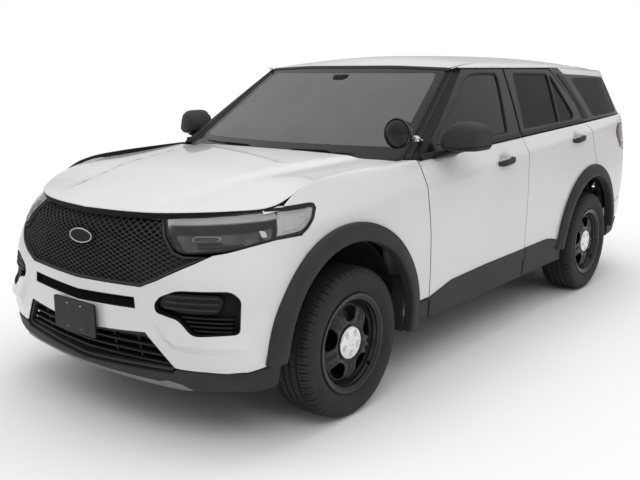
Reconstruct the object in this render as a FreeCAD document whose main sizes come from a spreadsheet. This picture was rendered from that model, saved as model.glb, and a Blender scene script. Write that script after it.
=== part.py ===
import FreeCAD, Part
import math
import os
import Sketcher
from FreeCAD import Placement, Rotation, Vector

# A full-size police patrol car of the sport utility type, in millimetres.
# +Z is up, the nose points to -Y, the left (driver's) side is +X and the tyres stand on Z = 0.

doc = FreeCAD.newDocument("patrol_car")
nodes = {}

# ---------------------------------------------------------------- driving dimensions
sheet = doc.addObject("Spreadsheet::Sheet", "dims")
DIMS = (
    ("wheelbase", 3025),
    ("front_axle_y", -1640),
    ("half_track", 851),
    ("tyre_radius", 374),
    ("tyre_half_width", 125),
    ("bead_radius", 229),
    ("flange_radius", 246),
    ("cap_radius", 82),
    ("kingpin_x", 700),
    ("arch_radius", 500),
    ("flare_radius", 592),
    ("flare_x", 1002),
    ("panel_gap", 6),
    ("door_thick", 105),
    ("frame_thick", 42),
    ("skin_thick", 36),
    ("glass_thick", 5),
    ("glass_inset", 16),
    ("cladding_proud", 8),
    ("floor_z", 330),
    ("floor_thick", 15),
    ("plate_y", -2538),
    ("plate_half_width", 158),
    ("plate_half_height", 80),
    ("plate_z", 546),
    ("plate_thick", 12),
    ("engine_length", 620),
    ("engine_half_width", 280),
    ("engine_height", 470),
    ("spotlight_radius", 76),
    ("steering_wheel_radius", 185),
)
for row, (alias, value) in enumerate(DIMS, start=1):
    sheet.set(f"A{row}", alias)
    sheet.set(f"B{row}", str(value))
    sheet.setAlias(f"B{row}", alias)
doc.recompute()


def dim(alias):
    return float(sheet.get(alias))


FRONT_Y = dim("front_axle_y")
REAR_Y = FRONT_Y + dim("wheelbase")
WHEEL_Z = dim("tyre_radius")
GAP = dim("panel_gap")
SKIN = dim("skin_thick")
FRAME = dim("frame_thick")
DOOR = dim("door_thick")
TAIL = SKIN + 14
GLASS_OUT = dim("glass_inset")
GLASS_IN = GLASS_OUT + dim("glass_thick")
CLADDING_OUT = -dim("cladding_proud")
CLADDING_IN = 14
FLOOR_Z = dim("floor_z")
DECK_Z = FLOOR_Z + dim("floor_thick")
# Ranges that reach past the skin, for the prisms that cut it: along X, Y or Z as their names say.
SIDE_X = (400, 1150)
FLARE_X = (900, 1100)
WHOLE_X = (-1100, 1100)
NOSE_Y = (-2700, -2200)
LAMP_Y = (-2700, -1700)
FOG_Y = (-2700, -1900)
TAIL_Y = (1980, 2700)
HOOD_Z = (800, 1500)
ROOF_Z = (1400, 1900)
# An arc that bows less than this is drawn as a line.
STRAIGHT = 0.4
# The smallest solid, in cubic millimetres, that a cut may leave on these.
LEAST = {"bumper": 1e5, "fender": 5e4, "flare": 2e4}


# ---------------------------------------------------------------- helpers
def keep(name, shape):
    """A sub-part whose shape is worked out here, as a feature of the document."""
    feature = doc.addObject("Part::Feature", name)
    feature.Label = name
    feature.Shape = shape
    nodes[name] = feature
    return feature


def segment(a, middle, b):
    """A line from a to b, or the arc through middle where that is not on the line."""
    if middle is not None:
        off = (middle - a).cross(b - a).Length / (b - a).Length
        if off > STRAIGHT:
            return Part.Arc(a, middle, b).toShape()
    return Part.LineSegment(a, b).toShape()


def closed(segments):
    return Part.Wire([segment(*piece) for piece in segments])


def prism_x(points, low, high):
    """A polygon of (y, z) points, pushed along X from low to high."""
    wire = Part.makePolygon([Vector(low, y, z) for y, z in points + points[:1]])
    return Part.Face(wire).extrude(Vector(high - low, 0, 0))


def prism_y(points, low, high):
    """A polygon of (x, z) points, pushed along Y from low to high."""
    wire = Part.makePolygon([Vector(x, low, z) for x, z in points + points[:1]])
    return Part.Face(wire).extrude(Vector(0, high - low, 0))


def prism_z(points, low, high):
    """A polygon of (x, y) points, pushed along Z from low to high."""
    wire = Part.makePolygon([Vector(x, y, low) for x, y in points + points[:1]])
    return Part.Face(wire).extrude(Vector(0, 0, high - low))


def grown(points, by):
    """A closed outline moved outwards all round, with sharp corners; other columns are kept."""
    area = sum(a[0] * b[1] - b[0] * a[1] for a, b in zip(points, points[1:] + points[:1]))
    turn = 1 if area > 0 else -1
    out = []
    for before, here, after in zip(points[-1:] + points[:-1], points, points[1:] + points[:1]):
        ux, uy = here[0] - before[0], here[1] - before[1]
        vx, vy = after[0] - here[0], after[1] - here[1]
        lu, lv = math.hypot(ux, uy), math.hypot(vx, vy)
        nx, ny = turn * (uy / lu + vy / lv), -turn * (ux / lu + vx / lv)
        scale = 2 * by / (nx * nx + ny * ny)
        out.append((here[0] + nx * scale, here[1] + ny * scale) + tuple(here[2:]))
    return out


def drafted(points, by=0.0):
    """A door's outline of (y, z, slope) points as a prism along X. It passes through the outline where
    that meets the body side, and each edge leans back inboard, so that it clears as the door swings."""
    wires = []
    for x in SIDE_X:
        ring = [(y + slope * (x - side_x(z)), z) for y, z, slope in grown(points, by)]
        wires.append(Part.makePolygon([Vector(x, y, z) for y, z in ring + ring[:1]]))
    return Part.makeLoft(wires, True, True)


def mirrored(points):
    """Points of a left outline, followed by their mirror images on the right."""
    return points + [(-x, other) for x, other in reversed(points) if abs(x) > 0.01]


def other_side(shape):
    return shape.mirror(Vector(0, 0, 0), Vector(1, 0, 0))


def cylinder_x(radius, low, high, y, z):
    return Part.makeCylinder(radius, high - low, Vector(low, y, z), Vector(1, 0, 0))


def box(low, high):
    size = [b - a for a, b in zip(low, high)]
    return Part.makeBox(*size, Vector(*low))


def rod(a, b, radius):
    a, b = Vector(*a), Vector(*b)
    return Part.makeCylinder(radius, (b - a).Length, a, b - a)


def tidy(shape):
    """One solid, or a compound of the solids that do not touch."""
    shape = shape.removeSplitter()
    solids = shape.Solids
    return solids[0] if len(solids) == 1 else Part.makeCompound(solids)


# ---------------------------------------------------------------- body levels
# Each row is one outline of the body seen from above, in a plane z = height + slope * (y - LEVEL_Y).
# x_a .. x_e: half width at y = STATIONS. nose and tail: the corner's start, middle and end, and the centre.
LEVEL_Y = -1010
STATIONS = {"a": -1900, "b": -700, "c": 500, "d": 1300, "e": 1900}
LEVEL_COLUMNS = ("height", "slope", "x_a", "x_b", "x_c", "x_d", "x_e", "nose", "tail")
LEVELS = {
    name: dict(zip(LEVEL_COLUMNS, row))
    for name, row in {
        "sill": (328, 0.0, 940, 945, 947, 945, 925,
                 ((925, -2180), (850, -2300), (560, -2425), -2480),
                 ((890, 2130), (830, 2290), (560, 2440), 2490)),
        "cladding": (480, 0.012, 957, 959, 961, 959, 944,
                     ((948, -2190), (868, -2325), (575, -2445), -2502),
                     ((905, 2200), (850, 2355), (600, 2480), 2525)),
        "crease": (600, 0.045, 959, 965, 968, 966, 950,
                   ((948, -2180), (850, -2322), (560, -2460), -2513),
                   ((912, 2215), (858, 2385), (620, 2495), 2538)),
        "waist": (830, 0.05, 956, 970, 974, 971, 953,
                  ((938, -2150), (825, -2305), (520, -2462), -2508),
                  ((913, 2220), (852, 2372), (620, 2450), 2480)),
        "shoulder": (1060, 0.067, 925, 963, 970, 966, 938,
                     ((885, -2090), (765, -2230), (478, -2405), -2462),
                     ((880, 2210), (810, 2335), (590, 2415), 2450)),
        "belt": (1200, 0.0345, 838, 920, 914, 908, 893,
                 ((790, -2060), (690, -2160), (430, -2320), -2390),
                 ((860, 2195), (790, 2315), (560, 2395), 2430)),
        "ledge": (1207, 0.0345, 834, 872, 872, 872, 860,
                  ((786, -2060), (686, -2160), (426, -2320), -2386),
                  ((850, 2190), (780, 2310), (550, 2390), 2425)),
    }.items()
}
# The greenhouse: its own front is the windscreen, from corner to centre.
GLASS_COLUMNS = ("height", "slope", "corner", "centre", "pillar", "x_b", "x_c", "x_d", "x_e", "tail")
GLASS_LEVELS = {
    name: dict(zip(GLASS_COLUMNS, row))
    for name, row in {
        "belt": (1200, 0.0345, (824, -1029), -1180, (918, -985), 916, 911, 904, 890,
                 ((857, 2192), (787, 2312), (557, 2392), 2427)),
        "middle": (1450, 0.0, (756, -664), -775, (850, -632), 848, 846, 845, 841,
                   ((806, 2130), (738, 2255), (520, 2335), 2368)),
        "top": (1760, -0.032, (679, -253), -324, (728, -215), 730, 733, 745, 751,
                ((725, 2046), (662, 2159), (472, 2227), 2262)),
    }.items()
}
GLASS_STATIONS = {"b": 0, "c": 500, "d": 1200, "e": 1900}


def at(level, x, y):
    return Vector(x, y, level["height"] + level["slope"] * (y - LEVEL_Y))


def side_chain(level, depth):
    """Segments along the left side, from station a to station e."""
    p = {k: at(level, level["x_" + k] - depth, y) for k, y in STATIONS.items()}
    return [(p["a"], p["b"], p["c"]), (p["c"], p["d"], p["e"])]


def nose_chain(level, depth):
    """Segments from the left station a round the nose to the right one."""
    start, middle, end, centre = level["nose"]
    k = 0.75 * depth
    a = at(level, level["x_a"] - depth, STATIONS["a"])
    p1 = at(level, start[0] - depth, start[1] + 0.4 * depth)
    pm = at(level, middle[0] - k, middle[1] + k)
    p2 = at(level, end[0] - 0.3 * depth, end[1] + depth)
    pc = at(level, 0, centre + depth)
    half = [(a, None, p1), (p1, pm, p2)]
    flip = lambda v: v if v is None else Vector(-v.x, v.y, v.z)
    back = [(flip(b), flip(m), flip(a_)) for a_, m, b in reversed(half)]
    return half + [(p2, pc, flip(p2))] + back


def tail_chain(level, depth):
    """Segments from the left station e round the tail to the right one."""
    start, middle, end, centre = level["tail"]
    k = 0.75 * depth
    e = at(level, level["x_e"] - depth, STATIONS["e"])
    p1 = at(level, start[0] - depth, start[1] - 0.4 * depth)
    pm = at(level, middle[0] - k, middle[1] - k)
    p2 = at(level, end[0] - 0.3 * depth, end[1] - depth)
    pc = at(level, 0, centre - depth)
    half = [(e, None, p1), (p1, pm, p2)]
    flip = lambda v: v if v is None else Vector(-v.x, v.y, v.z)
    back = [(flip(b), flip(m), flip(a_)) for a_, m, b in reversed(half)]
    return half + [(p2, pc, flip(p2))] + back


def glass_side_chain(level, depth):
    """Segments along the left side of the greenhouse, from the windscreen pillar to station e."""
    p = {k: at(level, level["x_" + k] - depth, y) for k, y in GLASS_STATIONS.items()}
    pillar = at(level, level["pillar"][0] - depth, level["pillar"][1])
    return [(pillar, p["b"], p["c"]), (p["c"], p["d"], p["e"])]


def windscreen_chain(level, depth):
    x, y = level["corner"]
    left = at(level, x - 0.3 * depth, y + depth)
    return [(left, at(level, 0, level["centre"] + depth), Vector(-left.x, left.y, left.z))]


def pillar_chain(level, depth):
    """The one segment across the windscreen pillar."""
    x, y = level["corner"]
    return [(at(level, level["pillar"][0] - depth, level["pillar"][1]), None,
             at(level, x - 0.3 * depth, y + depth))]


def wall(chain, levels, outer, inner):
    """A wall between two depths under the skin, from the lowest of the levels to the highest."""
    sections = []
    for level in levels:
        out, back = chain(level, outer), chain(level, inner)
        back = [(b, m, a) for a, m, b in reversed(back)]
        ring = out + [(out[-1][2], None, back[0][0])] + back + [(back[-1][2], None, out[0][0])]
        sections.append(closed(ring))
    return Part.makeLoft(sections, True, True)


def lower(*names):
    return [LEVELS[name] for name in names]


SIDE = lower("sill", "cladding", "crease", "waist", "shoulder", "belt")
UPPER = [GLASS_LEVELS[name] for name in ("belt", "middle", "top")]

# ---------------------------------------------------------------- outlines
# Seen from the left, as (y, z, slope of the edge) in order from the front of the belt.
DOORS = {
    "front": [(-1006, 1204, 0), (-975, 1053, 0), (-945, 800, 0), (-932, 448, 0), (-925, 322, 0),
              (254, 322, 0.10), (253, 519, 0.10), (247, 652, 0.11), (242, 1144, 0.13), (228, 1250, 0.15),
              (252, 1676, 0.24), (-300, 1676, 0)],
    "rear": [(236, 1250, 0.15), (250, 1144, 0.13), (255, 652, 0.11), (261, 519, 0.10), (262, 322, 0.10),
             (1385, 322, 0), (1385, 800, 0), (1482, 830, 0.14), (1480, 880, 0.14), (1467, 960, 0.15),
             (1372, 1156, 0.18), (1318, 1276, 0.24), (1262, 1420, 0.30), (972, 1676, 0.45),
             (260, 1676, 0.24)],
}
WINDOWS = {
    "front": [(-800, 1262), (60, 1280), (140, 1644), (-262, 1644), (-790, 1302)],
    "rear": [(312, 1290), (1120, 1312), (1172, 1352), (968, 1606), (905, 1640), (372, 1644)],
    "quarter": [(1560, 1318), (1330, 1596), (2040, 1586), (2090, 1328)],
}
# Seen from the front, the left half as (x, z).
GRILLE = [(0, 1052), (434, 1046), (500, 905), (548, 872), (700, 886), (655, 862), (500, 780), (412, 742),
          (0, 728)]
HEADLAMP = [(440, 1050), (510, 888), (560, 868), (760, 890), (900, 944), (940, 985), (940, 1084), (880, 1090),
            (700, 1066)]
FOG_POCKET = [(495, 678), (520, 712), (602, 748), (812, 752), (848, 716), (856, 572), (682, 556), (612, 620),
              (505, 645)]
SLOT = [(0, 674), (378, 692), (384, 642), (0, 624)]
INTAKE = [(0, 500), (438, 540), (574, 394), (560, 366), (0, 330)]
# Seen from above, the left half as (x, y).
HOOD_PLAN = [(0, -2440), (220, -2422), (428, -2371), (610, -2270), (800, -2092), (834, -2030), (850, -1681),
             (862, -1300), (862, -1085), (600, -1165), (300, -1215), (0, -1232)]
ROOF_PLAN = [(0, -392), (350, -378), (688, -330), (688, 2150), (0, 2150)]
# Seen from behind, the left half as (x, z).
TAILGATE = [(0, 1800), (600, 1800), (620, 1690), (712, 1300), (690, 1252), (690, 980), (662, 720), (600, 644),
            (0, 644)]
BACK_WINDOW = [(0, 1640), (500, 1600), (560, 1330), (0, 1318)]
# Seen from the left, as (y, z).
TAIL_LAMP = [(2112, 1192), (2150, 1226), (2600, 1212), (2600, 996), (2330, 990), (2262, 1080)]
CLADDING = [(-1300, 440), (-932, 448), (-700, 500), (-300, 512), (600, 520), (790, 486), (1400, 486),
            (1400, 200), (-1300, 200)]
BUMPER_SEAM = [(-2700, 388), (-2300, 400), (-2200, 424), (-1960, 430), (-1960, 1110), (-2700, 1110)]
REAR_BUMPER_SEAM = [(1860, 300), (1860, 560), (2200, 634), (2700, 634), (2700, 300)]
FENDER_ZONE = [(-1954, 330), (-1954, 1000), (-2140, 1040), (-2140, 1300), (-1012, 1300), (-1012, 1204),
               (-981, 1053), (-951, 800), (-938, 448), (-931, 330)]


def side_x(z):
    """Half width of the body side at a height, at the middle doors."""
    rows = [(level["height"] + level["slope"] * 1500, level["x_c"]) for level in (
        LEVELS["sill"], LEVELS["cladding"], LEVELS["crease"], LEVELS["waist"], LEVELS["shoulder"],
        GLASS_LEVELS["belt"], GLASS_LEVELS["middle"], GLASS_LEVELS["top"])]
    for (z0, x0), (z1, x1) in zip(rows, rows[1:]):
        if z <= z1:
            return x0 + (x1 - x0) * (z - z0) / (z1 - z0)
    return rows[-1][1]


PROUD = 30


def side_wall(outer, inner):
    return wall(side_chain, SIDE, outer, inner)


def glass_wall(outer, inner):
    return wall(glass_side_chain, UPPER, outer, inner)


arch_front = cylinder_x(dim("arch_radius"), -1200, 1200, FRONT_Y, WHEEL_Z)
arch_rear = cylinder_x(dim("arch_radius"), -1200, 1200, REAR_Y, WHEEL_Z)
arches = arch_front.fuse(arch_rear)
cladding_zone = prism_x(CLADDING, *SIDE_X)
window_holes = {key: prism_x(points, *SIDE_X) for key, points in WINDOWS.items()}


# ---------------------------------------------------------------- hood and roof crowns
CROWN_COLUMNS = ("y", "edge_x", "edge_z", "centre_z")
HOOD = [dict(zip(CROWN_COLUMNS, row)) for row in (
    (-2460, 870, 986, 1050),
    (-2300, 870, 1030, 1092),
    (-2092, 870, 1072, 1130),
    (-1900, 870, 1136, 1162),
    (-1681, 870, 1160, 1188),
    (-1060, 870, 1200, 1238),
)]
ROOF = [dict(zip(CROWN_COLUMNS, row)) for row in (
    (-400, 745, 1664, 1692),
    (-150, 745, 1694, 1740),
    (250, 745, 1700, 1762),
    (900, 748, 1696, 1765),
    (1500, 755, 1672, 1757),
    (2060, 764, 1628, 1728),
    (2340, 764, 1590, 1700),
)]


def crown(rows, top, bottom):
    """A sheet that is arched from side to side, between two heights above its table."""
    sections = []
    for row in rows:
        x, y = row["edge_x"], row["y"]
        rims = []
        for rise in (top, bottom):
            rims.append([Vector(-x, y, row["edge_z"] + rise), Vector(0, y, row["centre_z"] + rise),
                         Vector(x, y, row["edge_z"] + rise)])
        up, down = rims
        sections.append(closed([up, (up[2], None, down[2]), down[::-1], (down[0], None, up[0])]))
    return Part.makeLoft(sections, True, True)


HOOD_THICK = 34
ROOF_THICK = 30
hood_void = crown(HOOD, 300, -HOOD_THICK - GAP).common(prism_z(grown(mirrored(HOOD_PLAN), GAP), *HOOD_Z))
keep("hood", tidy(crown(HOOD, 0, -HOOD_THICK).common(prism_z(mirrored(HOOD_PLAN), *HOOD_Z))))
keep("roof", tidy(crown(ROOF, 0, -ROOF_THICK).common(prism_z(mirrored(ROOF_PLAN), *ROOF_Z))))
roof_void = crown(ROOF, 60, -ROOF_THICK).common(prism_z(mirrored(ROOF_PLAN), *ROOF_Z))
over_roof = crown(ROOF, 400, 0)

# ---------------------------------------------------------------- doors
HANDLES = {"front": (-82, 1124, 972), "rear": (1062, 1184, 970)}
HANDLE_LENGTH = 190
HANDLE_HEIGHT = 34
HANDLE_THICK = 24
HANDLE_STAND = 10
HANDLE_ROUND = 10


def ring(profile, y, z):
    """A turned ring about the wheel's line, from (x, radius) points."""
    points = [Vector(x, y, z + r) for x, r in profile]
    return Part.Face(Part.makePolygon(points + points[:1])).revolve(Vector(0, y, z), Vector(1, 0, 0), 360)


R_IN, R_OUT, X_OUT = dim("arch_radius"), dim("flare_radius"), dim("flare_x")
FLARE_PROFILE = [(938, R_IN), (X_OUT - 8, R_IN), (X_OUT, R_IN + 14), (X_OUT - 2, R_OUT - 30),
                 (X_OUT - 22, R_OUT), (938, R_OUT)]
FLARE_ZONES = {
    "front": [(-2400, 428), (-2145, 412), (-1640, 374), (-1150, 300), (-931, 300), (-938, 448), (-1000, 470),
              (-1000, 1000), (-2400, 1000)],
    "rear": [(700, 486), (1385, 400), (1900, 400), (2100, 440), (2100, 1000), (700, 1000)],
}
rear_flare = ring(FLARE_PROFILE, REAR_Y, WHEEL_Z).common(prism_x(FLARE_ZONES["rear"], *FLARE_X))
front_flare = ring(FLARE_PROFILE, FRONT_Y, WHEEL_Z).common(prism_x(FLARE_ZONES["front"], *FLARE_X))


def handle_solid(key):
    y, z, x = HANDLES[key]
    corner = Vector(x + HANDLE_STAND, y - HANDLE_LENGTH / 2, z - HANDLE_HEIGHT / 2)
    grip = Part.makeBox(HANDLE_THICK, HANDLE_LENGTH, HANDLE_HEIGHT, corner)
    grip = grip.makeFillet(HANDLE_ROUND, grip.Edges)
    for end in (y - 84, y + 60):
        grip = grip.fuse(box((x - 24, end, z - 12), (x + 16, end + 24, z + 12)))
    return grip


def mirror_solid():
    """The door mirror: a foot on the front of the belt and a housing that swells outboard."""
    outlines = (
        (972, [(-880, 1252), (-860, 1330), (-760, 1368), (-705, 1356), (-700, 1228), (-860, 1228)]),
        (1060, [(-862, 1246), (-836, 1350), (-740, 1393), (-664, 1380), (-660, 1232), (-840, 1228)]),
        (1143, [(-760, 1266), (-738, 1330), (-690, 1352), (-640, 1344), (-640, 1256), (-740, 1256)]),
    )
    housing = Part.makeLoft([Part.makePolygon([Vector(x, y, z) for y, z in points + points[:1]])
                             for x, points in outlines], True, True)
    foot = prism_y([(880, 1212), (930, 1190), (1010, 1216), (1010, 1260), (940, 1252)], -880, -730)
    return housing.fuse(foot)


def door_solids(key):
    """The shell with its window cut, the pane, and the trim: cladding, handle, mirror or flare."""
    prism = drafted(DOORS[key])
    shell = side_wall(0, DOOR).fuse(glass_wall(0, FRAME)).common(prism).cut(arch_rear)
    shell = shell.cut(window_holes[key])
    outside = side_wall(CLADDING_OUT, CLADDING_IN).common(prism).cut(arch_rear).common(cladding_zone)
    trim = [outside, handle_solid(key)]
    if key == "front":
        trim.append(mirror_solid())
    else:
        trim.append(rear_flare.common(prism))
    for piece in trim:
        shell = shell.cut(piece)
    if key == "rear":
        trim = [trim[0].fuse(trim[2]), trim[1]]
    return tidy(shell), tidy(glass_wall(GLASS_OUT, GLASS_IN).common(window_holes[key])), trim


void_wall = side_wall(-PROUD, DOOR + GAP).fuse(glass_wall(-PROUD, FRAME + GAP))
door_voids = Part.makeCompound([void_wall.common(drafted(DOORS[key], GAP)) for key in DOORS])
for key in DOORS:
    shell, pane, trim = door_solids(key)
    for side, place in (("left", lambda shape: shape), ("right", other_side)):
        keep(f"door_{key}_{side}", place(shell))
        keep(f"door_{key}_{side}_glass", place(pane))
        keep(f"door_{key}_{side}_trim", place(Part.makeCompound([s for piece in trim for s in piece.Solids])))

# ---------------------------------------------------------------- nose
GRILLE_DEPTHS = (14, 34)
INSERT_DEPTHS = (16, 36)
LAMP_DEPTH = 70
nose_names = lower("sill", "cladding", "crease", "waist", "shoulder", "belt", "ledge")
nose = wall(nose_chain, nose_names, 0, SKIN)


def across(points, low, high):
    return prism_y(mirrored(points) if points[0][0] == 0 else points, low, high)


grille_hole = across(GRILLE, *NOSE_Y)
low_holes = [across(points, *NOSE_Y) for points in (SLOT, INTAKE)]
lamp_hole = prism_y(HEADLAMP, *LAMP_Y)
lamp_holes = [lamp_hole, other_side(lamp_hole)]
fog_hole = prism_y(FOG_POCKET, *FOG_Y)
low_holes += [fog_hole, other_side(fog_hole)]
bumper_zone = prism_x(BUMPER_SEAM, *WHOLE_X)
bumper = nose.common(bumper_zone)
for cut in [grille_hole, arch_front, hood_void] + low_holes + lamp_holes:
    bumper = bumper.cut(cut)
bumper_solids = [s for s in bumper.Solids if s.Volume > LEAST["bumper"]]
keep("front_bumper", Part.makeCompound(bumper_solids) if len(bumper_solids) > 1 else bumper_solids[0])

# The dark valance under the bumper, down to the lip of the skid plate.
LIP = {"x_a": 900, "nose": ((890, -2140), (810, -2260), (540, -2370), -2420)}
VALANCE_INSET = 4
VALANCE_THICK = 50
valance_levels = [
    {**LEVELS["sill"], **LIP, "height": 262, "slope": 0.0},
    {**LEVELS["sill"], "height": 300, "slope": 0.0},
    {**LEVELS["cladding"], "height": 430, "slope": 0.0},
]
valance = wall(nose_chain, valance_levels, VALANCE_INSET, VALANCE_INSET + VALANCE_THICK)
valance = valance.cut(bumper_zone).cut(arch_front).cut(low_holes[1])
keep("front_valance", tidy(valance))

grille = wall(nose_chain, nose_names, *GRILLE_DEPTHS).common(grille_hole).cut(hood_void)
for hole in lamp_holes:
    grille = grille.cut(hole)
keep("grille", tidy(grille))
inserts = wall(nose_chain, [valance_levels[1]] + nose_names[1:], *INSERT_DEPTHS)
keep("lower_grilles", Part.makeCompound([s for hole in low_holes for s in inserts.common(hole).Solids]))

lamp_wall = wall(nose_chain, nose_names, 0, LAMP_DEPTH).fuse(side_wall(0, LAMP_DEPTH))
lamp_wall = lamp_wall.common(lamp_hole).common(box((0, -2700, 800), (1100, -1800, 1200))).cut(hood_void)
keep("headlamps", Part.makeCompound([tidy(lamp_wall), other_side(tidy(lamp_wall))]))

# ---------------------------------------------------------------- fenders
fender = side_wall(0, SKIN).fuse(nose).common(prism_x(FENDER_ZONE, *SIDE_X))
for cut in (arch_front, hood_void, bumper_zone, lamp_hole):
    fender = fender.cut(cut)
fender = Part.makeCompound([s for s in fender.Solids if s.Volume > LEAST["fender"]])

# ---------------------------------------------------------------- body sides
def both(shape):
    return Part.makeCompound([shape, other_side(shape)])


tail_low = wall(tail_chain, SIDE + lower("ledge"), 0, TAIL)
tail_high = wall(tail_chain, UPPER, 0, TAIL)
tail = tail_low.fuse(tail_high)
gate_prism = prism_y(mirrored(TAILGATE), *TAIL_Y)
gate_void = prism_y(grown(mirrored(TAILGATE), GAP), *TAIL_Y)
gate_behind_roof = box((-800, 2156, 500), (800, 2700, 1900))
rear_bumper_zone = prism_x(REAR_BUMPER_SEAM, *WHOLE_X)
lamp_side = prism_x(TAIL_LAMP, 696, 1100)

RAIL_DEPTH = 78
PILLAR_THICK = 50
rail = crown(ROOF, 0, -RAIL_DEPTH).common(box((640, -400, 1400), (800, 2150, 1900))).cut(roof_void)
pillar = wall(pillar_chain, UPPER, 0, PILLAR_THICK)
shell = side_wall(0, SKIN).fuse(glass_wall(0, FRAME)).fuse(tail).fuse(pillar)
BODY_SIDE = [(-1012, 1204), (-1020, 1240), (-500, 1900), (2700, 1900), (2700, 300), (1385, 300), (1385, 1000),
             (1000, 1204)]
MIDDLE_POST = [(206, 1264), (206, 1720), (300, 1720), (300, 1264)]
shell = shell.common(prism_x(BODY_SIDE, 0, SIDE_X[1]))
inner_pillar = box((740, 200, 340), (800, 300, 1296)).fuse(
    glass_wall(FRAME + 8, 130).common(prism_x(MIDDLE_POST, *SIDE_X)))
sill = box((780, -1100, 330), (848, 905, 430))
hinge_post = box((740, -1100, 330), (800, -900, 1185))
frame = shell.cut(over_roof).fuse(rail).fuse(inner_pillar).fuse(sill).fuse(hinge_post)
for cut in [door_voids, window_holes["quarter"], arches, gate_void, rear_bumper_zone, lamp_side, roof_void,
            box((-10, -3000, 0), (0, 3000, 2000))]:
    frame = frame.cut(cut)
frame = max(frame.Solids, key=lambda s: s.Volume)
for side, place in (("left", lambda shape: shape), ("right", other_side)):
    keep(f"body_side_{side}", place(frame))
    keep(f"fender_{side}", place(fender))
pane = glass_wall(GLASS_OUT, GLASS_IN).common(window_holes["quarter"])
keep("quarter_glass", Part.makeCompound([pane, other_side(pane)]))
lamp = wall(tail_chain, SIDE, 0, TAIL).common(lamp_side)
keep("tail_lamps", Part.makeCompound([tidy(lamp), other_side(tidy(lamp))]))

# ---------------------------------------------------------------- tail
GATE_THICK = 64
gate = wall(tail_chain, lower("crease", "waist", "shoulder", "belt", "ledge"), 0, GATE_THICK)
gate = gate.fuse(wall(tail_chain, UPPER, 0, GATE_THICK))
gate = gate.fuse(crown(ROOF, 0, -GATE_THICK).common(box((-700, 2156, 1400), (700, 2330, 1900))))
gate = gate.common(gate_prism).common(gate_behind_roof).cut(over_roof)
gate = gate.cut(prism_y(mirrored(BACK_WINDOW), *TAIL_Y))
keep("tailgate", max(gate.Solids, key=lambda s: s.Volume))
BACK_PANE_DEPTHS = (10, 15)
back_pane = wall(tail_chain, UPPER, *BACK_PANE_DEPTHS).common(prism_y(mirrored(BACK_WINDOW), *TAIL_Y))
keep("tailgate_glass", tidy(back_pane))
rear_bumper = wall(tail_chain, lower("sill", "cladding", "crease", "waist"), 0, 50)
rear_bumper = rear_bumper.common(rear_bumper_zone).cut(arch_rear)
keep("rear_bumper", tidy(rear_bumper))

SCREEN_DEPTHS = (6, 12)
screen = wall(windscreen_chain, UPPER, *SCREEN_DEPTHS)
screen = screen.cut(over_roof).cut(both(frame)).cut(nodes["roof"].Shape)
screen = max(screen.Solids, key=lambda s: s.Volume)
keep("windscreen", screen)

# ---------------------------------------------------------------- flares on the body
front_fixed = front_flare.cut(fender).cut(bumper)
APRON = [(-1300, 300), (-1300, 600), (-938, 600), (-938, 448), (-931, 300)]
apron = side_wall(CLADDING_OUT, CLADDING_IN).common(cladding_zone).common(prism_x(APRON, *FLARE_X))
front_fixed = front_fixed.fuse(apron.cut(arch_front)).cut(fender).cut(door_voids)
front_fixed = front_fixed.cut(nodes["front_valance"].Shape)
rear_fixed = rear_flare.cut(prism_x([(y, z) for y, z, _ in grown(DOORS["rear"], GAP)], *FLARE_X))
rear_fixed = rear_fixed.cut(frame).cut(rear_bumper)
fixed = tidy(front_fixed).Solids + tidy(rear_fixed).Solids
fixed = [s for s in fixed if s.Volume > LEAST["flare"]]
keep("wheel_flares", Part.makeCompound(fixed + [other_side(s) for s in fixed]))

# ---------------------------------------------------------------- parametric helpers
def number(value):
    """A size is a number, or (alias, amount added, sign of the dimension, 1 when left out)."""
    if not isinstance(value, tuple):
        return value
    alias, added, sign = (value + (1,))[:3]
    return sign * dim(alias) + added


def bind(target, path, value):
    if isinstance(value, tuple):
        alias, added, sign = (value + (1,))[:3]
        target.setExpression(path, f"{sign} * dims.{alias} + ({added})")


def block(name, low, high):
    """A box between two corners, each size of which may be bound to the sheet."""
    piece = doc.addObject("Part::Box", name)
    piece.Placement.Base = Vector(*[number(v) for v in low])
    for axis, size, a, b in zip("xyz", ("Length", "Width", "Height"), low, high):
        setattr(piece, size, number(b) - number(a))
        bind(piece, f"Placement.Base.{axis}", a)
    return piece


def across_block(name, sign, xs, ys, zs):
    """A box on the left (sign 1) or right (sign -1) from its ranges along each axis."""
    low, high = sorted(sign * x for x in xs)
    return block(name, (low, ys[0], zs[0]), (high, ys[1], zs[1]))


def bar(name, start, end, radius):
    """A round bar between two points."""
    start, end = Vector(*start), Vector(*end)
    piece = doc.addObject("Part::Cylinder", name)
    piece.Radius = number(radius)
    piece.Height = (end - start).Length
    piece.Placement = Placement(start, Rotation(Vector(0, 0, 1), end - start))
    bind(piece, "Radius", radius)
    return piece


def union(name, pieces):
    whole = doc.addObject("Part::MultiFuse", name)
    whole.Shapes = pieces
    whole.Refine = False
    nodes[name] = whole
    whole.Label = name
    return whole


def difference(name, base, tool):
    left = doc.addObject("Part::Cut", name)
    left.Base = base
    left.Tool = tool
    nodes[name] = left
    left.Label = name
    return left


def origin_plane(body, role):
    return next(feature for feature in body.Origin.OriginFeatures if feature.Role == role)


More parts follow.
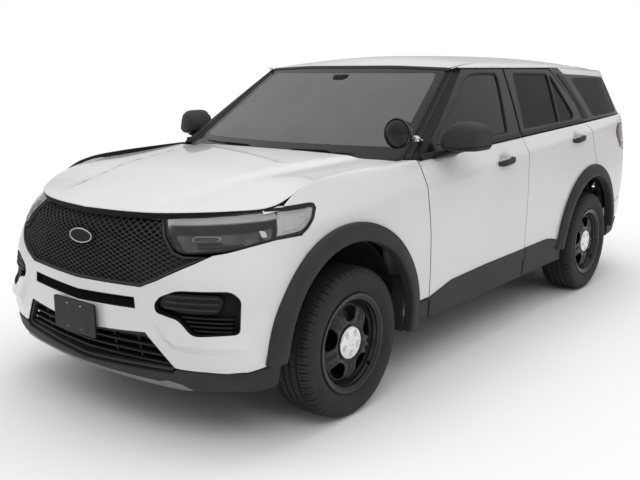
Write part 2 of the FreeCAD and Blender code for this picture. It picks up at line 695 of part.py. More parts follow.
def outline(body, name, role, points):
    """A closed sketch on one of the body's own planes, every corner held by constraints."""
    drawing = body.newObject("Sketcher::SketchObject", name)
    drawing.AttachmentSupport = [(origin_plane(body, role), "")]
    drawing.MapMode = "FlatFace"
    at_points = [Vector(number(a), number(b), 0) for a, b in points]
    count = len(points)
    for i, here in enumerate(at_points):
        drawing.addGeometry(Part.LineSegment(here, at_points[(i + 1) % count]), False)
    for i in range(count):
        drawing.addConstraint(Sketcher.Constraint("Coincident", i, 2, (i + 1) % count, 1))
    for i, pair in enumerate(points):
        for kind, zero_line, value in (("DistanceX", -2, pair[0]), ("DistanceY", -1, pair[1])):
            if number(value) == 0:
                drawing.addConstraint(Sketcher.Constraint("PointOnObject", i, 1, zero_line))
                continue
            index = drawing.addConstraint(Sketcher.Constraint(kind, -1, 1, i, 1, number(value)))
            bind(drawing, f"Constraints[{index}]", value)
    return drawing


def new_body(name):
    body = doc.addObject("PartDesign::Body", name)
    body.Label = name
    return body


def turned(body, points):
    """A revolution about the body's X axis of (x, radius) points."""
    drawing = outline(body, body.Name + "_profile", "XZ_Plane", points)
    turn = body.newObject("PartDesign::Revolution", body.Name + "_turn")
    turn.Profile = drawing
    turn.ReferenceAxis = (drawing, ["H_Axis"])
    turn.Angle = 360
    drawing.Visibility = False
    return turn


# ---------------------------------------------------------------- wheels
TYRE = [(-98, ("bead_radius", 0)), (-104, ("bead_radius", 34)),
        (("tyre_half_width", 0, -1), ("bead_radius", 80)), (-122, ("tyre_radius", -34)), (-106, ("tyre_radius", -8)), (-70, ("tyre_radius", 0)),
        (70, ("tyre_radius", 0)), (106, ("tyre_radius", -8)), (122, ("tyre_radius", -34)),
        (("tyre_half_width", 0), ("bead_radius", 80)), (104, ("bead_radius", 34)), (98, ("bead_radius", 0))]
RIM = [(-112, ("flange_radius", 0)), (-106, ("flange_radius", 0)), (-100, ("bead_radius", 0)), (-76, 222),
       (-60, 208), (66, 208), (76, 222), (100, ("bead_radius", 0)), (108, ("flange_radius", 0)),
       (114, ("flange_radius", 0)), (112, 228), (104, 219), (84, 212), (78, 190), (96, 158), (98, 132),
       (88, 100), (88, ("cap_radius", 0)), (94, ("cap_radius", -8)), (100, 40), (100, 0), (20, 0), (20, 26),
       (-40, 26), (-40, 72), (-38, 72), (-38, 162), (-14, 162), (-14, 72), (78, 74), (78, 100), (88, 132),
       (86, 156), (68, 190), (70, 202), (-66, 202), (-82, 216), (-106, 220), (-112, 228)]
WHEELS = {
    "front_left": (1, "front"), "front_right": (-1, "front"),
    "rear_left": (1, "rear"), "rear_right": (-1, "rear"),
}
RIM_WINDOW = [(-52, 172), (-40, 160), (40, 160), (52, 172), (38, 196), (-38, 196)]
RIM_POCKET = 60
RIM_POCKET_START = 50
WINDOWS_PER_RIM = 5
for key, (sign, axle) in WHEELS.items():
    tyre = new_body("tyre_" + key)
    turned(tyre, TYRE)
    rim = new_body("wheel_" + key)
    turned(rim, RIM)
    opening = outline(rim, rim.Name + "_window", "YZ_Plane", RIM_WINDOW)
    pocket = rim.newObject("PartDesign::Pocket", rim.Name + "_pocket")
    pocket.Profile = opening
    pocket.Type = "Length"
    pocket.Length = RIM_POCKET
    pocket.Reversed = True
    opening.AttachmentOffset = Placement(Vector(0, 0, RIM_POCKET_START), Rotation())
    pattern = rim.newObject("PartDesign::PolarPattern", rim.Name + "_windows")
    pattern.Originals = [pocket]
    pattern.Axis = (opening, ["N_Axis"])
    pattern.Angle = 360
    pattern.Occurrences = WINDOWS_PER_RIM
    rim.Tip = pattern
    for body in (tyre, rim):
        y = FRONT_Y if axle == "front" else REAR_Y
        turn = Rotation(Vector(0, 0, 1), 0 if sign > 0 else 180)
        body.Placement = Placement(Vector(sign * dim("half_track"), y, WHEEL_Z), turn)
        body.setExpression("Placement.Base.x", f"{sign} * dims.half_track")
        rear = " + dims.wheelbase" if axle == "rear" else ""
        body.setExpression("Placement.Base.y", "dims.front_axle_y" + rear)
        body.setExpression("Placement.Base.z", "dims.tyre_radius")
        nodes[body.Name] = body

# ---------------------------------------------------------------- knuckles and suspension
KX = dim("kingpin_x")


def hub_carrier(name, sign, y, post):
    """The upright beside a wheel, with the bearing, stub axle and brake caliper."""
    x = sign * KX
    inner, outer, tip = sign * 742, sign * 805, sign * 868
    pieces = [
        bar(name + "_bearing", (inner, y, WHEEL_Z), (outer, y, WHEEL_Z), 60),
        bar(name + "_stub", (outer - sign * 5, y, WHEEL_Z), (tip, y, WHEEL_Z), 24),
        block(name + "_arm", (min(x, inner + sign * 8), y - 38, WHEEL_Z - 38),
              (max(x, inner + sign * 8), y + 38, WHEEL_Z + 38)),
        block(name + "_caliper", (min(sign * 772, sign * 806), y + 40, WHEEL_Z - 60),
              (max(sign * 772, sign * 806), y + 150, WHEEL_Z + 60)),
    ]
    if post:
        pieces.append(bar(name + "_post", (x, y, 262), (x, y, 545), 18))
    return pieces


for side, sign in (("left", 1), ("right", -1)):
    name = "knuckle_" + side
    whole = union(name + "_solid", hub_carrier(name, sign, FRONT_Y, True))
    holes = doc.addObject("Part::MultiFuse", name + "_bores")
    holes.Shapes = [bar(name + "_low_bore", (sign * KX, FRONT_Y, 255), (sign * KX, FRONT_Y, 294), 9.5),
                    bar(name + "_top_bore", (sign * KX, FRONT_Y, 512), (sign * KX, FRONT_Y, 550), 9.5)]
    del nodes[name + "_solid"]
    difference(name, whole, holes)

front_pieces = [block("front_subframe", (-420, FRONT_Y - 70, 250), (420, FRONT_Y + 70, 326)),
                bar("front_rack", (-430, FRONT_Y + 95, 300), (430, FRONT_Y + 95, 300), 26)]
rear_pieces = [block("rear_subframe", (-400, REAR_Y - 170, 300), (400, REAR_Y + 170, 380)),
               block("rear_differential", (-110, REAR_Y - 150, 250), (110, REAR_Y + 150, 372))]
for side, sign in (("left", 1), ("right", -1)):
    for lean in (-120, 120):
        front_pieces.append(bar(f"front_arm_{side}_{lean}", (sign * 380, FRONT_Y + lean / 2, 268),
                                (sign * KX, FRONT_Y, 240), 15))
        rear_pieces.append(bar(f"rear_arm_{side}_{lean}", (sign * 360, REAR_Y + lean, 330),
                               (sign * 760, REAR_Y + lean / 4, 340), 16))
    front_pieces += [
        bar("front_joint_" + side, (sign * KX, FRONT_Y, 222), (sign * KX, FRONT_Y, 256), 30),
        bar("front_pin_" + side, (sign * KX, FRONT_Y, 250), (sign * KX, FRONT_Y, 290), 8),
    ]
    rear_pieces += hub_carrier("rear_hub_" + side, sign, REAR_Y, False)
    rear_pieces += [
        bar("half_shaft_" + side, (sign * 100, REAR_Y, WHEEL_Z - 14), (sign * 745, REAR_Y, WHEEL_Z), 17),
        bar("rear_spring_" + side, (sign * 590, REAR_Y, 322), (sign * 590, REAR_Y, 400), 45),
        across_block("subframe_ear_" + side, sign, (390, 600), (REAR_Y - 170, REAR_Y - 120), (340, 400)),
    ]
    front_pieces += [
        bar("strut_rod_" + side, (sign * KX, FRONT_Y, 551), (sign * KX, FRONT_Y, 855), 17),
        bar("strut_pin_" + side, (sign * KX, FRONT_Y, 518), (sign * KX, FRONT_Y, 560), 8),
        bar("strut_spring_" + side, (sign * KX, FRONT_Y, 766), (sign * KX, FRONT_Y, 852), 58),
        across_block("strut_top_" + side, sign, (484, 760), (FRONT_Y - 40, FRONT_Y + 40), (850, 862)),
        across_block("subframe_leg_" + side, sign, (400, 470), (FRONT_Y - 70, FRONT_Y + 70), (300, 440)),
    ]
union("front_suspension", front_pieces)
union("rear_suspension", rear_pieces)

# ---------------------------------------------------------------- underbody
LINER_RADIUS = dim("arch_radius") + 3
LINER_THICK = 12


def wheelhouse(y, low, high):
    """An arched liner over a wheel, open at the bottom and towards the wheel's outer face."""
    inside = cylinder_x(LINER_RADIUS, low - 1, high + 1, y, WHEEL_Z)
    shape = cylinder_x(LINER_RADIUS + LINER_THICK, low, high, y, WHEEL_Z).cut(inside)
    return shape.common(box((low - 1, y - 900, DECK_Z), (high + 1, y + 900, 1000)))


REAR_END = 2388
under = [
    box((-778, -1100, FLOOR_Z), (778, 890, DECK_Z)),
    box((-690, 885, FLOOR_Z), (690, 1000, DECK_Z)),
    box((-690, 985, FLOOR_Z), (690, 1000, 495)),
    box((-690, 985, 480), (690, 2370, 495)),
    box((-130, -1100, DECK_Z), (-115, 990, 480)),
    box((115, -1100, DECK_Z), (130, 990, 480)),
    box((-130, -1100, 465), (130, 990, 480)),
    box((-735, -1115, FLOOR_Z), (735, -1100, 1140)),
    box((-600, REAR_END - 20, 400), (600, REAR_END, 630)),
    box((-480, -2330, 440), (480, -2300, 880)),
]
for sign in (1, -1):
    place = (lambda shape: shape) if sign > 0 else other_side
    under += [place(shape) for shape in (
        box((420, -2310, 440), (480, -1105, 540)),
        box((560, 985, 400), (620, 2380, 485)),
        box((470, -2130, 500), (484, -1105, 862)),
        box((690, 885, 480), (702, 1885, 860)),
        wheelhouse(FRONT_Y, 470, 860),
        wheelhouse(REAR_Y, 690, 820),
    )]
shape = under[0].multiFuse(under[1:]).cut(both(frame)).cut(nodes["rear_bumper"].Shape)
keep("underbody", tidy(shape))

engine = new_body("engine_block")
drawing = outline(engine, "engine_outline", "XY_Plane", [
    (("engine_half_width", 0, -1), 0),
    (("engine_half_width", 0), 0),
    (("engine_half_width", 0), ("engine_length", 0)),
    (("engine_half_width", 0, -1), ("engine_length", 0)),
])
pad = engine.newObject("PartDesign::Pad", "engine_pad")
pad.Profile = drawing
pad.Length = dim("engine_height")
pad.setExpression("Length", "dims.engine_height")
ENGINE_AT = Vector(0, -2200, 420)
engine.Placement.Base = ENGINE_AT
nodes["engine_block"] = engine

# ---------------------------------------------------------------- cabin
DASH = [(-1088, 720), (-1088, 1125), (-980, 1150), (-820, 1128), (-712, 1076), (-704, 980), (-790, 900),
        (-800, 720)]
dash = prism_x(DASH, -690, 690)
keep("dashboard", dash)
wheel_pieces = [Part.makeTorus(dim("steering_wheel_radius"), 15, Vector(0, 0, 0), Vector(0, 0, 1)),
                Part.makeCylinder(62, 40, Vector(0, 0, -22)), Part.makeCylinder(28, 170, Vector(0, 0, -180))]
for angle in (0, 180, 270):
    spoke = box((40, -18, -10), (182, 18, 6))
    spoke.rotate(Vector(0, 0, 0), Vector(0, 0, 1), angle)
    wheel_pieces.append(spoke)
steering = wheel_pieces[0].multiFuse(wheel_pieces[1:])
STEERING_AT = Vector(372, -560, 1010)
STEERING_TILT = -62
steering.Placement = Placement(STEERING_AT, Rotation(Vector(1, 0, 0), STEERING_TILT))
keep("steering_wheel", tidy(steering.cut(dash)))


def seat(x, half, y, tall):
    """A cushion, a back, a head rest and its two posts, as one closed solid."""
    low = [(y - 500, 480), (y - 510, 600), (y - 440, 628), (y, 606), (y + 20, 480)]
    high = [(y - 60, 560), (y + 70, 500), (y + 200, 1110), (y + 130, 1120)]
    cushion = prism_x(low, x - half, x + half)
    back = prism_x(high, x - half + 10, x + half - 10)
    rest = box((x - 130, y + 130, 1140), (x + 130, y + 220, 1300 if tall else 1240))
    posts = box((x - 60, y + 150, 1090), (x - 44, y + 168, 1180)).fuse(
        box((x + 44, y + 150, 1090), (x + 60, y + 168, 1180)))
    return cushion.fuse(back).fuse(rest).fuse(posts)


keep("front_seats", Part.makeCompound([tidy(seat(x, 262, 70, True)) for x in (372, -372)]))
bench = seat(370, 305, 900, False).fuse(seat(-370, 305, 900, False)).fuse(
    prism_x([(390, 480), (400, 598), (900, 596), (920, 480)], -80, 80)).fuse(
    prism_x([(850, 560), (970, 500), (1090, 1080), (1030, 1090)], -80, 80))
keep("rear_seat", tidy(bench))
frames = [box((x - 200, y, DECK_Z), (x + 200, y + 420, 480)) for x, y in ((372, -390), (-372, -390))]
frames.append(box((-600, 430, DECK_Z), (600, 870, 480)).cut(box((-136, 400, 300), (136, 900, 484))))
keep("seat_frames", Part.makeCompound([s for piece in frames for s in piece.Solids]))
keep("centre_console", prism_x([(-780, 482), (-780, 760), (-700, 740), (-560, 660), (-150, 650), (-150, 482)],
                               -100, 100).cut(dash))

# ---------------------------------------------------------------- cowl, plate holder, spotlight
COWL = [(0, -1224), (300, -1207), (600, -1157), (800, -1102), (800, -1050), (600, -1095), (300, -1140),
        (0, -1160)]
keep("cowl", tidy(prism_z(mirrored(COWL), 1150, 1172).cut(both(frame))))

plate = new_body("plate_holder")
drawing = outline(plate, "plate_outline", "XZ_Plane", [
    (("plate_half_width", 0, -1), ("plate_half_height", 0, -1)),
    (("plate_half_width", 0), ("plate_half_height", 0, -1)),
    (("plate_half_width", 0), ("plate_half_height", 0)),
    (("plate_half_width", 0, -1), ("plate_half_height", 0)),
])
pad = plate.newObject("PartDesign::Pad", "plate_pad")
pad.Profile = drawing
pad.Length = dim("plate_thick")
pad.setExpression("Length", "dims.plate_thick")
BOLT_RADIUS = 3.5
BOLTS = ((-89, -60.5), (89, -60.5), (89, 60.5), (-89, 60.5))
plate.Placement.Base = Vector(0, dim("plate_y") + dim("plate_thick"), dim("plate_z"))
plate.setExpression("Placement.Base.y", "dims.plate_y + dims.plate_thick")
plate.setExpression("Placement.Base.z", "dims.plate_z")
holes = plate.newObject("Sketcher::SketchObject", "plate_bolts")
holes.AttachmentSupport = [(origin_plane(plate, "XZ_Plane"), "")]
holes.MapMode = "FlatFace"
for index, (x, z) in enumerate(BOLTS):
    holes.addGeometry(Part.Circle(Vector(x, z, 0), Vector(0, 0, 1), BOLT_RADIUS), False)
    holes.addConstraint(Sketcher.Constraint("DistanceX", -1, 1, index, 3, x))
    holes.addConstraint(Sketcher.Constraint("DistanceY", -1, 1, index, 3, z))
    holes.addConstraint(Sketcher.Constraint("Radius", index, BOLT_RADIUS))
pocket = plate.newObject("PartDesign::Pocket", "plate_holes")
pocket.Profile = holes
pocket.Type = "ThroughAll"
pocket.Midplane = True
nodes["plate_holder"] = plate

LAMP_AT = Vector(838, -1128, 1345)
LAMP_BACK_RADIUS = 42
LAMP_LENGTH = 118
LAMP_RIM = 4
LAMP_RIM_LENGTH = 24
BRACKET_RADIUS = 13
backward = Vector(0, 1, 0)
lamp_radius = dim("spotlight_radius")
bowl = Part.makeCone(lamp_radius, LAMP_BACK_RADIUS, LAMP_LENGTH, LAMP_AT, backward).fuse(
    Part.makeCylinder(lamp_radius + LAMP_RIM, LAMP_RIM_LENGTH, LAMP_AT, backward))
bracket = rod((838, -1022, 1338), (856, -874, 1286), BRACKET_RADIUS)
spot = bowl.fuse(bracket).cut(frame)
keep("spotlight", tidy(max(spot.Solids, key=lambda s: s.Volume)))

doc.recompute()
broken = [o.Name for o in doc.Objects if "Invalid" in o.State or "Error" in o.State]
if broken:
    raise RuntimeError(f"failed objects: {broken}")
for name, node in nodes.items():
    shape = node.Shape
    if shape.isNull() or not shape.isValid():
        raise RuntimeError(f"{name} is not a sound solid")
os.makedirs("parts", exist_ok=True)
for name, node in nodes.items():
    node.Shape.exportStep(f"parts/{name}.step")
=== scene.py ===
import math

import bmesh
import bpy
import numpy as np
from mathutils import Matrix, Vector
from mathutils.geometry import delaunay_2d_cdt


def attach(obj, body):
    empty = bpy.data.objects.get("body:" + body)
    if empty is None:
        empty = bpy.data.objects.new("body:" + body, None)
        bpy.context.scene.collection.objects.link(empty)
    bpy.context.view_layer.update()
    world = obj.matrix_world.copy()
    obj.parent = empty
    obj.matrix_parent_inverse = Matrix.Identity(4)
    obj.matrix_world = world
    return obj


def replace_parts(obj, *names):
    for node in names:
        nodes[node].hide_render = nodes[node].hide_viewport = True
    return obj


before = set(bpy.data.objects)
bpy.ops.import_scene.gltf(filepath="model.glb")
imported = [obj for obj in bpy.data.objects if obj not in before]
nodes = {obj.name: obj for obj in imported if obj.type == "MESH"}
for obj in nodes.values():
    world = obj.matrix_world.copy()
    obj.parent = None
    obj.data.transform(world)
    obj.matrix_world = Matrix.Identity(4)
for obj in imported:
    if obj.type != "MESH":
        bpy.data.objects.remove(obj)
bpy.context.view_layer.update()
scene = bpy.context.scene
scene.view_settings.view_transform = "Standard"

# camera, lamps and world
cameraSetup = {"place": (3.168, -4.647, 1.674), "azimuth": 38.74, "elevation": 11.94, "roll": -0.14, "lens": 45.49}
lampSetup = {
    "key": {"place": (4.6, -5.0, 6.0), "size": (5.0, 3.0), "power": 125, "mirrored": False},
    "fill": {"place": (-6.0, -5.5, 4.0), "size": (4.0, 4.0), "power": 50, "mirrored": False},
    "top": {"place": (0.0, 0.5, 7.5), "size": (5.0, 8.0), "power": 180, "mirrored": False},
    "rear": {"place": (2.5, 8.0, 4.5), "size": (5.0, 3.0), "power": 60, "mirrored": False},
}
worldSetup = {"low": 0.06, "horizon": 0.18, "middle": 0.46, "high": 0.80, "mirrored": 0.4}


def makeCamera():
    data = bpy.data.cameras.new("camera")
    data.lens = cameraSetup["lens"]
    data.sensor_width = 36
    camera = bpy.data.objects.new("camera", data)
    scene.collection.objects.link(camera)
    a, e = math.radians(cameraSetup["azimuth"]), math.radians(cameraSetup["elevation"])
    back = Vector((math.sin(a) * math.cos(e), -math.cos(a) * math.cos(e), math.sin(e)))
    turn = back.to_track_quat("Z", "Y").to_matrix().to_4x4()
    roll = Matrix.Rotation(math.radians(cameraSetup["roll"]), 4, "Z")
    camera.matrix_world = Matrix.Translation(cameraSetup["place"]) @ turn @ roll
    scene.camera = camera


def makeLamps():
    for name, lamp in lampSetup.items():
        data = bpy.data.lights.new(name, "AREA")
        data.shape = "RECTANGLE"
        data.size, data.size_y = lamp["size"]
        data.energy = lamp["power"]
        light = bpy.data.objects.new(name, data)
        scene.collection.objects.link(light)
        light.location = lamp["place"]
        light.visible_glossy = lamp.get("mirrored", True)
        light.rotation_euler = (Vector((0, 0, 0.6)) - light.location).to_track_quat("-Z", "Y").to_euler()


makeCamera()
makeLamps()
print("camera and lamps")


# shader nodes as plain expressions
class Wire:
    def __init__(self, finish, socket):
        self.finish = finish
        self.socket = socket

    def maths(self, operation, a, b=0.0):
        return self.finish.node("ShaderNodeMath", {"operation": operation}, {0: a, 1: b})

    def __add__(self, other):
        return self.maths("ADD", self, other)

    def __sub__(self, other):
        return self.maths("SUBTRACT", self, other)

    def __rsub__(self, other):
        return self.maths("SUBTRACT", other, self)

    def __mul__(self, other):
        return self.maths("MULTIPLY", self, other)

    def __truediv__(self, other):
        return self.maths("DIVIDE", self, other)

    def __pow__(self, other):
        return self.maths("POWER", self, other)

    def wave(self):
        return self.maths("SINE", self)

    def size(self):
        return self.maths("ABSOLUTE", self)

    __radd__ = __add__
    __rmul__ = __mul__


class Graph:
    def __init__(self, tree):
        self.tree = tree
        self.placeWire = None

    def node(self, kind, settings=None, sockets=None, out=0):
        node = self.tree.nodes.new(kind)
        for key, value in (settings or {}).items():
            if key == "stops":
                stops = node.color_ramp.elements
                while len(stops) < len(value):
                    stops.new(0.5)
                for stop, (position, colour) in zip(stops, value):
                    stop.position = position
                    stop.color = colour if len(colour) == 4 else (*colour, 1)
            else:
                setattr(node, key, value)
        for key, value in (sockets or {}).items():
            if isinstance(value, Wire):
                self.tree.links.new(value.socket, node.inputs[key])
            else:
                node.inputs[key].default_value = value
        return Wire(self, node.outputs[out])

    def place(self):
        if self.placeWire is None:
            self.placeWire = self.node("ShaderNodeTexCoord", out="Object")
        return self.placeWire

    def noise(self, scale, detail=2.0, roughness=0.5):
        return self.node("ShaderNodeTexNoise", {}, {"Vector": self.place(), "Scale": scale, "Detail": detail,
                                                    "Roughness": roughness})

    def ramp(self, wire, *stops):
        return self.node("ShaderNodeValToRGB", {"stops": stops}, {0: wire})

    def span(self, wire, low, high, toLow, toHigh):
        return self.node("ShaderNodeMapRange", {}, {0: wire, 1: low, 2: high, 3: toLow, 4: toHigh})

    def axis(self, name):
        return self.node("ShaderNodeSeparateXYZ", {}, {0: self.place()}, out=name)


class Finish(Graph):
    def __init__(self, name, **fixed):
        self.material = bpy.data.materials.new(name)
        self.material.use_nodes = True
        super().__init__(self.material.node_tree)
        self.shader = self.tree.nodes["Principled BSDF"]
        for socket, value in fixed.items():
            self.shader.inputs[socket.replace("_", " ")].default_value = value

    def feed(self, socket, wire):
        self.tree.links.new(wire.socket, self.shader.inputs[socket])

    def bump(self, height, strength=0.3, distance=0.001):
        self.feed("Normal", self.node("ShaderNodeBump", {}, {"Strength": strength, "Distance": distance,
                                                             "Height": height}))


def grey(value, tint=(1, 1, 1)):
    return tuple(value * part for part in tint) + (1,)


finishes = {}


def paintFinish():
    f = Finish("bodyPaint", Roughness=0.32, Coat_Weight=1.0, Coat_Roughness=0.035, Coat_IOR=1.5)
    cloud = f.noise(1.7, 3)
    f.feed("Base Color", f.ramp(cloud, (0.3, grey(0.71, (1, 1, 0.995))), (0.7, grey(0.76, (1, 1, 1)))))
    film = f.noise(900, 2)
    f.feed("Roughness", f.span(film, 0, 1, 0.28, 0.40))
    f.bump(f.noise(420, 1), 0.05, 0.0002)
    return f


def plasticFinish(name, low, high, rough, grain=1400, depth=0.00025, shine=0.3):
    f = Finish(name, Roughness=rough, Specular_IOR_Level=shine)
    f.feed("Base Color", f.ramp(f.noise(6, 4), (0.25, grey(low)), (0.8, grey(high))))
    pebbles = f.node("ShaderNodeTexVoronoi", {"feature": "SMOOTH_F1"}, {"Vector": f.place(), "Scale": grain})
    f.feed("Roughness", f.span(f.noise(40, 3), 0, 1, rough - 0.08, rough + 0.08))
    f.bump(pebbles, 0.35, depth)
    return f


def glossFinish(name, low, high, rough=0.12):
    f = Finish(name, Roughness=rough, Specular_IOR_Level=0.3, Coat_Weight=0.2, Coat_Roughness=0.04)
    f.feed("Base Color", f.ramp(f.noise(9, 3), (0.3, grey(low)), (0.7, grey(high))))
    f.feed("Roughness", f.span(f.noise(160, 4), 0, 1, rough, rough + 0.16))
    f.bump(f.noise(300, 2), 0.05, 0.0002)
    return f


def metalFinish(name, low, high, rough, grain=300):
    f = Finish(name, Metallic=1.0, Roughness=rough)
    f.feed("Base Color", f.ramp(f.noise(14, 4), (0.3, grey(low)), (0.75, grey(high))))
    f.feed("Roughness", f.span(f.noise(grain, 5, 0.6), 0.2, 0.8, rough - 0.04, rough + 0.1))
    f.bump(f.noise(grain * 2, 3), 0.08, 0.0003)
    return f


def glassFinish(name, tint, mirror, haze=0.0):
    f = Finish(name)
    tree = f.tree
    clear = tree.nodes.new("ShaderNodeBsdfTransparent")
    clear.inputs["Color"].default_value = tint
    f.shader.inputs["Roughness"].default_value = 0.03
    f.shader.inputs["Metallic"].default_value = 1.0
    f.feed("Base Color", f.ramp(f.noise(3, 2), (0.3, grey(0.86)), (0.7, grey(0.95))))
    edge = f.node("ShaderNodeFresnel", {}, {"IOR": 1.5})
    share = f.node("ShaderNodeMath", {"operation": "MULTIPLY_ADD", "use_clamp": True}, {0: edge, 1: mirror, 2: haze})
    mix = tree.nodes.new("ShaderNodeMixShader")
    tree.links.new(share.socket, mix.inputs[0])
    tree.links.new(clear.outputs[0], mix.inputs[1])
    tree.links.new(f.shader.outputs[0], mix.inputs[2])
    tree.links.new(mix.outputs[0], tree.nodes["Material Output"].inputs["Surface"])
    return f


finishes["paint"] = paintFinish()
finishes["trim"] = plasticFinish("trimPlastic", 0.024, 0.036, 0.58)
finishes["skid"] = plasticFinish("skidPlastic", 0.17, 0.23, 0.42)
finishes["mesh"] = plasticFinish("meshPlastic", 0.009, 0.015, 0.45, 900, shine=0.2)
# near-black, darker than the other plastics, for the backs of recesses and for openings: painted shade of deep
# hollows
finishes["pocket"] = plasticFinish("pocketShade", 0.004, 0.007, 0.6)
finishes["gloss"] = glossFinish("glossBlack", 0.006, 0.012)
finishes["netting"] = plasticFinish("netPlastic", 0.040, 0.058, 0.34, 900)
finishes["pillar"] = plasticFinish("pillarBlack", 0.009, 0.014, 0.42, 1500, shine=0.15)
finishes["frit"] = glossFinish("glassBorder", 0.003, 0.005, 0.1)
finishes["seal"] = plasticFinish("sealRubber", 0.008, 0.014, 0.5, 700)
# near-black on the walls inside the panel gaps: painted shade, where a real panel edge is body colour
finishes["shade"] = plasticFinish("gapShade", 0.004, 0.007, 0.8, 700)
finishes["clear"] = glassFinish("windscreenGlass", (0.62, 0.65, 0.64, 1), 1.0, 0.12)
finishes["tinted"] = glassFinish("privacyGlass", (0.22, 0.23, 0.23, 1), 0.42, 0.006)
finishes["side"] = glassFinish("doorGlass", (0.42, 0.44, 0.43, 1), 1.0, 0.01)
finishes["cover"] = glassFinish("lampCover", (0.93, 0.94, 0.95, 1), 0.45, 0.01)
finishes["chrome"] = metalFinish("chrome", 0.78, 0.86, 0.09)
finishes["steel"] = metalFinish("darkSteel", 0.05, 0.09, 0.5)
print("finishes")


# body form: levels that run round the body, each in a plane height + slope * (y - levelY)
levelY = -1.010
cornerEase = 0.055  # how far the turns of the body are softened
stations = (1.9, 1.3, 0.5, -0.7, -1.9)
bodyLevels = {
    "sill": {"height": 0.328, "slope": 0.0, "round": 0.02, "sides": (0.925, 0.945, 0.947, 0.945, 0.940),
             "nose": ((0.925, -2.180), (0.850, -2.300), (0.560, -2.425), -2.480),
             "tail": ((0.890, 2.130), (0.830, 2.290), (0.560, 2.440), 2.490)},
    "cladding": {"height": 0.480, "slope": 0.012, "round": 0.05, "sides": (0.944, 0.959, 0.961, 0.959, 0.957),
                 "nose": ((0.948, -2.190), (0.868, -2.325), (0.575, -2.445), -2.502),
                 "tail": ((0.905, 2.200), (0.850, 2.355), (0.600, 2.480), 2.525)},
    "crease": {"height": 0.600, "slope": 0.045, "round": 0.030, "sides": (0.950, 0.966, 0.968, 0.965, 0.959),
               "nose": ((0.948, -2.180), (0.850, -2.322), (0.560, -2.460), -2.513),
               "tail": ((0.912, 2.215), (0.858, 2.385), (0.620, 2.495), 2.538)},
    "waist": {"height": 0.830, "slope": 0.050, "round": 0.10, "sides": (0.953, 0.971, 0.974, 0.970, 0.956),
              "nose": ((0.938, -2.150), (0.825, -2.305), (0.520, -2.462), -2.508),
              "tail": ((0.913, 2.220), (0.852, 2.372), (0.620, 2.450), 2.480)},
    "shoulder": {"height": 1.060, "slope": 0.067, "round": 0.022, "sides": (0.938, 0.966, 0.970, 0.963, 0.925),
                 "nose": ((0.885, -2.090), (0.765, -2.230), (0.478, -2.405), -2.462),
                 "tail": ((0.880, 2.210), (0.810, 2.335), (0.590, 2.415), 2.450)},
    "belt": {"height": 1.200, "slope": 0.0345, "round": 0.02, "sides": (0.893, 0.908, 0.914, 0.920, 0.838),
             "nose": ((0.790, -2.060), (0.690, -2.160), (0.430, -2.320), -2.390),
             "tail": ((0.860, 2.195), (0.790, 2.315), (0.560, 2.395), 2.430), "dip": (0.092, 0.086, 0.080, 0.065)},
    "ledge": {"height": 1.207, "slope": 0.0345, "round": 0.02, "sides": (0.860, 0.872, 0.872, 0.872, 0.834),
              "nose": ((0.786, -2.060), (0.686, -2.160), (0.426, -2.320), -2.386),
              "tail": ((0.850, 2.190), (0.780, 2.310), (0.550, 2.390), 2.425), "dip": (0.092, 0.086, 0.080, 0.065)},
}
cabinStations = (1.9, 1.2, 0.5, 0.0)
cabinLevels = {
    "belt": {"height": 1.200, "slope": 0.0345, "round": 0.1, "corner": (0.824, -1.029), "centre": -1.180,
             "pillar": (0.918, -0.985), "sides": (0.890, 0.904, 0.911, 0.916),
             "tail": ((0.857, 2.192), (0.787, 2.312), (0.557, 2.392), 2.427)},
    "middle": {"height": 1.450, "slope": 0.0, "round": 0.2, "corner": (0.756, -0.664), "centre": -0.775,
               "pillar": (0.850, -0.632), "sides": (0.841, 0.845, 0.846, 0.848),
               "tail": ((0.806, 2.130), (0.738, 2.255), (0.520, 2.335), 2.368)},
    "top": {"height": 1.760, "slope": -0.032, "round": 0.1, "corner": (0.679, -0.253), "centre": -0.324,
            "pillar": (0.728, -0.215), "sides": (0.751, 0.745, 0.733, 0.730),
            "tail": ((0.725, 2.046), (0.662, 2.159), (0.472, 2.227), 2.262)},
}


# a smooth line through values at fixed knots, for any number of columns at once
def splineBends(knots, values):
    count = len(knots)
    gaps = np.diff(knots)
    matrix = np.eye(count)
    right = np.zeros_like(values)
    for i in range(1, count - 1):
        matrix[i, i - 1:i + 2] = gaps[i - 1], 2 * (gaps[i - 1] + gaps[i]), gaps[i]
        right[i] = 6 * ((values[i + 1] - values[i]) / gaps[i] - (values[i] - values[i - 1]) / gaps[i - 1])
    return np.linalg.solve(matrix, right)


# the same without overshoot: each slope is held down where the values turn
def easedLine(knots, values, at):
    gap = np.diff(knots)[:, None]
    rise = np.diff(values, axis=0) / gap
    slope = np.zeros_like(values)
    w1, w2 = 2 * gap[1:] + gap[:-1], gap[1:] + 2 * gap[:-1]
    same = rise[:-1] * rise[1:] > 0
    with np.errstate(divide="ignore", invalid="ignore"):
        inner = (w1 + w2) / (w1 / rise[:-1] + w2 / rise[1:])
    slope[1:-1] = np.where(same, inner, 0)
    slope[0], slope[-1] = rise[0], rise[-1]
    i = np.clip(np.searchsorted(knots, at) - 1, 0, len(knots) - 2)
    t = ((at - knots[i]) / np.diff(knots)[i])[:, None]
    span = gap[i]
    return ((1 + 2 * t) * (1 - t) ** 2 * values[i] + t * (1 - t) ** 2 * span * slope[i]
            + t * t * (3 - 2 * t) * values[i + 1] + t * t * (t - 1) * span * slope[i + 1])


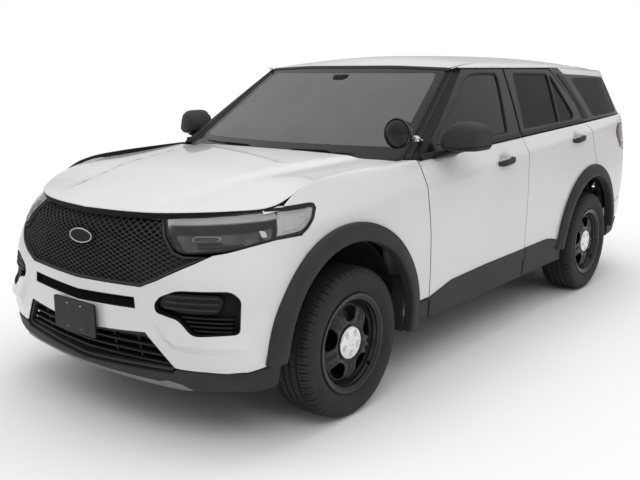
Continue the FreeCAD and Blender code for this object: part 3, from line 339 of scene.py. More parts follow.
def splineAt(knots, values, bends, at):
    at = np.asarray(at, float)
    i = np.clip(np.searchsorted(knots, at) - 1, 0, len(knots) - 2)
    gap = knots[i + 1] - knots[i]
    b = (at - knots[i]) / gap
    a = 1 - b
    shape = (slice(None),) + (None,) * (values.ndim - 1)
    return (a[shape] * values[i] + b[shape] * values[i + 1]
            + ((a ** 3 - a)[shape] * bends[i] + (b ** 3 - b)[shape] * bends[i + 1]) * (gap ** 2 / 6)[shape])


# which way a surface faces, from points a short step apart
def facing(at, uv, step):
    du = at(uv + (step, 0)) - at(uv - (step, 0))
    dv = at(uv + (0, step)) - at(uv - (0, step))
    out = np.cross(du, dv)
    return out / np.linalg.norm(out, axis=1)[:, None]


class Surface:
    nudge = 1e-4

    def normals(self, uv):
        return facing(self.at, np.asarray(uv, float).reshape(-1, 2), self.nudge)


# a skin over rows of points: u runs from the nose round the left side to the tail, v runs upwards
class Skin(Surface):
    def __init__(self, levels, columns, mirrorNose):
        self.mirrorNose = mirrorNose
        rows = [columns(level) for level in levels.values()]
        self.heights = np.array([level["height"] + level["slope"] * 1.5 for level in levels.values()])
        if "ledge" in levels:
            self.heights[-1] = self.heights[-2] + 0.04
        self.rounds = np.array([level["round"] for level in levels.values()])
        xy = np.array(rows)
        steps = np.linalg.norm(np.diff(xy, axis=1), axis=2).mean(axis=0)
        knots = np.concatenate([[0], np.cumsum(steps)])
        self.length = knots[-1]
        if mirrorNose:
            front = xy[:, 2:0:-1] * (-1, 1)
            xy = np.concatenate([front, xy], axis=1)
            knots = np.concatenate([-knots[2:0:-1], knots])
        back = xy[:, -2:-4:-1] * (-1, 1)
        xy = np.concatenate([xy, back], axis=1)
        total = self.length
        knots = np.concatenate([knots, 2 * total - knots[-2:-4:-1]])
        z = np.array([[level["height"] + level["slope"] * (p[1] - levelY) for p in row]
                      for level, row in zip(levels.values(), xy)])
        for row, level in zip(z, levels.values()):
            dips = level.get("dip")
            if dips:
                row[:6] -= dips[2], dips[1], *dips
        net = np.concatenate([xy, z[:, :, None]], axis=2).transpose(1, 0, 2)
        self.marks = knots
        fine = np.arange(knots[0], knots[-1], 0.01)
        flowing = easedLine(knots, net.reshape(len(knots), -1), fine)
        reach = np.arange(-18, 19)
        kernel = np.exp(-0.5 * (reach * 0.01 / cornerEase) ** 2)
        kernel /= kernel.sum()
        soft = np.column_stack([np.convolve(column, kernel, "valid") for column in flowing.T])
        self.knots = fine[18:-18][::5]
        self.net = soft[::5].reshape(len(self.knots), *net.shape[1:])
        self.bends = splineBends(self.knots, soft[::5]).reshape(self.net.shape)

    def at(self, uv):
        uv = np.asarray(uv, float).reshape(-1, 2)
        u, v = uv[:, 0], uv[:, 1]
        side = np.ones(len(u))
        if self.mirrorNose:
            side = np.where(u < 0, -1.0, side)
            u = np.abs(u)
        side = np.where(u > self.length, -side, side)
        u = np.where(u > self.length, 2 * self.length - u, u)
        rows = splineAt(self.knots, self.net, self.bends, u)
        h = self.heights
        slopes = np.diff(rows, axis=1) / np.diff(h)[None, :, None]
        i = np.clip(np.searchsorted(h, v) - 1, 0, len(h) - 2)
        pick = np.arange(len(u))
        point = rows[pick, i] + slopes[pick, i] * (v - h[i])[:, None]
        for k in range(1, len(h) - 1):
            w = self.rounds[k]
            near = np.clip(w - np.abs(v - h[k]), 0, None)
            point = point + (slopes[:, k] - slopes[:, k - 1]) * (near ** 2 / (4 * w))[:, None]
        point[:, 0] *= side
        return point


    # where the skin has the given pair of coordinates: view is the two axes that are given
    def find(self, view, pairs, region):
        pairs = np.asarray(pairs, float).reshape(-1, 2)
        axes = {"side": (1, 2), "front": (0, 2), "rear": (0, 2), "plan": (0, 1)}[view]
        flip = np.where(pairs[:, 0] < 0, -1.0, 1.0) if view in ("front", "rear") else np.ones(len(pairs))
        wanted = pairs.copy()
        if view in ("front", "rear"):
            wanted[:, 0] = np.abs(wanted[:, 0])
        us = np.linspace(region[0], region[1], 160)
        vs = np.linspace(self.heights[0] - 0.08, self.heights[-1] + 0.02, 60)
        grid = np.array([(u, v) for u in us for v in vs])
        spots = self.at(grid)[:, axes]
        best = np.array([np.argmin(((spots - w) ** 2).sum(axis=1)) for w in wanted])
        uv = grid[best].copy()
        for _ in range(12):
            here = self.at(uv)[:, axes]
            a = (self.at(uv + (1e-5, 0))[:, axes] - here) / 1e-5
            b = (self.at(uv + (0, 1e-5))[:, axes] - here) / 1e-5
            miss = wanted - here
            det = a[:, 0] * b[:, 1] - a[:, 1] * b[:, 0]
            det = np.where(np.abs(det) < 0.02, 0.02 * np.where(det < 0, -1, 1), det)
            step = np.stack([(miss[:, 0] * b[:, 1] - miss[:, 1] * b[:, 0]) / det,
                             (a[:, 0] * miss[:, 1] - a[:, 1] * miss[:, 0]) / det], axis=1)
            uv = uv + np.clip(step, -0.05, 0.05)
        if view == "front":
            uv[:, 0] *= flip
        elif view == "rear":
            uv[:, 0] = np.where(flip < 0, 2 * self.length - uv[:, 0], uv[:, 0])
        return uv


# the apron under the nose, from the lip of the skid plate up
apronLevels = {
    "lip": {"height": 0.262, "slope": 0.0, "round": 0.01, "sides": (0.900,) * 5,
            "nose": ((0.890, -2.140), (0.810, -2.260), (0.540, -2.370), -2.420), "tail": bodyLevels["sill"]["tail"]},
    "fold": {**bodyLevels["sill"], "height": 0.305, "round": 0.02},
    "top": {**bodyLevels["cladding"], "height": 0.436, "slope": 0.0},
}


def bodyColumns(level):
    n1, nm, n2, noseCentre = level["nose"]
    t1, tm, t2, tailCentre = level["tail"]
    side = [(x, y) for x, y in zip(level["sides"][::-1], stations[::-1])]
    return [(0, noseCentre), n2, nm, n1] + side + [t1, tm, t2, (0, tailCentre)]


def cabinColumns(level):
    t1, tm, t2, tailCentre = level["tail"]
    side = [(x, y) for x, y in zip(level["sides"][::-1], cabinStations[::-1])]
    return [level["pillar"]] + side + [t1, tm, t2, (0, tailCentre)]


body = Skin(bodyLevels, bodyColumns, True)
cabin = Skin(cabinLevels, cabinColumns, False)
apron = Skin(apronLevels, bodyColumns, True)
print("skins", round(body.length, 3), round(cabin.length, 3))


# a skin given by a height over the plan
class Crown(Surface):
    def __init__(self, rows, relief=None):
        table = np.array(rows)
        self.y = table[:, 0]
        self.values = table[:, 1:]
        self.bends = splineBends(self.y, self.values)
        self.relief = relief

    def height(self, xy):
        x, y = xy[:, 0], np.clip(xy[:, 1], self.y[0], self.y[-1])
        edgeX, edgeZ, centreZ = splineAt(self.y, self.values, self.bends, y).T
        z = centreZ - (centreZ - edgeZ) * (x / edgeX) ** 2
        return z + self.relief(x, y) if self.relief else z

    def at(self, xy):
        xy = np.asarray(xy, float).reshape(-1, 2)
        return np.column_stack([xy, self.height(xy)])


def smoothStep(t):
    t = np.clip(t, 0, 1)
    return t * t * (3 - 2 * t)


# even steps once round a circle
def roundTurn(count):
    return np.linspace(0, 2 * math.pi, count, endpoint=False)


# flat outlines
def rounded(points, radius, arcSteps=5):
    out = []
    count = len(points)
    radii = radius if hasattr(radius, "__len__") else [radius] * count
    for i in range(count):
        before, here, after = (np.array(points[k % count], float) for k in (i - 1, i, i + 1))
        a, b = before - here, after - here
        la, lb = np.linalg.norm(a[:2]), np.linalg.norm(b[:2])
        cut = min(radii[i], 0.45 * la, 0.45 * lb)
        if cut < 1e-5:
            out.append(tuple(here))
            continue
        start, end = here + a / la * cut, here + b / lb * cut
        for t in np.linspace(0, 1, arcSteps):
            out.append(tuple((1 - t) ** 2 * start + 2 * t * (1 - t) * here + t * t * end))
    return out


def inset(points, by):
    count = len(points)
    area = sum(points[i][0] * points[(i + 1) % count][1] - points[(i + 1) % count][0] * points[i][1]
               for i in range(count))
    turn = -1 if area > 0 else 1
    out = []
    for i in range(count):
        before, here, after = (np.array(points[k % count][:2], float) for k in (i - 1, i, i + 1))
        u, v = here - before, after - here
        lu, lv = np.linalg.norm(u), np.linalg.norm(v)
        normal = turn * np.array([u[1] / lu + v[1] / lv, -u[0] / lu - v[0] / lv])
        scale = 2 * by / max(normal @ normal, 0.25)
        if by > 0:
            scale = min(scale, 3 * abs(by))
        out.append(tuple(here + normal * scale) + tuple(points[i][2:]))
    return out


def dense(points, step=0.018, shut=True):
    out = []
    ends = points + points[:1] if shut else points
    for a, b in zip(ends, ends[1:]):
        a, b = np.array(a, float), np.array(b, float)
        count = max(1, int(math.ceil(np.linalg.norm((b - a)[:2]) / step)))
        out += [tuple(a + (b - a) * k / count) for k in range(count)]
    if not shut:
        out.append(tuple(float(v) for v in ends[-1]))
    return out


def arcPoints(centre, radius, start, end, count=24):
    return [(centre[0] + radius * math.cos(math.radians(start + (end - start) * k / count)),
             centre[1] + radius * math.sin(math.radians(start + (end - start) * k / count)))
            for k in range(count + 1)]


def bothSides(points):
    left = [tuple(p) for p in points]
    return left + [(-x, z) for x, z in reversed(left) if abs(x) > 1e-6]


def area2(loop):
    x, y = loop[:, 0], loop[:, 1]
    return 0.5 * (x * np.roll(y, -1) - np.roll(x, -1) * y).sum()


def insideLoops(points, loops):
    inside = np.zeros(len(points), bool)
    for loop in loops:
        x1, y1 = loop[:, 0], loop[:, 1]
        x2, y2 = np.roll(x1, -1), np.roll(y1, -1)
        px, py = points[:, 0][:, None], points[:, 1][:, None]
        crossing = (y1 > py) != (y2 > py)
        with np.errstate(divide="ignore", invalid="ignore"):
            at = (x2 - x1) * (py - y1) / (y2 - y1) + x1
        inside ^= (np.logical_and(crossing, px < at).sum(axis=1) % 2).astype(bool)
    return inside


def triangulate(loops, step, rows=()):
    low = np.min([loop.min(axis=0) for loop in loops], axis=0)
    high = np.max([loop.max(axis=0) for loop in loops], axis=0)
    us = np.arange(low[0] + step / 2, high[0], step)
    vs = sorted(set(list(np.arange(low[1] + step / 2, high[1], step)) + [r for r in rows if low[1] < r < high[1]]))
    kept = [vs[0]] if len(vs) else []
    for v in vs[1:]:
        if v - kept[-1] > min(0.35 * step, 0.006):
            kept.append(v)
    grid = np.array([(u, v) for u in us for v in kept]).reshape(-1, 2)
    edge = np.concatenate(loops)
    if len(grid):
        grid = grid[insideLoops(grid, loops)]
    if len(grid):
        near = np.array([np.sqrt(((edge - g) ** 2).sum(axis=1).min()) for g in grid])
        grid = grid[near > 0.4 * step]
    spots = np.concatenate([edge, grid]) if len(grid) else edge
    edges, start = [], 0
    for loop in loops:
        n = len(loop)
        edges += [(start + i, start + (i + 1) % n) for i in range(n)]
        start += n
    found = delaunay_2d_cdt([Vector(p) for p in spots], edges, [], 0, 1e-7)
    flat = np.array([tuple(v) for v in found[0]])
    origin = found[3]
    faces = np.array([f for f in found[2] if len(f) == 3])
    middle = flat[faces].mean(axis=1)
    faces = faces[insideLoops(middle, loops)]
    a, b, c = flat[faces[:, 0]], flat[faces[:, 1]], flat[faces[:, 2]]
    turn = (b[:, 0] - a[:, 0]) * (c[:, 1] - a[:, 1]) - (b[:, 1] - a[:, 1]) * (c[:, 0] - a[:, 0])
    faces = np.where(turn[:, None] > 0, faces, faces[:, ::-1])
    place = {}
    for index, sources in enumerate(origin):
        for source in sources:
            place[source] = index
    return flat, faces, place


# mesh under construction: points, faces and a normal for each face corner
class Build:
    def __init__(self):
        self.points = []
        self.faces = []
        self.normals = []
        self.slots = []

    def add(self, points):
        start = len(self.points)
        self.points += [tuple(p) for p in points]
        return start

    def face(self, corners, normals=None, slot=0):
        self.faces.append(tuple(int(c) for c in corners))
        self.normals.append(normals)
        self.slots.append(slot)

    # a strip of quads between two rings of the same length
    def strip(self, lower, upper, lowNormals=None, highNormals=None, shut=True, slot=0):
        n = len(lower)
        for i in range(n if shut else n - 1):
            j = (i + 1) % n
            normals = None
            if lowNormals is not None:
                normals = (lowNormals[i], lowNormals[j], highNormals[j], highNormals[i])
            self.face((lower[i], lower[j], upper[j], upper[i]), normals, slot)

    # rings joined one to the next, with a face over each end
    def tube(self, rings):
        for a, b in zip(rings, rings[1:]):
            self.strip(a, b)
        self.face(list(rings[0][::-1]))
        self.face(list(rings[-1]))

    # the piece on both sides: {} in its names takes left or right
    def pair(self, name, material, bodyName, slotName):
        return [self.make(name.format(side), material, bodyName.format(side), slotName, side == "right")
                for side in ("left", "right")]

    def make(self, name, material, bodyName, slotName=None, mirror=False):
        points = np.array(self.points, float)
        faces = self.faces
        normals = self.normals
        if mirror:
            points = points * (-1, 1, 1)
            faces = [f[::-1] for f in faces]
            normals = [None if n is None else [tuple(np.array(v) * (-1, 1, 1)) for v in n[::-1]] for n in normals]
        mesh = bpy.data.meshes.new(name)
        mesh.from_pydata([tuple(p) for p in points], [], faces)
        # painted panels get a second slot, the painted shade on the walls of their gaps
        materials = ["paint", "shade"] if material == "paint" else [material]
        for entry in materials:
            mesh.materials.append(finishes[entry].material)
        mesh.polygons.foreach_set("use_smooth", [True] * len(mesh.polygons))
        mesh.polygons.foreach_set("material_index", [min(slot, len(materials) - 1) for slot in self.slots])
        mesh.update()
        if any(n is not None for n in normals):
            flat = []
            for polygon, given in zip(mesh.polygons, normals):
                if given is None:
                    flat += [tuple(polygon.normal)] * polygon.loop_total
                else:
                    flat += [tuple(v) for v in given]
            mesh.normals_split_custom_set(flat)
        piece = bpy.data.objects.new(name, mesh)
        scene.collection.objects.link(piece)
        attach(piece, bodyName)
        return piece


# a closed panel that follows a skin: smooth face, rolled edge, wall and back face
gapShadeDepth = 0.034  # the wall of a painted panel takes the near-black gap finish this deep: painted shade, so that the gaps read dark


def panel(skin, loops, depth, hem=0.003, step=0.035, rows=(), leans=None, lift=0.0, relief=None, backStep=0.09):
    build = Build()
    loops = [np.asarray(loop, float)[:, :2] for loop in loops]
    for i, loop in enumerate(loops):
        if (area2(loop) > 0) != (i == 0):
            loops[i] = loop[::-1]
            if leans is not None:
                leans[i] = leans[i][::-1]
    flat, faces, place = triangulate(loops, step, rows)
    points, normals = skin.at(flat), skin.normals(flat)
    points = points + normals * lift
    if relief is not None:
        points, normals = relief(skin, flat)
    start = build.add(points)
    offset = 0
    ringEnds = []
    for number, loop in enumerate(loops):
        n = len(loop)
        ids = np.array([place[offset + i] for i in range(n)])
        offset += n
        here, up = points[ids], normals[ids]
        tangent = np.roll(here, -1, axis=0) - np.roll(here, 1, axis=0)
        out = np.cross(tangent, up)
        out /= np.linalg.norm(out, axis=1)[:, None]
        for k, i in enumerate(ids):
            build.points[start + i] = tuple(here[k] - out[k] * hem)
        rings, ringNormals = [start + ids], [up]
        for angle in (35, 65, 90):
            s, c = math.sin(math.radians(angle)), math.cos(math.radians(angle))
            at = build.add(here - out * hem * (1 - s) - up * hem * (1 - c))
            rings.append(np.arange(at, at + n))
            ringNormals.append(up * c + out * s)
        lean = np.zeros(n) if leans is None else np.asarray(leans[number], float)
        for deep in sorted({min(gapShadeDepth, depth), depth}):
            backUv = loop + np.column_stack([-lean * deep, np.zeros(n)])
            back = skin.at(backUv) + skin.normals(backUv) * (lift - deep)
            at = build.add(back)
            rings.append(np.arange(at, at + n))
            ringNormals.append(out)
        # the last arc of the hem and the wall down to the shade depth take slot 1: the painted gap shade
        for a in range(len(rings) - 1):
            build.strip(rings[a][::-1], rings[a + 1][::-1], ringNormals[a][::-1], ringNormals[a + 1][::-1],
                        slot=1 if a in (2, 3) else 0)
        ringEnds.append((rings[-1], backUv))
    for f in faces:
        build.face(start + f, [tuple(normals[i]) for i in f])
    backLoops = [uv for _, uv in ringEnds]
    flat, faces, place = triangulate(backLoops, backStep)
    back, backNormals = skin.at(flat), -skin.normals(flat)
    back = back - backNormals * (lift - depth)
    at = build.add(back)
    remap = {i: at + i for i in range(len(back))}
    offset = 0
    for ids, uv in ringEnds:
        for k in range(len(uv)):
            remap[place[offset + k]] = ids[k]
        offset += len(uv)
    for f in faces[:, ::-1]:
        build.face([remap[i] for i in f], [tuple(backNormals[i]) for i in f])
    return build


def creaseRows(skin):
    rows = []
    for h, w in zip(skin.heights[1:-1], skin.rounds[1:-1]):
        rows += [h + w * t for t in (-1, -0.6, -0.3, 0, 0.3, 0.6, 1)]
    return rows


bodyRows = creaseRows(body)
cornerAt = body.marks[5]  # where the nose corner starts along the skin
sideRegion = (cornerAt - 0.35, body.length - 0.35)
frontRegion = (0.0, cornerAt + 0.35)
rearRegion = (body.length - 1.6, body.length)

bodyTop = body.heights[5]  # the belt, along v
regions = {"side": sideRegion, "front": frontRegion, "rear": rearRegion, "plan": (0.9, 2.6), "nose": (0.5, 1.7)}


def thinned(loop, least):
    kept = [loop[0]]
    for p in loop[1:]:
        if np.linalg.norm(p - kept[-1]) > least:
            kept.append(p)
    if np.linalg.norm(kept[0] - kept[-1]) < least:
        kept.pop()
    return np.array(kept)


# an outline on the body, from stretches that are given as seen from one side each
def trace(*stretches, skin=None, step=0.016):
    skin = skin or body
    loop = []
    for view, points in stretches:
        if view == "uv":
            loop += [np.array(p) for p in points]
            continue
        region = regions[view]
        kind = "side" if view == "nose" else view
        loop += list(skin.find(kind, dense(list(points), step, False), region))
    return thinned(loop, 0.003)


def joined(half, atNose=True, skin=None):
    skin = skin or body
    if atNose:
        other = half[::-1] * (-1, 1)
    else:
        other = (2 * skin.length - half[::-1, 0])[:, None] * (1, 0) + half[::-1] * (0, 1)
    loop = np.concatenate([half, other])
    return thinned(loop, 0.002)


# a loop across the middle of the tail, from its left half
def rearLoop(points, step=0.016):
    return joined(trace(("rear", points), step=step), False)


def mirrorLoop(loop):
    return (loop * (-1, 1))[::-1]


# outlines: from the left as (y, z), from the front or behind as (x, z), from above as (x, y)
wheelZ = 0.374
axles = {"front": -1.640, "rear": 1.385}
archRadius = 0.505
gap = 0.0045
handles = {"front": {"y": -0.082, "z": 1.124}, "rear": {"y": 1.062, "z": 1.184}}
doorEdges = {
    "frontOfFront": ((-1.006, 1.204), (-0.975, 1.053), (-0.945, 0.800), (-0.932, 0.448), (-0.925, 0.326)),
    "middle": ((0.242, 1.245), (0.246, 1.144), (0.251, 0.652), (0.257, 0.519), (0.258, 0.326)),
    "backOfRear": ((1.480, 0.880), (1.467, 0.960), (1.372, 1.156), (1.318, 1.280)),
}
fogShape = [(0.495, 0.678), (0.520, 0.712), (0.602, 0.748), (0.812, 0.752), (0.848, 0.716), (0.856, 0.572),
            (0.682, 0.556), (0.612, 0.620), (0.505, 0.645)]
fogRounds = [0.02, 0.02, 0.03, 0.03, 0.02, 0.02, 0.03, 0.02, 0.02]
slotShape = [(0.0, 0.674), (0.378, 0.692), (0.384, 0.642), (0.0, 0.624)]
intakeTop = [(0.0, 0.500), (0.438, 0.540), (0.572, 0.392)]
grilleLow = [(0.0, 0.728), (0.412, 0.742), (0.500, 0.780), (0.655, 0.862), (0.706, 0.8925)]
lampLow = [(0.600, 0.8975), (0.760, 0.9085), (0.885, 0.9515)]
lampTail = [(-1.968, 0.962), (-1.935, 0.978), (-1.880, 1.020), (-1.846, 1.062), (-1.850, 1.082), (-1.872, 1.086)]


def beltHeight(y):
    return 1.200 + 0.0345 * (y - levelY)


def circle(axle, first, last, radius=archRadius, count=34):
    return arcPoints((axles[axle], wheelZ), radius, first, last, count)


def angleAt(axle, z=None, y=None, side=1):
    if z is not None:
        rise = z - wheelZ
        run = side * math.sqrt(archRadius ** 2 - rise ** 2)
    else:
        run = y - axles[axle]
        rise = math.sqrt(archRadius ** 2 - run ** 2)
    return math.degrees(math.atan2(rise, run))


def shifted(points, dy=0.0, dz=0.0):
    return [(y + dy, z + dz) for y, z in points]


# the handle's hollow, pressed into the door skin
cup = {"length": 0.080, "height": 0.052, "depth": 0.018}


def handleCup(key):
    spot = handles[key]

    def press(skin, uv):
        def drop(uvs):
            at = skin.at(uvs)
            r = np.sqrt(((at[:, 1] - spot["y"] + 0.005) / cup["length"]) ** 2
                        + ((at[:, 2] - spot["z"] - 0.004) / cup["height"]) ** 2)
            return at - skin.normals(uvs) * (cup["depth"] * (1 - smoothStep((r - 0.2) / 0.8)))[:, None]
        return drop(uv), facing(drop, uv, 1e-3)
    return press


# doors from the belt down: the middle edges lean, so that they clear as they swing
def doorSkins():
    half = gap / 2
    front = trace(("side", shifted(doorEdges["frontOfFront"], half, 0)),
                  ("side", shifted(doorEdges["middle"][::-1], -half, 0)),
                  ("side", [(0.238, beltHeight(0.24) - 0.003), (-1.004, beltHeight(-1.004) - 0.003)]))
    arch = circle("rear", angleAt("rear", z=0.430, side=-1), angleAt("rear", y=1.478))
    rear = trace(("side", shifted(doorEdges["middle"], half, 0)), ("side", [(0.300, 0.326), (0.883, 0.326)]),
                 ("side", arch), ("side", shifted(doorEdges["backOfRear"], -half, 0)),
                 ("side", [(1.312, beltHeight(1.312) - 0.003), (0.246, beltHeight(0.246) - 0.003)]))
    for key, loop in (("front", front), ("rear", rear)):
        spots = body.at(loop)
        leans = np.where((spots[:, 1] > 0.2) & (spots[:, 1] < 0.27), 0.12, 0.0)
        leans = np.where((spots[:, 1] > 1.30) & (spots[:, 2] > 0.84), 0.17, leans)
        spot = handles[key]
        v = body.find("side", [(spot["y"], spot["z"])], sideRegion)[0][1]
        fine = [v + t for t in np.linspace(-0.06, 0.06, 11)]
        skin = panel(body, [loop], 0.105, rows=bodyRows + fine, leans=[leans], relief=handleCup(key), step=0.014)
        for side in ("left", "right"):
            piece = skin.make(f"door_{key}_{side}_skin", "paint", f"{key}_{side}_door", "body_paint", side == "right")
            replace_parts(piece, f"door_{key}_{side}")


hoodEdge = [(0.800, -2.092), (0.834, -2.030), (0.850, -1.681), (0.862, -1.300), (0.862, -1.085)]


def fenderSkins():
    arch = circle("front", angleAt("front", y=-1.9565), angleAt("front", z=0.448))
    edge = [(x + gap + 0.0025, y) for x, y in hoodEdge]
    loop = trace(("side", shifted(doorEdges["frontOfFront"][:4], -gap / 2 - 0.002, 0)),
                 ("side", [(-0.938, 0.448), (-1.140, 0.448)]), ("nose", arch[::-1]), ("nose", lampTail),
                 ("nose", [(-1.900, 1.087), (-2.085, 1.079)]), ("plan", edge))
    skin = panel(body, [loop], 0.026, rows=bodyRows, step=0.03)
    for side in ("left", "right"):
        piece = skin.make(f"fender_{side}_skin", "paint", "body", "body_paint", side == "right")
        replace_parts(piece, f"fender_{side}")


# a facet round the fog opening: the skin stands out along this line and falls back below it
facetLine = np.array([(0.430, 0.668), (0.471, 0.632), (0.601, 0.516), (0.885, 0.509), (0.960, 0.497)])
facet = {"rise": 0.016, "above": 0.075, "below": 0.034}


def facetRelief(skin, uv):
    def lifted(uvs):
        at = skin.at(uvs)
        a, b = facetLine[:-1], facetLine[1:]
        spots = np.column_stack([np.abs(at[:, 0]), at[:, 2]])
        run = b - a
        t = np.clip(((spots[:, None] - a) * run).sum(axis=2) / (run ** 2).sum(axis=1), 0, 1)
        off = spots[:, None] - a - t[:, :, None] * run
        away = np.linalg.norm(off, axis=2)
        k = away.argmin(axis=1)
        rows = np.arange(len(spots))
        side = run[k, 0] * off[rows, k, 1] - run[k, 1] * off[rows, k, 0]
        d = away[rows, k]
        share = np.where(side > 0, 1 - d / facet["above"], 1 - d / facet["below"])
        soft = np.clip(share, 0, 1)
        ends = smoothStep((spots[:, 0] - 0.44) / 0.10) * (1 - smoothStep((spots[:, 0] - 0.86) / 0.07))
        return at + skin.normals(uvs) * (facet["rise"] * soft * ends)[:, None]
    return lifted(uv), facing(lifted, uv, 2e-3)


def bumperSkin():
    arch = circle("front", angleAt("front", z=0.430, side=-1), angleAt("front", y=-1.9615))
    half = trace(("front", intakeTop), ("front", [(0.60, 0.389), (0.700, 0.392)]),
                 ("nose", [(-2.290, 0.400), (-2.200, 0.424), (-2.145, 0.430)]), ("nose", arch),
                 ("nose", [(-1.9615, 0.957)]), ("front", lampLow[::-1][:1] + [(0.760, 0.9070), (0.710, 0.8965)]),
                 ("front", grilleLow[::-1]))
    fogLoop = trace(("front", rounded(fogShape, fogRounds)), step=0.012)
    slot = joined(trace(("front", slotShape), step=0.014))
    skin = panel(body, [joined(half), fogLoop, mirrorLoop(fogLoop), slot], 0.032, rows=bodyRows, step=0.018,
                 hem=0.004,
                 relief=facetRelief)
    piece = skin.make("front_bumper_skin", "paint", "body", "body_paint")
    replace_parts(piece, "front_bumper")


def quarterSkins():
    arch = circle("rear", angleAt("rear", y=1.4835), angleAt("rear", z=0.566))
    tailEdge = [(0.675, 0.640), (0.672, 0.720), (0.694, 0.980), (0.694, 1.265)]
    top = body.find("rear", [(0.694, 1.262)], rearRegion)[0][0]
    ends = body.find("side", [(1.324, 1.278)], sideRegion)[0][0]
    belt = [(u, bodyTop) for u in np.linspace(top, ends, 60)]
    loop = trace(("side", shifted(doorEdges["backOfRear"][::-1], gap / 2 + 0.002, 0)), ("side", arch),
                 ("side", [(1.853, 0.566), (2.200, 0.640)]), ("rear", [(0.840, 0.640), (0.676, 0.640)]),
                 ("rear", tailEdge[1:]), ("uv", belt))
    lamp = tailLampLoop(0.0035)
    skin = panel(body, [loop, lamp], 0.030, rows=bodyRows, step=0.03)
    for side in ("left", "right"):
        skin.make(f"quarter_{side}_skin", "paint", "body", "body_paint", side == "right")


def tailLampLoop(clear):
    sidePart = [(2.100, 1.050 - clear), (1.990, 1.100 - clear), (1.925 - clear, 1.180), (1.965, 1.236 + clear)]
    top = body.find("rear", [(0.700 - clear, 1.226 + clear)], rearRegion)[0]
    low = body.find("rear", [(0.700 - clear, 1.000 - clear)], rearRegion)[0]
    side = [tuple(body.find("side", [p], sideRegion)[0]) for p in sidePart]
    d = tuple(body.find("side", [(2.290, 0.994 - clear)], rearRegion)[0])
    corners = [tuple(low), tuple(top)] + side[::-1] + [d]
    return np.array(dense(rounded(corners, [0.004, 0.004, 0.03, 0.03, 0.06, 0.06, 0.08]), 0.014))


def bonnetRelief(x, y):
    back = np.clip((y + 2.30) / 1.15, 0, 1)
    line = 0.335 + 0.235 * back
    rise = 1 - smoothStep((np.abs(x) - line) / (0.030 + 0.05 * back))
    valley = np.exp(-((np.abs(x) - line - 0.085) / 0.07) ** 2)
    reach = smoothStep((y + 2.38) / 0.34) * (1 - 0.35 * smoothStep((y + 1.35) / 0.3))
    return (0.011 * rise - 0.004 * valley) * reach


hoodCrown = Crown([(-2.460, 0.870, 0.986, 1.050), (-2.300, 0.870, 1.030, 1.092), (-2.092, 0.870, 1.072, 1.130),
                   (-1.900, 0.870, 1.136, 1.162), (-1.681, 0.870, 1.160, 1.188), (-1.060, 0.870, 1.200, 1.238)],
                  bonnetRelief)
roofCrown = Crown([(-0.400, 0.745, 1.664, 1.692), (-0.150, 0.745, 1.694, 1.740), (0.250, 0.745, 1.700, 1.762),
                   (0.900, 0.748, 1.696, 1.765), (1.500, 0.755, 1.672, 1.757), (2.060, 0.764, 1.628, 1.728),
                   (2.340, 0.764, 1.590, 1.700)])
hoodPlan = [(0.0, -2.440), (0.220, -2.422), (0.428, -2.371), (0.610, -2.270), (0.800, -2.092), (0.834, -2.030),
            (0.850, -1.681), (0.862, -1.300), (0.862, -1.085), (0.600, -1.165), (0.300, -1.215), (0.0, -1.232)]
roofPlan = [(0.0, -0.392), (0.350, -0.378), (0.684, -0.330), (0.684, 2.150), (0.0, 2.150)]


def hoodSkin():
    turns = [0.3, 0.3, 0.25, 0.25, 0.06, 0.05, 0.3, 0.3, 0.012, 0.2, 0.3, 0.3]
    half = rounded(hoodPlan, [0] + turns[1:-1] + [0])
    loop = np.array(dense(bothSides(half), 0.02))
    skin = panel(hoodCrown, [loop], 0.034, hem=0.007, step=0.03)
    piece = skin.make("hood_skin", "paint", "hood", "body_paint")
    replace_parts(piece, "hood")


def roofSkin():
    half = rounded(roofPlan, [0, 0, 0.05, 0.04, 0])
    loop = np.array(dense(bothSides(half), 0.03))
    skin = panel(roofCrown, [loop], 0.030, hem=0.005, step=0.05, lift=-0.0004)
    piece = skin.make("roof_skin", "paint", "body", "body_paint")
    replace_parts(piece, "roof")


def tailgateSkin():
    half = trace(("rear", [(0.0, 0.648), (0.600, 0.648), (0.660, 0.722), (0.686, 0.980), (0.686, 1.262)]),
                 step=0.02)
    top = half[-1][0]
    belt = np.array([(u, bodyTop) for u in np.linspace(top, body.length, 24)])
    loop = joined(np.concatenate([half, belt])[::-1], False)
    skin = panel(body, [loop], 0.060, rows=bodyRows, step=0.03)
    skin.make("tailgate_skin", "paint", "tailgate", "body_paint")


def rearBumperSkin():
    arch = circle("rear", angleAt("rear", z=0.450), angleAt("rear", z=0.560))
    half = trace(("rear", [(0.0, 0.452), (0.600, 0.452), (0.800, 0.452)]), ("side", [(2.2, 0.452), (1.884, 0.452)]),
                 ("side", arch), ("side", [(1.855, 0.560), (2.200, 0.634)]),
                 ("rear", [(0.840, 0.634), (0.0, 0.634)]))
    skin = panel(body, [joined(half, False)], 0.045, rows=bodyRows, step=0.035)
    skin.make("rear_bumper_skin", "paint", "body", "body_paint")


doorSkins()
fenderSkins()
bumperSkin()
quarterSkins()
hoodSkin()
roofSkin()
tailgateSkin()
rearBumperSkin()
print("painted panels")


# greenhouse: gloss black frames, glass set back behind them, and the painted rail over the doors
def onCabin(points, step=0.02):
    return cabin.find("side", dense(points, step), (-0.05, cabin.length))


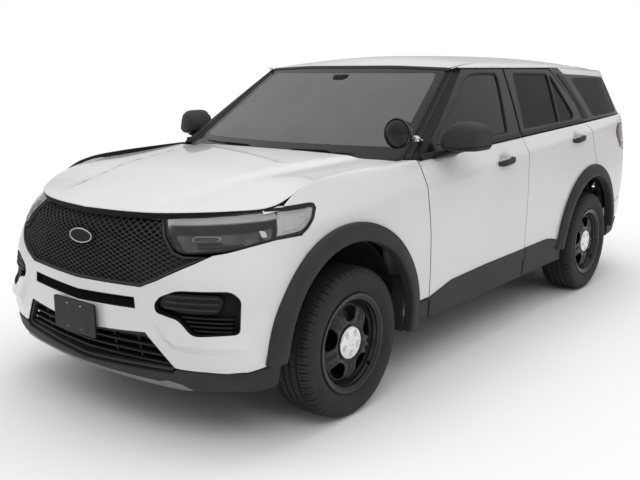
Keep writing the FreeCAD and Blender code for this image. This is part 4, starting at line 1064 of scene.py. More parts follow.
windowShapes = {
    "front": [(-0.812, 1.262), (0.058, 1.280), (0.146, 1.648), (-0.252, 1.648), (-0.806, 1.292)],
    "rear": [(0.300, 1.290), (0.872, 1.304), (0.924, 1.640), (0.372, 1.648)],
    "fixed": [(0.894, 1.304), (1.122, 1.312), (1.172, 1.344), (0.978, 1.612), (0.944, 1.634)],
    "quarter": [(1.545, 1.316), (2.092, 1.328), (2.040, 1.600), (1.310, 1.606)],
}
windowRounds = {"front": [0.03, 0.02, 0.05, 0.12, 0.02], "rear": [0.02, 0.02, 0.04, 0.04],
                "fixed": [0.02, 0.03, 0.03, 0.03, 0.02], "quarter": [0.03, 0.03, 0.05, 0.05]}
frameShapes = {
    "front": [(-0.985, 1.203), (0.238, 1.246), (0.226, 1.252), (0.249, 1.674), (-0.300, 1.674)],
    "rear": [(0.2405, 1.246), (1.312, 1.283), (1.262, 1.416), (0.972, 1.672), (0.262, 1.674)],
}


# how far the rail over the doors drops towards the tail
def railFall(y):
    return 0.034 * max(0.0, y - 1.1)


def windowLoop(key, by=0.0):
    return onCabin(inset(rounded(windowShapes[key], windowRounds[key]), by), 0.02)


def pane(loops, name, finish, bodyName, slotName, back, thick, replaced):
    glass = panel(cabin, loops, thick, hem=0.001, step=0.10, lift=-back, backStep=0.14)
    made = glass.pair(name, finish, bodyName, slotName)
    if replaced:
        for side, piece in zip(("left", "right"), made):
            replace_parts(piece, replaced.format(side))
    return made


def doorFrames():
    for key, holes in (("front", ["front"]), ("rear", ["rear", "fixed"])):
        loop = onCabin(inset(frameShapes[key], gap / 2), 0.02)
        leans = [np.where((cabin.at(loop)[:, 1] > 0.2) & (cabin.at(loop)[:, 1] < 0.27), 0.2, 0.0)]
        leans[0] = np.where(cabin.at(loop)[:, 1] > 0.95, 0.4, leans[0])
        loops = [loop] + [windowLoop(hole) for hole in holes]
        leans += [np.zeros(len(l)) for l in loops[1:]]
        skin = panel(cabin, loops, 0.042, leans=leans, step=0.05, hem=0.004)
        skin.pair(f"door_{key}_{{}}_frame", "gloss", f"{key}_{{}}_door", "black_gloss")
        finish = "side" if key == "front" else "tinted"
        slotName = "clear_glass" if key == "front" else "tinted_glass"
        for i, hole in enumerate(holes):
            name = f"door_{key}_{{}}_pane" + ("" if i == 0 else "_fixed")
            pane([windowLoop(hole, -0.014)], name, finish, f"{key}_{{}}_door", slotName, 0.011, 0.004,
                 f"door_{key}_{{}}_glass")
        # rubber runs round each opening, and the strip along the belt
        for hole in holes:
            outer, inner = windowLoop(hole, -0.001), windowLoop(hole, 0.009)
            seal = panel(cabin, [outer, inner], 0.010, hem=0.0015, step=0.2, lift=-0.0055)
            seal.pair(f"door_{key}_{{}}_seal_{hole}", "seal", f"{key}_{{}}_door", "dark_plastic")
        ends = (-0.975, 0.228) if key == "front" else (0.247, 1.300)
        low = [(y, beltHeight(y) + 0.004) for y in np.linspace(*ends, 12)]
        high = [(y, beltHeight(y) + 0.030) for y in np.linspace(*ends, 12)][::-1]
        strip = panel(cabin, [onCabin(low + high)], 0.014, hem=0.004, step=0.2, lift=0.005)
        strip.pair(f"door_{key}_{{}}_belt_strip", "trim", f"{key}_{{}}_door", "dark_plastic")


def rearGreenhouse():
    gate = cabin.find("rear", [(0.716, 1.296), (0.690, 1.420), (0.626, 1.664)], (0.0, cabin.length))
    top = [(y, 1.682 - railFall(y)) for y in np.linspace(2.10, 0.975, 12)]
    front = [(1.268, 1.419), (1.319, 1.290)]
    belt = [(1.330, beltHeight(1.33) + 0.006), (2.10, beltHeight(2.10) + 0.004)]
    loop = np.array(dense([tuple(p) for p in np.concatenate([
        cabin.find("side", belt, (0, cabin.length)), gate,
        cabin.find("side", top + front, (0, cabin.length))])], 0.02))
    skin = panel(cabin, [loop, windowLoop("quarter")], 0.030, step=0.05, hem=0.003, lift=-0.001)
    skin.pair("greenhouse_{}_rear", "gloss", "body", "black_gloss")
    glass = pane([windowLoop("quarter", -0.012)], "quarter_pane_{}", "tinted", "body", "tinted_glass", 0.003, 0.004,
                 None)
    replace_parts(glass[0], "quarter_glass")
    # diagonal pillar cover between the fixed pane and the quarter window
    cover = [(1.345, 1.306), (1.430, 1.309), (1.205, 1.606), (1.110, 1.640), (1.075, 1.640), (1.292, 1.420)]
    pillar = panel(cabin, [onCabin(rounded(cover, 0.01))], 0.008, hem=0.003, step=0.08, lift=0.004)
    pillar.pair("pillar_{}_diagonal", "trim", "body", "black_gloss")


def screenPoint(s, z):
    level = np.array([[*cabinLevels[k]["corner"], cabinLevels[k]["centre"],
                       cabinLevels[k]["height"] + cabinLevels[k]["slope"] * (cabinLevels[k]["centre"] - levelY)]
                      for k in ("belt", "middle", "top")])
    z = np.asarray(z, float)
    t = level[:, 3]
    x, y, centre = (np.polyval(np.polyfit(t, level[:, column], 2), z) for column in range(3))
    return np.column_stack([s * x, centre + (y - centre) * s * s, z + 0 * s])


# the windscreen's own skin: u across from -1 to 1, v is the height
class Screen(Surface):
    def at(self, uv):
        uv = np.asarray(uv, float).reshape(-1, 2)
        return screenPoint(uv[:, 0], uv[:, 1])


screen = Screen()


def screenLoop(side, low, high, turn=0.05):
    corners = [(-side, low), (side, low), (side, high - 0.014), (0.5, high), (-0.5, high),
               (-side, high - 0.014)]
    return np.array(dense(rounded(corners, [turn, turn, turn, 0.1, 0.1, turn]), 0.04))


def windscreen():
    outer = screenLoop(0.985, 1.196, 1.690, 0.03)
    glass = panel(screen, [outer], 0.005, hem=0.0012, step=0.10, lift=-0.006)
    piece = glass.make("windscreen_pane", "clear", "body", "clear_glass")
    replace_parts(piece, "windscreen")
    # printed border: a dark band just behind the glass, wider at the top and the foot
    inner = np.array(dense(rounded([(-0.925, 1.262), (0.925, 1.262), (0.918, 1.654), (-0.918, 1.654)], 0.045), 0.04))
    band = panel(screen, [screenLoop(0.984, 1.197, 1.689, 0.03), inner], 0.0012, hem=0.0004, step=0.12, lift=-0.0052)
    band.make("windscreen_border", "frit", "body", "black_gloss")
    trim = panel(screen, [screenLoop(0.998, 1.190, 1.697, 0.02), screenLoop(0.975, 1.204, 1.682, 0.03)], 0.012,
                 hem=0.002, step=0.2, lift=-0.002)
    trim.make("windscreen_seal", "seal", "body", "dark_plastic")


# a strip between two lines of points, closed into a solid with rounded long edges
def lineStrip(lineA, lineB, ups, thick, edge=0.004, waves=3):
    build = Build()
    a, b, ups = (np.asarray(line, float) for line in (lineA, lineB, ups))
    across = b - a
    width = np.linalg.norm(across, axis=1)[:, None]
    across = across / width
    rows, rowNormals = [], []
    for angle in (90, 60, 30, 0):
        s, c = math.sin(math.radians(angle)), math.cos(math.radians(angle))
        rows.append(a + across * edge * (1 - s) - ups * edge * (1 - c))
        rowNormals.append(ups * c - across * s)
    for t in np.linspace(0.2, 0.8, waves):
        rows.append(a + across * (edge + (width - 2 * edge) * t))
        rowNormals.append(ups)
    for angle in (0, 30, 60, 90):
        s, c = math.sin(math.radians(angle)), math.cos(math.radians(angle))
        rows.append(b - across * edge * (1 - s) - ups * edge * (1 - c))
        rowNormals.append(ups * c + across * s)
    rows.append(b - ups * thick)
    rowNormals.append(across)
    rows.append(a - ups * thick)
    rowNormals.append(-across)
    ids = [build.add(row) + np.arange(len(a)) for row in rows]
    for i in range(len(ids)):
        j = (i + 1) % len(ids)
        first, second = rowNormals[i], rowNormals[j]
        if i == len(ids) - 3:
            second = first
        elif i == len(ids) - 2:
            first = second = -ups
        elif i == len(ids) - 1:
            first = second
        build.strip(ids[i], ids[j], first, second, shut=False)
    build.face([row[0] for row in ids][::-1])
    build.face([row[-1] for row in ids])
    return build


def pillarsAndRails():
    # windscreen pillar: from the cowl up to the roof, between the screen and the door frame
    z = np.linspace(1.205, 1.672, 16)
    inner = screenPoint(np.full(16, 1.0), z)
    rows = np.array([cabin.at(cabin.find("side", [(np.interp(h, (1.204, 1.674), (-0.998, -0.296)), h)],
                                         (-0.1, 1.4)))[0] for h in z])
    out = rows + (0.0, 0.003, 0.0)
    up = np.cross(np.gradient(inner, axis=0), out - inner)
    up = up / np.linalg.norm(up, axis=1)[:, None]
    up = np.where((up[:, 1] > 0)[:, None], -up, up)
    flip = np.cross(np.gradient(inner, axis=0), out - inner)[8] @ up[8] > 0
    first, second = (inner, out) if flip else (out, inner)
    for side in ("left", "right"):
        strip = lineStrip(first, second, up, 0.045, 0.008, 2)
        strip.make(f"pillar_{side}_front", "pillar", "body", "black_gloss", side == "right")
    ridge = inner * 0.72 + out * 0.28
    ridgeOut = inner * 0.55 + out * 0.45
    first, second = (ridge, ridgeOut) if flip else (ridgeOut, ridge)
    lip = lineStrip(first + up * 0.0035, second + up * 0.0035, up, 0.006, 0.002, 1)
    lip.pair("pillar_{}_lip", "seal", "body", "dark_plastic")
    # painted rail between the doors and the roof channel
    ys = np.concatenate([np.linspace(-0.325, 0.2, 12), np.linspace(0.3, 2.13, 22)])
    rail = Build()
    rings = []
    for y in ys:
        top = 1.680 - railFall(y) if y > 0.97 else 1.6785
        base = cabin.at(cabin.find("side", [(y, top)], (-0.1, cabin.length)))[0]

        def crown(x):
            return roofCrown.at([(x, y)])[0]
        inner = crown(0.702)
        edge = crown(base[0] - 0.012)
        corner = np.array([base[0] - 0.002, y, edge[2] - 0.006])
        ring = [base + (-0.030, 0, 0.000), base + (-0.001, 0, 0.0), base + (0.0008, 0, 0.003)]
        for t in (0.0, 0.25, 0.5, 0.75, 1.0):
            start, end = base + (0.0, 0, 0.006), crown(base[0] - 0.024)
            ring.append((1 - t) ** 2 * start + 2 * t * (1 - t) * corner + t * t * end)
        ring += [crown(0.715), inner + (0.002, 0, 0), inner + (0, 0, -0.003), inner + (0, 0, -0.030)]
        rings.append(rail.add(ring) + np.arange(len(ring)))
    for a, b in zip(rings, rings[1:]):
        n = len(a)
        for i in range(n):
            j = (i + 1) % n
            rail.face((a[i], b[i], b[j], a[j]))
    rail.face(list(rings[0]))
    rail.face(list(rings[-1][::-1]))
    for side in ("left", "right"):
        piece = rail.make(f"roof_rail_{side}", "paint", "body", "body_paint", side == "right")
        smoothEdges(piece, 40)
    # black strip in the roof channel
    ys = np.linspace(-0.372, 2.13, 40)
    a = np.array([roofCrown.at([(0.6855, y)])[0] for y in ys]) - (0, 0, 0.004)
    b = np.array([roofCrown.at([(0.7015, y)])[0] for y in ys]) - (0, 0, 0.004)
    ups = np.tile((0.1, 0, 0.995), (len(ys), 1))
    strip = lineStrip(b, a, ups, 0.014, 0.003, 1)
    strip.pair("roof_strip_{}", "seal", "body", "black_gloss")


# sharp edges above an angle stay sharp, the rest is smooth
def smoothEdges(piece, angle=35):
    mesh = piece.data
    mesh.polygons.foreach_set("use_smooth", [True] * len(mesh.polygons))
    bm = bmesh.new()
    bm.from_mesh(mesh)
    bmesh.ops.recalc_face_normals(bm, faces=bm.faces)
    for edge in bm.edges:
        edge.smooth = len(edge.link_faces) == 2 and edge.calc_face_angle(0) < math.radians(angle)
    bm.to_mesh(mesh)
    bm.free()
    return piece


doorFrames()
rearGreenhouse()
windscreen()
pillarsAndRails()
print("glass, frames and rails")


# front end
grilleShape = bothSides([(0.0, 0.730), (0.412, 0.744), (0.498, 0.782), (0.653, 0.864), (0.702, 0.8905),
                         (0.602, 0.8925), (0.555, 0.908), (0.436, 1.046), (0.0, 1.052)])
meshCell = {"width": 0.046, "height": 0.0250, "opening": 0.80, "depth": 0.012}
badge = {"x": 0.0, "z": 0.921, "half": (0.088, 0.040), "lift": 0.012}


def onFront(points, step=0.016):
    return body.find("front", dense(points, step), frontRegion)


# six-sided cells in offset columns, each with a sunk opening, laid on a skin
def cellMesh(skin, inside, low, high, cell, lift):
    build = Build()
    dx, dz = 0.5 * cell["width"], cell["height"]
    columns = int((high[0] - low[0]) / dx) + 2
    rows = int((high[1] - low[1]) / dz) + 2
    w, h = 0.5 * cell["width"], 0.5 * dz
    corners = np.array([(w, -0.06 * h), (w, 0.06 * h), (0, h), (-w, 0.06 * h), (-w, -0.06 * h), (0, -h)])
    centres = np.array([(low[0] + i * dx, low[1] + (j + 0.5 * (i % 2)) * dz)
                        for i in range(columns) for j in range(rows)])
    centres = centres[insideLoops(centres, [inside])]
    uv = (centres[:, None, :] + corners[None, :, :]).reshape(-1, 2)
    inner = (centres[:, None, :] + corners[None, :, :] * cell["opening"]).reshape(-1, 2)
    deep = (centres[:, None, :] + corners[None, :, :] * cell["opening"] * 0.93).reshape(-1, 2)
    for spots, drop in ((uv, 0.0), (inner, -0.0015), (deep, -cell["depth"]), (uv, -cell["depth"])):
        build.add(skin.at(spots) + skin.normals(spots) * (lift + drop))
    total = len(uv)
    for c in range(len(centres)):
        for k in range(6):
            a, b = 6 * c + k, 6 * c + (k + 1) % 6
            build.face((a, b, total + b, total + a))
            build.face((total + a, total + b, 2 * total + b, 2 * total + a))
            build.face((2 * total + a, 2 * total + b, 3 * total + b, 3 * total + a))
            build.face((3 * total + a, 3 * total + b, b, a))
    return build


def grillePieces():
    loop = onFront(inset(grilleShape, 0.009), 0.02)
    cells = cellMesh(body, loop, loop.min(axis=0), loop.max(axis=0), meshCell, -0.012)
    piece = cells.make("grille_mesh", "netting", "body", "black_gloss")
    smoothEdges(piece, 20)
    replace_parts(piece, "grille")
    outer, inner = onFront(inset(grilleShape, 0.0015)), onFront(inset(grilleShape, 0.0125))
    rim = panel(body, [outer, inner], 0.022, hem=0.003, step=0.2, lift=-0.001)
    rim.make("grille_frame", "trim", "body", "black_gloss")
    top = bothSides([(0.0, 1.032), (0.428, 1.026), (0.433, 1.043), (0.0, 1.049)])
    panel(body, [onFront(top, 0.02)], 0.020, hem=0.005, step=0.2, lift=0.002).make(
        "grille_top_bar", "gloss", "body", "black_gloss")
    # dark sheet behind the grille: painted shade of the space behind it
    back = panel(body, [onFront(inset(grilleShape, 0.004), 0.03)], 0.004, hem=0.001, step=0.12, lift=-0.040)
    back.make("grille_back", "pocket", "body", "dark_plastic")
    # the mesh has a floor except low in the middle, where air goes through
    window = bothSides([(0.0, 0.748), (0.352, 0.760), (0.340, 0.905), (0.0, 0.900)])
    floor = panel(body, [onFront(inset(grilleShape, 0.006), 0.03), onFront(window, 0.03)], 0.003, hem=0.001,
                  step=0.12, lift=-0.0175)
    floor.make("grille_floor", "meshFloor", "body", "dark_plastic")
    # small dark patches on the floor stand for holes: painted shade seen through them
    for i, (x, z) in enumerate(((0.536, 0.862), (0.574, 0.862), (0.555, 0.840), (0.593, 0.873), (0.612, 0.862))):
        patch = [(x - 0.015, z), (x, z - 0.0075), (x + 0.015, z), (x, z + 0.0075)]
        dark = panel(body, [onFront(patch, 0.02)], 0.002, hem=0.0005, step=0.1, lift=-0.0165)
        dark.pair(f"grille_hole_shade_{{}}_{i}", "pocket", "body", "dark_plastic")
    # blank oval boss with a polished metal rim
    spot = body.find("front", [(badge["x"], badge["z"])], frontRegion)[0]
    oval = [(spot[0] + badge["half"][0] * math.cos(t), spot[1] + badge["half"][1] * math.sin(t))
            for t in roundTurn(56)]
    rim = panel(body, [np.array(oval), np.array([(spot[0] + (x - spot[0]) * 0.93, spot[1] + (z - spot[1]) * 0.85)
                                                 for x, z in oval])], 0.014, hem=0.0018, step=0.2,
                lift=badge["lift"] - 0.004)
    rim.make("badge_rim", "mirror", "body", "black_gloss")
    face = panel(body, [np.array([(spot[0] + (x - spot[0]) * 0.935, spot[1] + (z - spot[1]) * 0.86)
                                  for x, z in oval])], 0.012, hem=0.001, step=0.02, lift=badge["lift"] - 0.006)
    face.make("badge_face", "mesh", "body", "black_gloss")


# a tube of wall between two depths below an outline on a skin, for pockets and lamp housings
def pocketWall(skin, loop, first, last, thick=0.003, flare=0.0):
    build = Build()
    up = skin.normals(loop)
    here = skin.at(loop)
    tangent = np.roll(here, -1, axis=0) - np.roll(here, 1, axis=0)
    out = np.cross(tangent, up)
    out /= np.linalg.norm(out, axis=1)[:, None]
    rings = []
    for depth, side in ((first, 0.0), (last, -flare), (last, thick - flare), (first, thick)):
        rings.append(build.add(here - up * depth + out * side) + np.arange(len(loop)))
    faces = (-out, -up, out, up)
    for k in range(4):
        a, b = rings[k], rings[(k + 1) % 4]
        build.strip(a, b, faces[k], faces[k])
    return build


fog = {"depth": 0.062, "slats": 4}


def fogPockets():
    shape = inset(rounded(fogShape, fogRounds), 0.0015)
    loop = onFront(shape, 0.014)
    wall = pocketWall(body, loop, 0.006, fog["depth"], 0.003, 0.004)
    # the back of the pocket takes the near-black pocket finish: painted shade at its bottom
    back = panel(body, [onFront(inset(rounded(fogShape, fogRounds), 0.004), 0.03)], 0.003, hem=0.001, step=0.06,
                 lift=-fog["depth"] + 0.003)
    barShape = [(0.512, 0.688), (0.536, 0.728), (0.610, 0.738), (0.768, 0.738), (0.792, 0.716), (0.786, 0.676),
                (0.764, 0.652), (0.640, 0.648), (0.520, 0.664)]
    barTurns = [0.02, 0.03, 0.03, 0.025, 0.025, 0.02, 0.03, 0.04, 0.012]
    bar = panel(body, [onFront(rounded(barShape, barTurns), 0.012)], 0.045, hem=0.010, step=0.02, lift=-0.010)
    made = []
    for side in ("left", "right"):
        flip = side == "right"
        made.append(wall.make(f"fog_pocket_{side}_wall", "mesh", "body", "dark_plastic", flip))
        back.make(f"fog_pocket_{side}_back", "pocket", "body", "dark_plastic", flip)
        bar.make(f"fog_pocket_{side}_bar", "mesh", "body", "dark_plastic", flip)
    for i in range(3):
        z = 0.722 - 0.026 * i
        x0, x1 = (0.548, 0.770) if i == 0 else (0.540, 0.776)
        rib = [(x0, z - 0.006), (x1, z - 0.004), (x1, z + 0.005), (x0 + 0.01, z + 0.005)]
        ridge = panel(body, [onFront(rounded(rib, 0.004), 0.02)], 0.010, hem=0.003, step=0.1, lift=-0.0035)
        ridge.pair(f"fog_bar_{{}}_rib_{i}", "trim", "body", "dark_plastic")
    for i in range(fog["slats"]):
        z = 0.634 - 0.0185 * i
        x0 = 0.628 + 0.018 * i
        slat = [(x0, z - 0.0045), (0.830, z - 0.0045), (0.834, z + 0.0035), (x0 - 0.008, z + 0.0035)]
        blade = panel(body, [onFront(rounded(slat, 0.002), 0.02)], 0.040, hem=0.002, step=0.1, lift=-0.016)
        blade.pair(f"fog_slat_{{}}_{i}", "mesh", "body", "dark_plastic")
    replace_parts(made[0], "lower_grilles")


def lowerOpenings():
    slot = bothSides(rounded(slotShape, [0, 0.012, 0.016, 0]))
    loop = onFront(inset(slot, 0.001), 0.02)
    pocketWall(body, loop, 0.006, 0.040, 0.003).make("slot_wall", "mesh", "body", "dark_plastic")
    cell = {"width": 0.026, "height": 0.0165, "opening": 0.74, "depth": 0.010}
    cells = cellMesh(body, onFront(inset(slot, 0.006), 0.02), loop.min(axis=0), loop.max(axis=0), cell, -0.022)
    smoothEdges(cells.make("slot_mesh", "mesh", "body", "dark_plastic"), 20)
    # dark sheet behind the slot: painted shade of the space behind it
    panel(body, [onFront(inset(slot, 0.002), 0.03)], 0.003, hem=0.001, step=0.2, lift=-0.040).make(
        "slot_back", "pocket", "body", "dark_plastic")
    intake = bothSides([(0.0, 0.340), (0.552, 0.374), (0.566, 0.396), (0.436, 0.533), (0.0, 0.494)])
    frameLoops = [onFront(inset(rounded(intake, 0.012), -0.006)), onFront(inset(rounded(intake, 0.012), 0.010))]
    panel(body, frameLoops, 0.030, hem=0.005, step=0.2, lift=-0.010).make(
        "intake_frame", "trim", "body", "dark_plastic")
    # dark sheet behind the intake: painted shade of the space behind it
    behind = bothSides([(0.0, 0.262), (0.560, 0.290), (0.575, 0.396), (0.436, 0.540), (0.0, 0.500)])
    panel(body, [onFront(behind, 0.03)], 0.003, hem=0.001, step=0.2, lift=-0.090).make(
        "intake_back", "pocket", "body", "dark_plastic")
    for i, (z, reach, deep) in enumerate(((0.512, 0.438, 0.030), (0.470, 0.478, 0.034), (0.430, 0.516, 0.034),
                                          (0.395, 0.545, 0.034))):
        dip = 0.012
        bar = bothSides([(0.0, z - 0.007 - dip), (reach - 0.006, z - 0.007), (reach, z + 0.005),
                         (0.0, z + 0.005 - dip)])
        blade = panel(body, [onFront(bar, 0.03)], deep, hem=0.004, step=0.3, lift=-0.022)
        blade.make(f"intake_bar_{i}", "mesh", "body", "dark_plastic")
    for x in (-0.36, -0.20, 0.20, 0.36):
        post = [(x - 0.006, 0.37), (x + 0.006, 0.37), (x + 0.006, 0.51), (x - 0.006, 0.51)]
        panel(body, [onFront(post, 0.03)], 0.020, hem=0.003, step=0.3, lift=-0.034).make(
            f"intake_post_{x:+.2f}".replace("+", "l").replace("-", "r"), "mesh", "body", "dark_plastic")


def valance():
    arch = circle("front", angleAt("front", z=0.312, side=-1) + 360, angleAt("front", z=0.419, side=-1), 0.507, 6)
    half = trace(("front", [(0.0, 0.266), (0.540, 0.272), (0.680, 0.288)]),
                 ("side", [(-2.250, 0.300), (-2.146, 0.312)]), ("side", arch),
                 ("side", [(-2.200, 0.419), (-2.290, 0.3955)]), ("front", [(0.700, 0.388), (0.600, 0.3845)]),
                 ("front", [(0.576, 0.384), (0.560, 0.362), (0.0, 0.328)]), skin=apron, step=0.02)
    loop = joined(half, True, apron)
    skin = panel(apron, [loop], 0.045, hem=0.006, step=0.04, rows=[apron.heights[1] + t for t in (-0.02, 0, 0.02)])
    piece = skin.make("valance", "trim", "body", "dark_plastic")
    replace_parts(piece, "front_valance")
    plate = bothSides([(0.0, 0.269), (0.470, 0.274), (0.640, 0.290), (0.600, 0.316), (0.530, 0.326), (0.470, 0.308),
                       (0.0, 0.302)])
    loop = apron.find("front", dense(rounded(plate, 0.010), 0.02), (0.0, 1.4))
    panel(apron, [loop], 0.012, hem=0.006, step=0.05, lift=0.006).make("skid_plate", "skid", "body", "dark_plastic")


# number plate bracket: a sheet with a turned-in edge, bolt slots and a back block
bracket = {"half": (0.157, 0.079), "y": -2.5375, "z": 0.546, "turn": 0.012, "bolt": 0.0036}
boltPlaces = [(-0.089, -0.0605), (0.089, -0.0605), (0.089, 0.0605), (-0.089, 0.0605)]


class Flat:
    def __init__(self, origin, across, up):
        self.origin = np.array(origin, float)
        self.across = np.array(across, float)
        self.up = np.array(up, float)

    def at(self, uv):
        uv = np.asarray(uv, float).reshape(-1, 2)
        return self.origin + uv[:, :1] * self.across + uv[:, 1:] * self.up

    def normals(self, uv):
        out = np.cross(self.across, self.up)
        return np.tile(out / np.linalg.norm(out), (len(uv), 1))


def platePieces():
    w, h = bracket["half"]
    bolt = bracket["bolt"]
    flat = Flat((0, bracket["y"], bracket["z"]), (1, 0, 0), (0, 0, 1))
    outline = rounded([(-w, -h), (w, -h), (w, h), (-w, h)], bracket["turn"])
    loops = [np.array(dense(outline, 0.02))]
    for x, z in boltPlaces:
        loops.append(np.array([(x + bolt * math.cos(t), z + bolt * math.sin(t))
                               for t in roundTurn(14)]))
    sheet = panel(flat, loops, 0.004, hem=0.0012, step=0.03)
    piece = sheet.make("plate_sheet", "trim", "body", "dark_plastic")
    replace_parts(piece, "plate_holder")
    lip = panel(flat, [loops[0], np.array(dense(inset(outline, 0.007), 0.02))], 0.0105, hem=0.002, step=0.1,
                lift=-0.0002)
    lip.make("plate_lip", "mesh", "body", "dark_plastic")
    block = rounded([(-0.075, -0.050), (0.075, -0.050), (0.075, 0.050), (-0.075, 0.050)], 0.01)
    stand = Flat((0, bracket["y"] + 0.006, bracket["z"]), (1, 0, 0), (0, 0, 1))
    panel(stand, [np.array(dense(block, 0.02))], 0.030, hem=0.003, step=0.05).make(
        "plate_stand", "mesh", "body", "dark_plastic")
    for i, (x, z) in enumerate(((-0.052, 0.056), (0.052, 0.056), (-0.052, -0.056), (0.052, -0.056))):
        head = turnedPiece([(0.0, 0.0), (0.0040, 0.0), (0.0050, 0.0006), (0.0050, 0.0018), (0.003, 0.0026),
                            (0.0, 0.0028)], 16)
        orient(head, (x, bracket["y"] + 0.0024, bracket["z"] + z), (0, -1, 0))
        head.make(f"plate_rivet_{i}", "mirror" if i < 2 else "satin", "body", "dark_plastic")


# a turned form from (radius, along) points, about Z until it is put in place
def turnedPiece(profile, count=48):
    build = Build()
    angles = np.radians(np.linspace(0, 360, count, endpoint=False))
    rings = []
    for radius, along in profile:
        if radius < 1e-7:
            rings.append([build.add([(0, 0, along)])] * count)
            continue
        rings.append(list(build.add([(radius * math.cos(a), radius * math.sin(a), along) for a in angles])
                          + np.arange(count)))
    for a, b in zip(rings, rings[1:]):
        for i in range(count):
            j = (i + 1) % count
            corners = [a[i], a[j], b[j], b[i]]
            unique = [c for k, c in enumerate(corners) if c not in corners[:k]]
            if len(unique) > 2:
                build.face(unique)
    return build


def orient(build, place, direction):
    turn = Vector(direction).to_track_quat("Z", "Y").to_matrix()
    build.points = [tuple(turn @ Vector(p) + Vector(place)) for p in build.points]
    return build


def joinBuilds(*builds):
    whole = Build()
    for part in builds:
        start = whole.add(part.points)
        for face, normals, slot in zip(part.faces, part.normals, part.slots):
            whole.face([start + c for c in face], normals, slot)
    return whole


finishes["satin"] = metalFinish("satinRim", 0.30, 0.42, 0.30)
finishes["mirror"] = metalFinish("lampReflector", 0.70, 0.84, 0.16, 90)
finishes["lampSmoke"] = metalFinish("lampSmoke", 0.05, 0.15, 0.16, 60)
finishes["lampEdge"] = glossFinish("lampBorder", 0.002, 0.004, 0.22)
finishes["lampWhite"] = plasticFinish("lampStrip", 0.42, 0.50, 0.35, 500, 0.00005)
finishes["meshFloor"] = plasticFinish("meshFloor", 0.006, 0.010, 0.5, 800, shine=0.15)
finishes["lens"] = glossFinish("projectorLens", 0.02, 0.04, 0.06)


def flutedFinish():
    f = Finish("lampFlutesAndSheen", Roughness=0.22, Coat_Weight=0.4, Coat_Roughness=0.08)
    ribs = (f.axis("Z") * 900 + f.axis("X") * 160).wave()
    # the colour goes lighter and darker in step with the ribs: painted highlight and shade along the flutes
    f.feed("Base Color", f.ramp(f.span(ribs, -1, 1, 0, 1), (0.1, grey(0.42)), (0.9, grey(0.66))))
    f.feed("Roughness", f.span(f.noise(60, 3), 0, 1, 0.16, 0.34))
    f.bump(ribs, 0.3, 0.001)
    return f


finishes["flutes"] = flutedFinish()


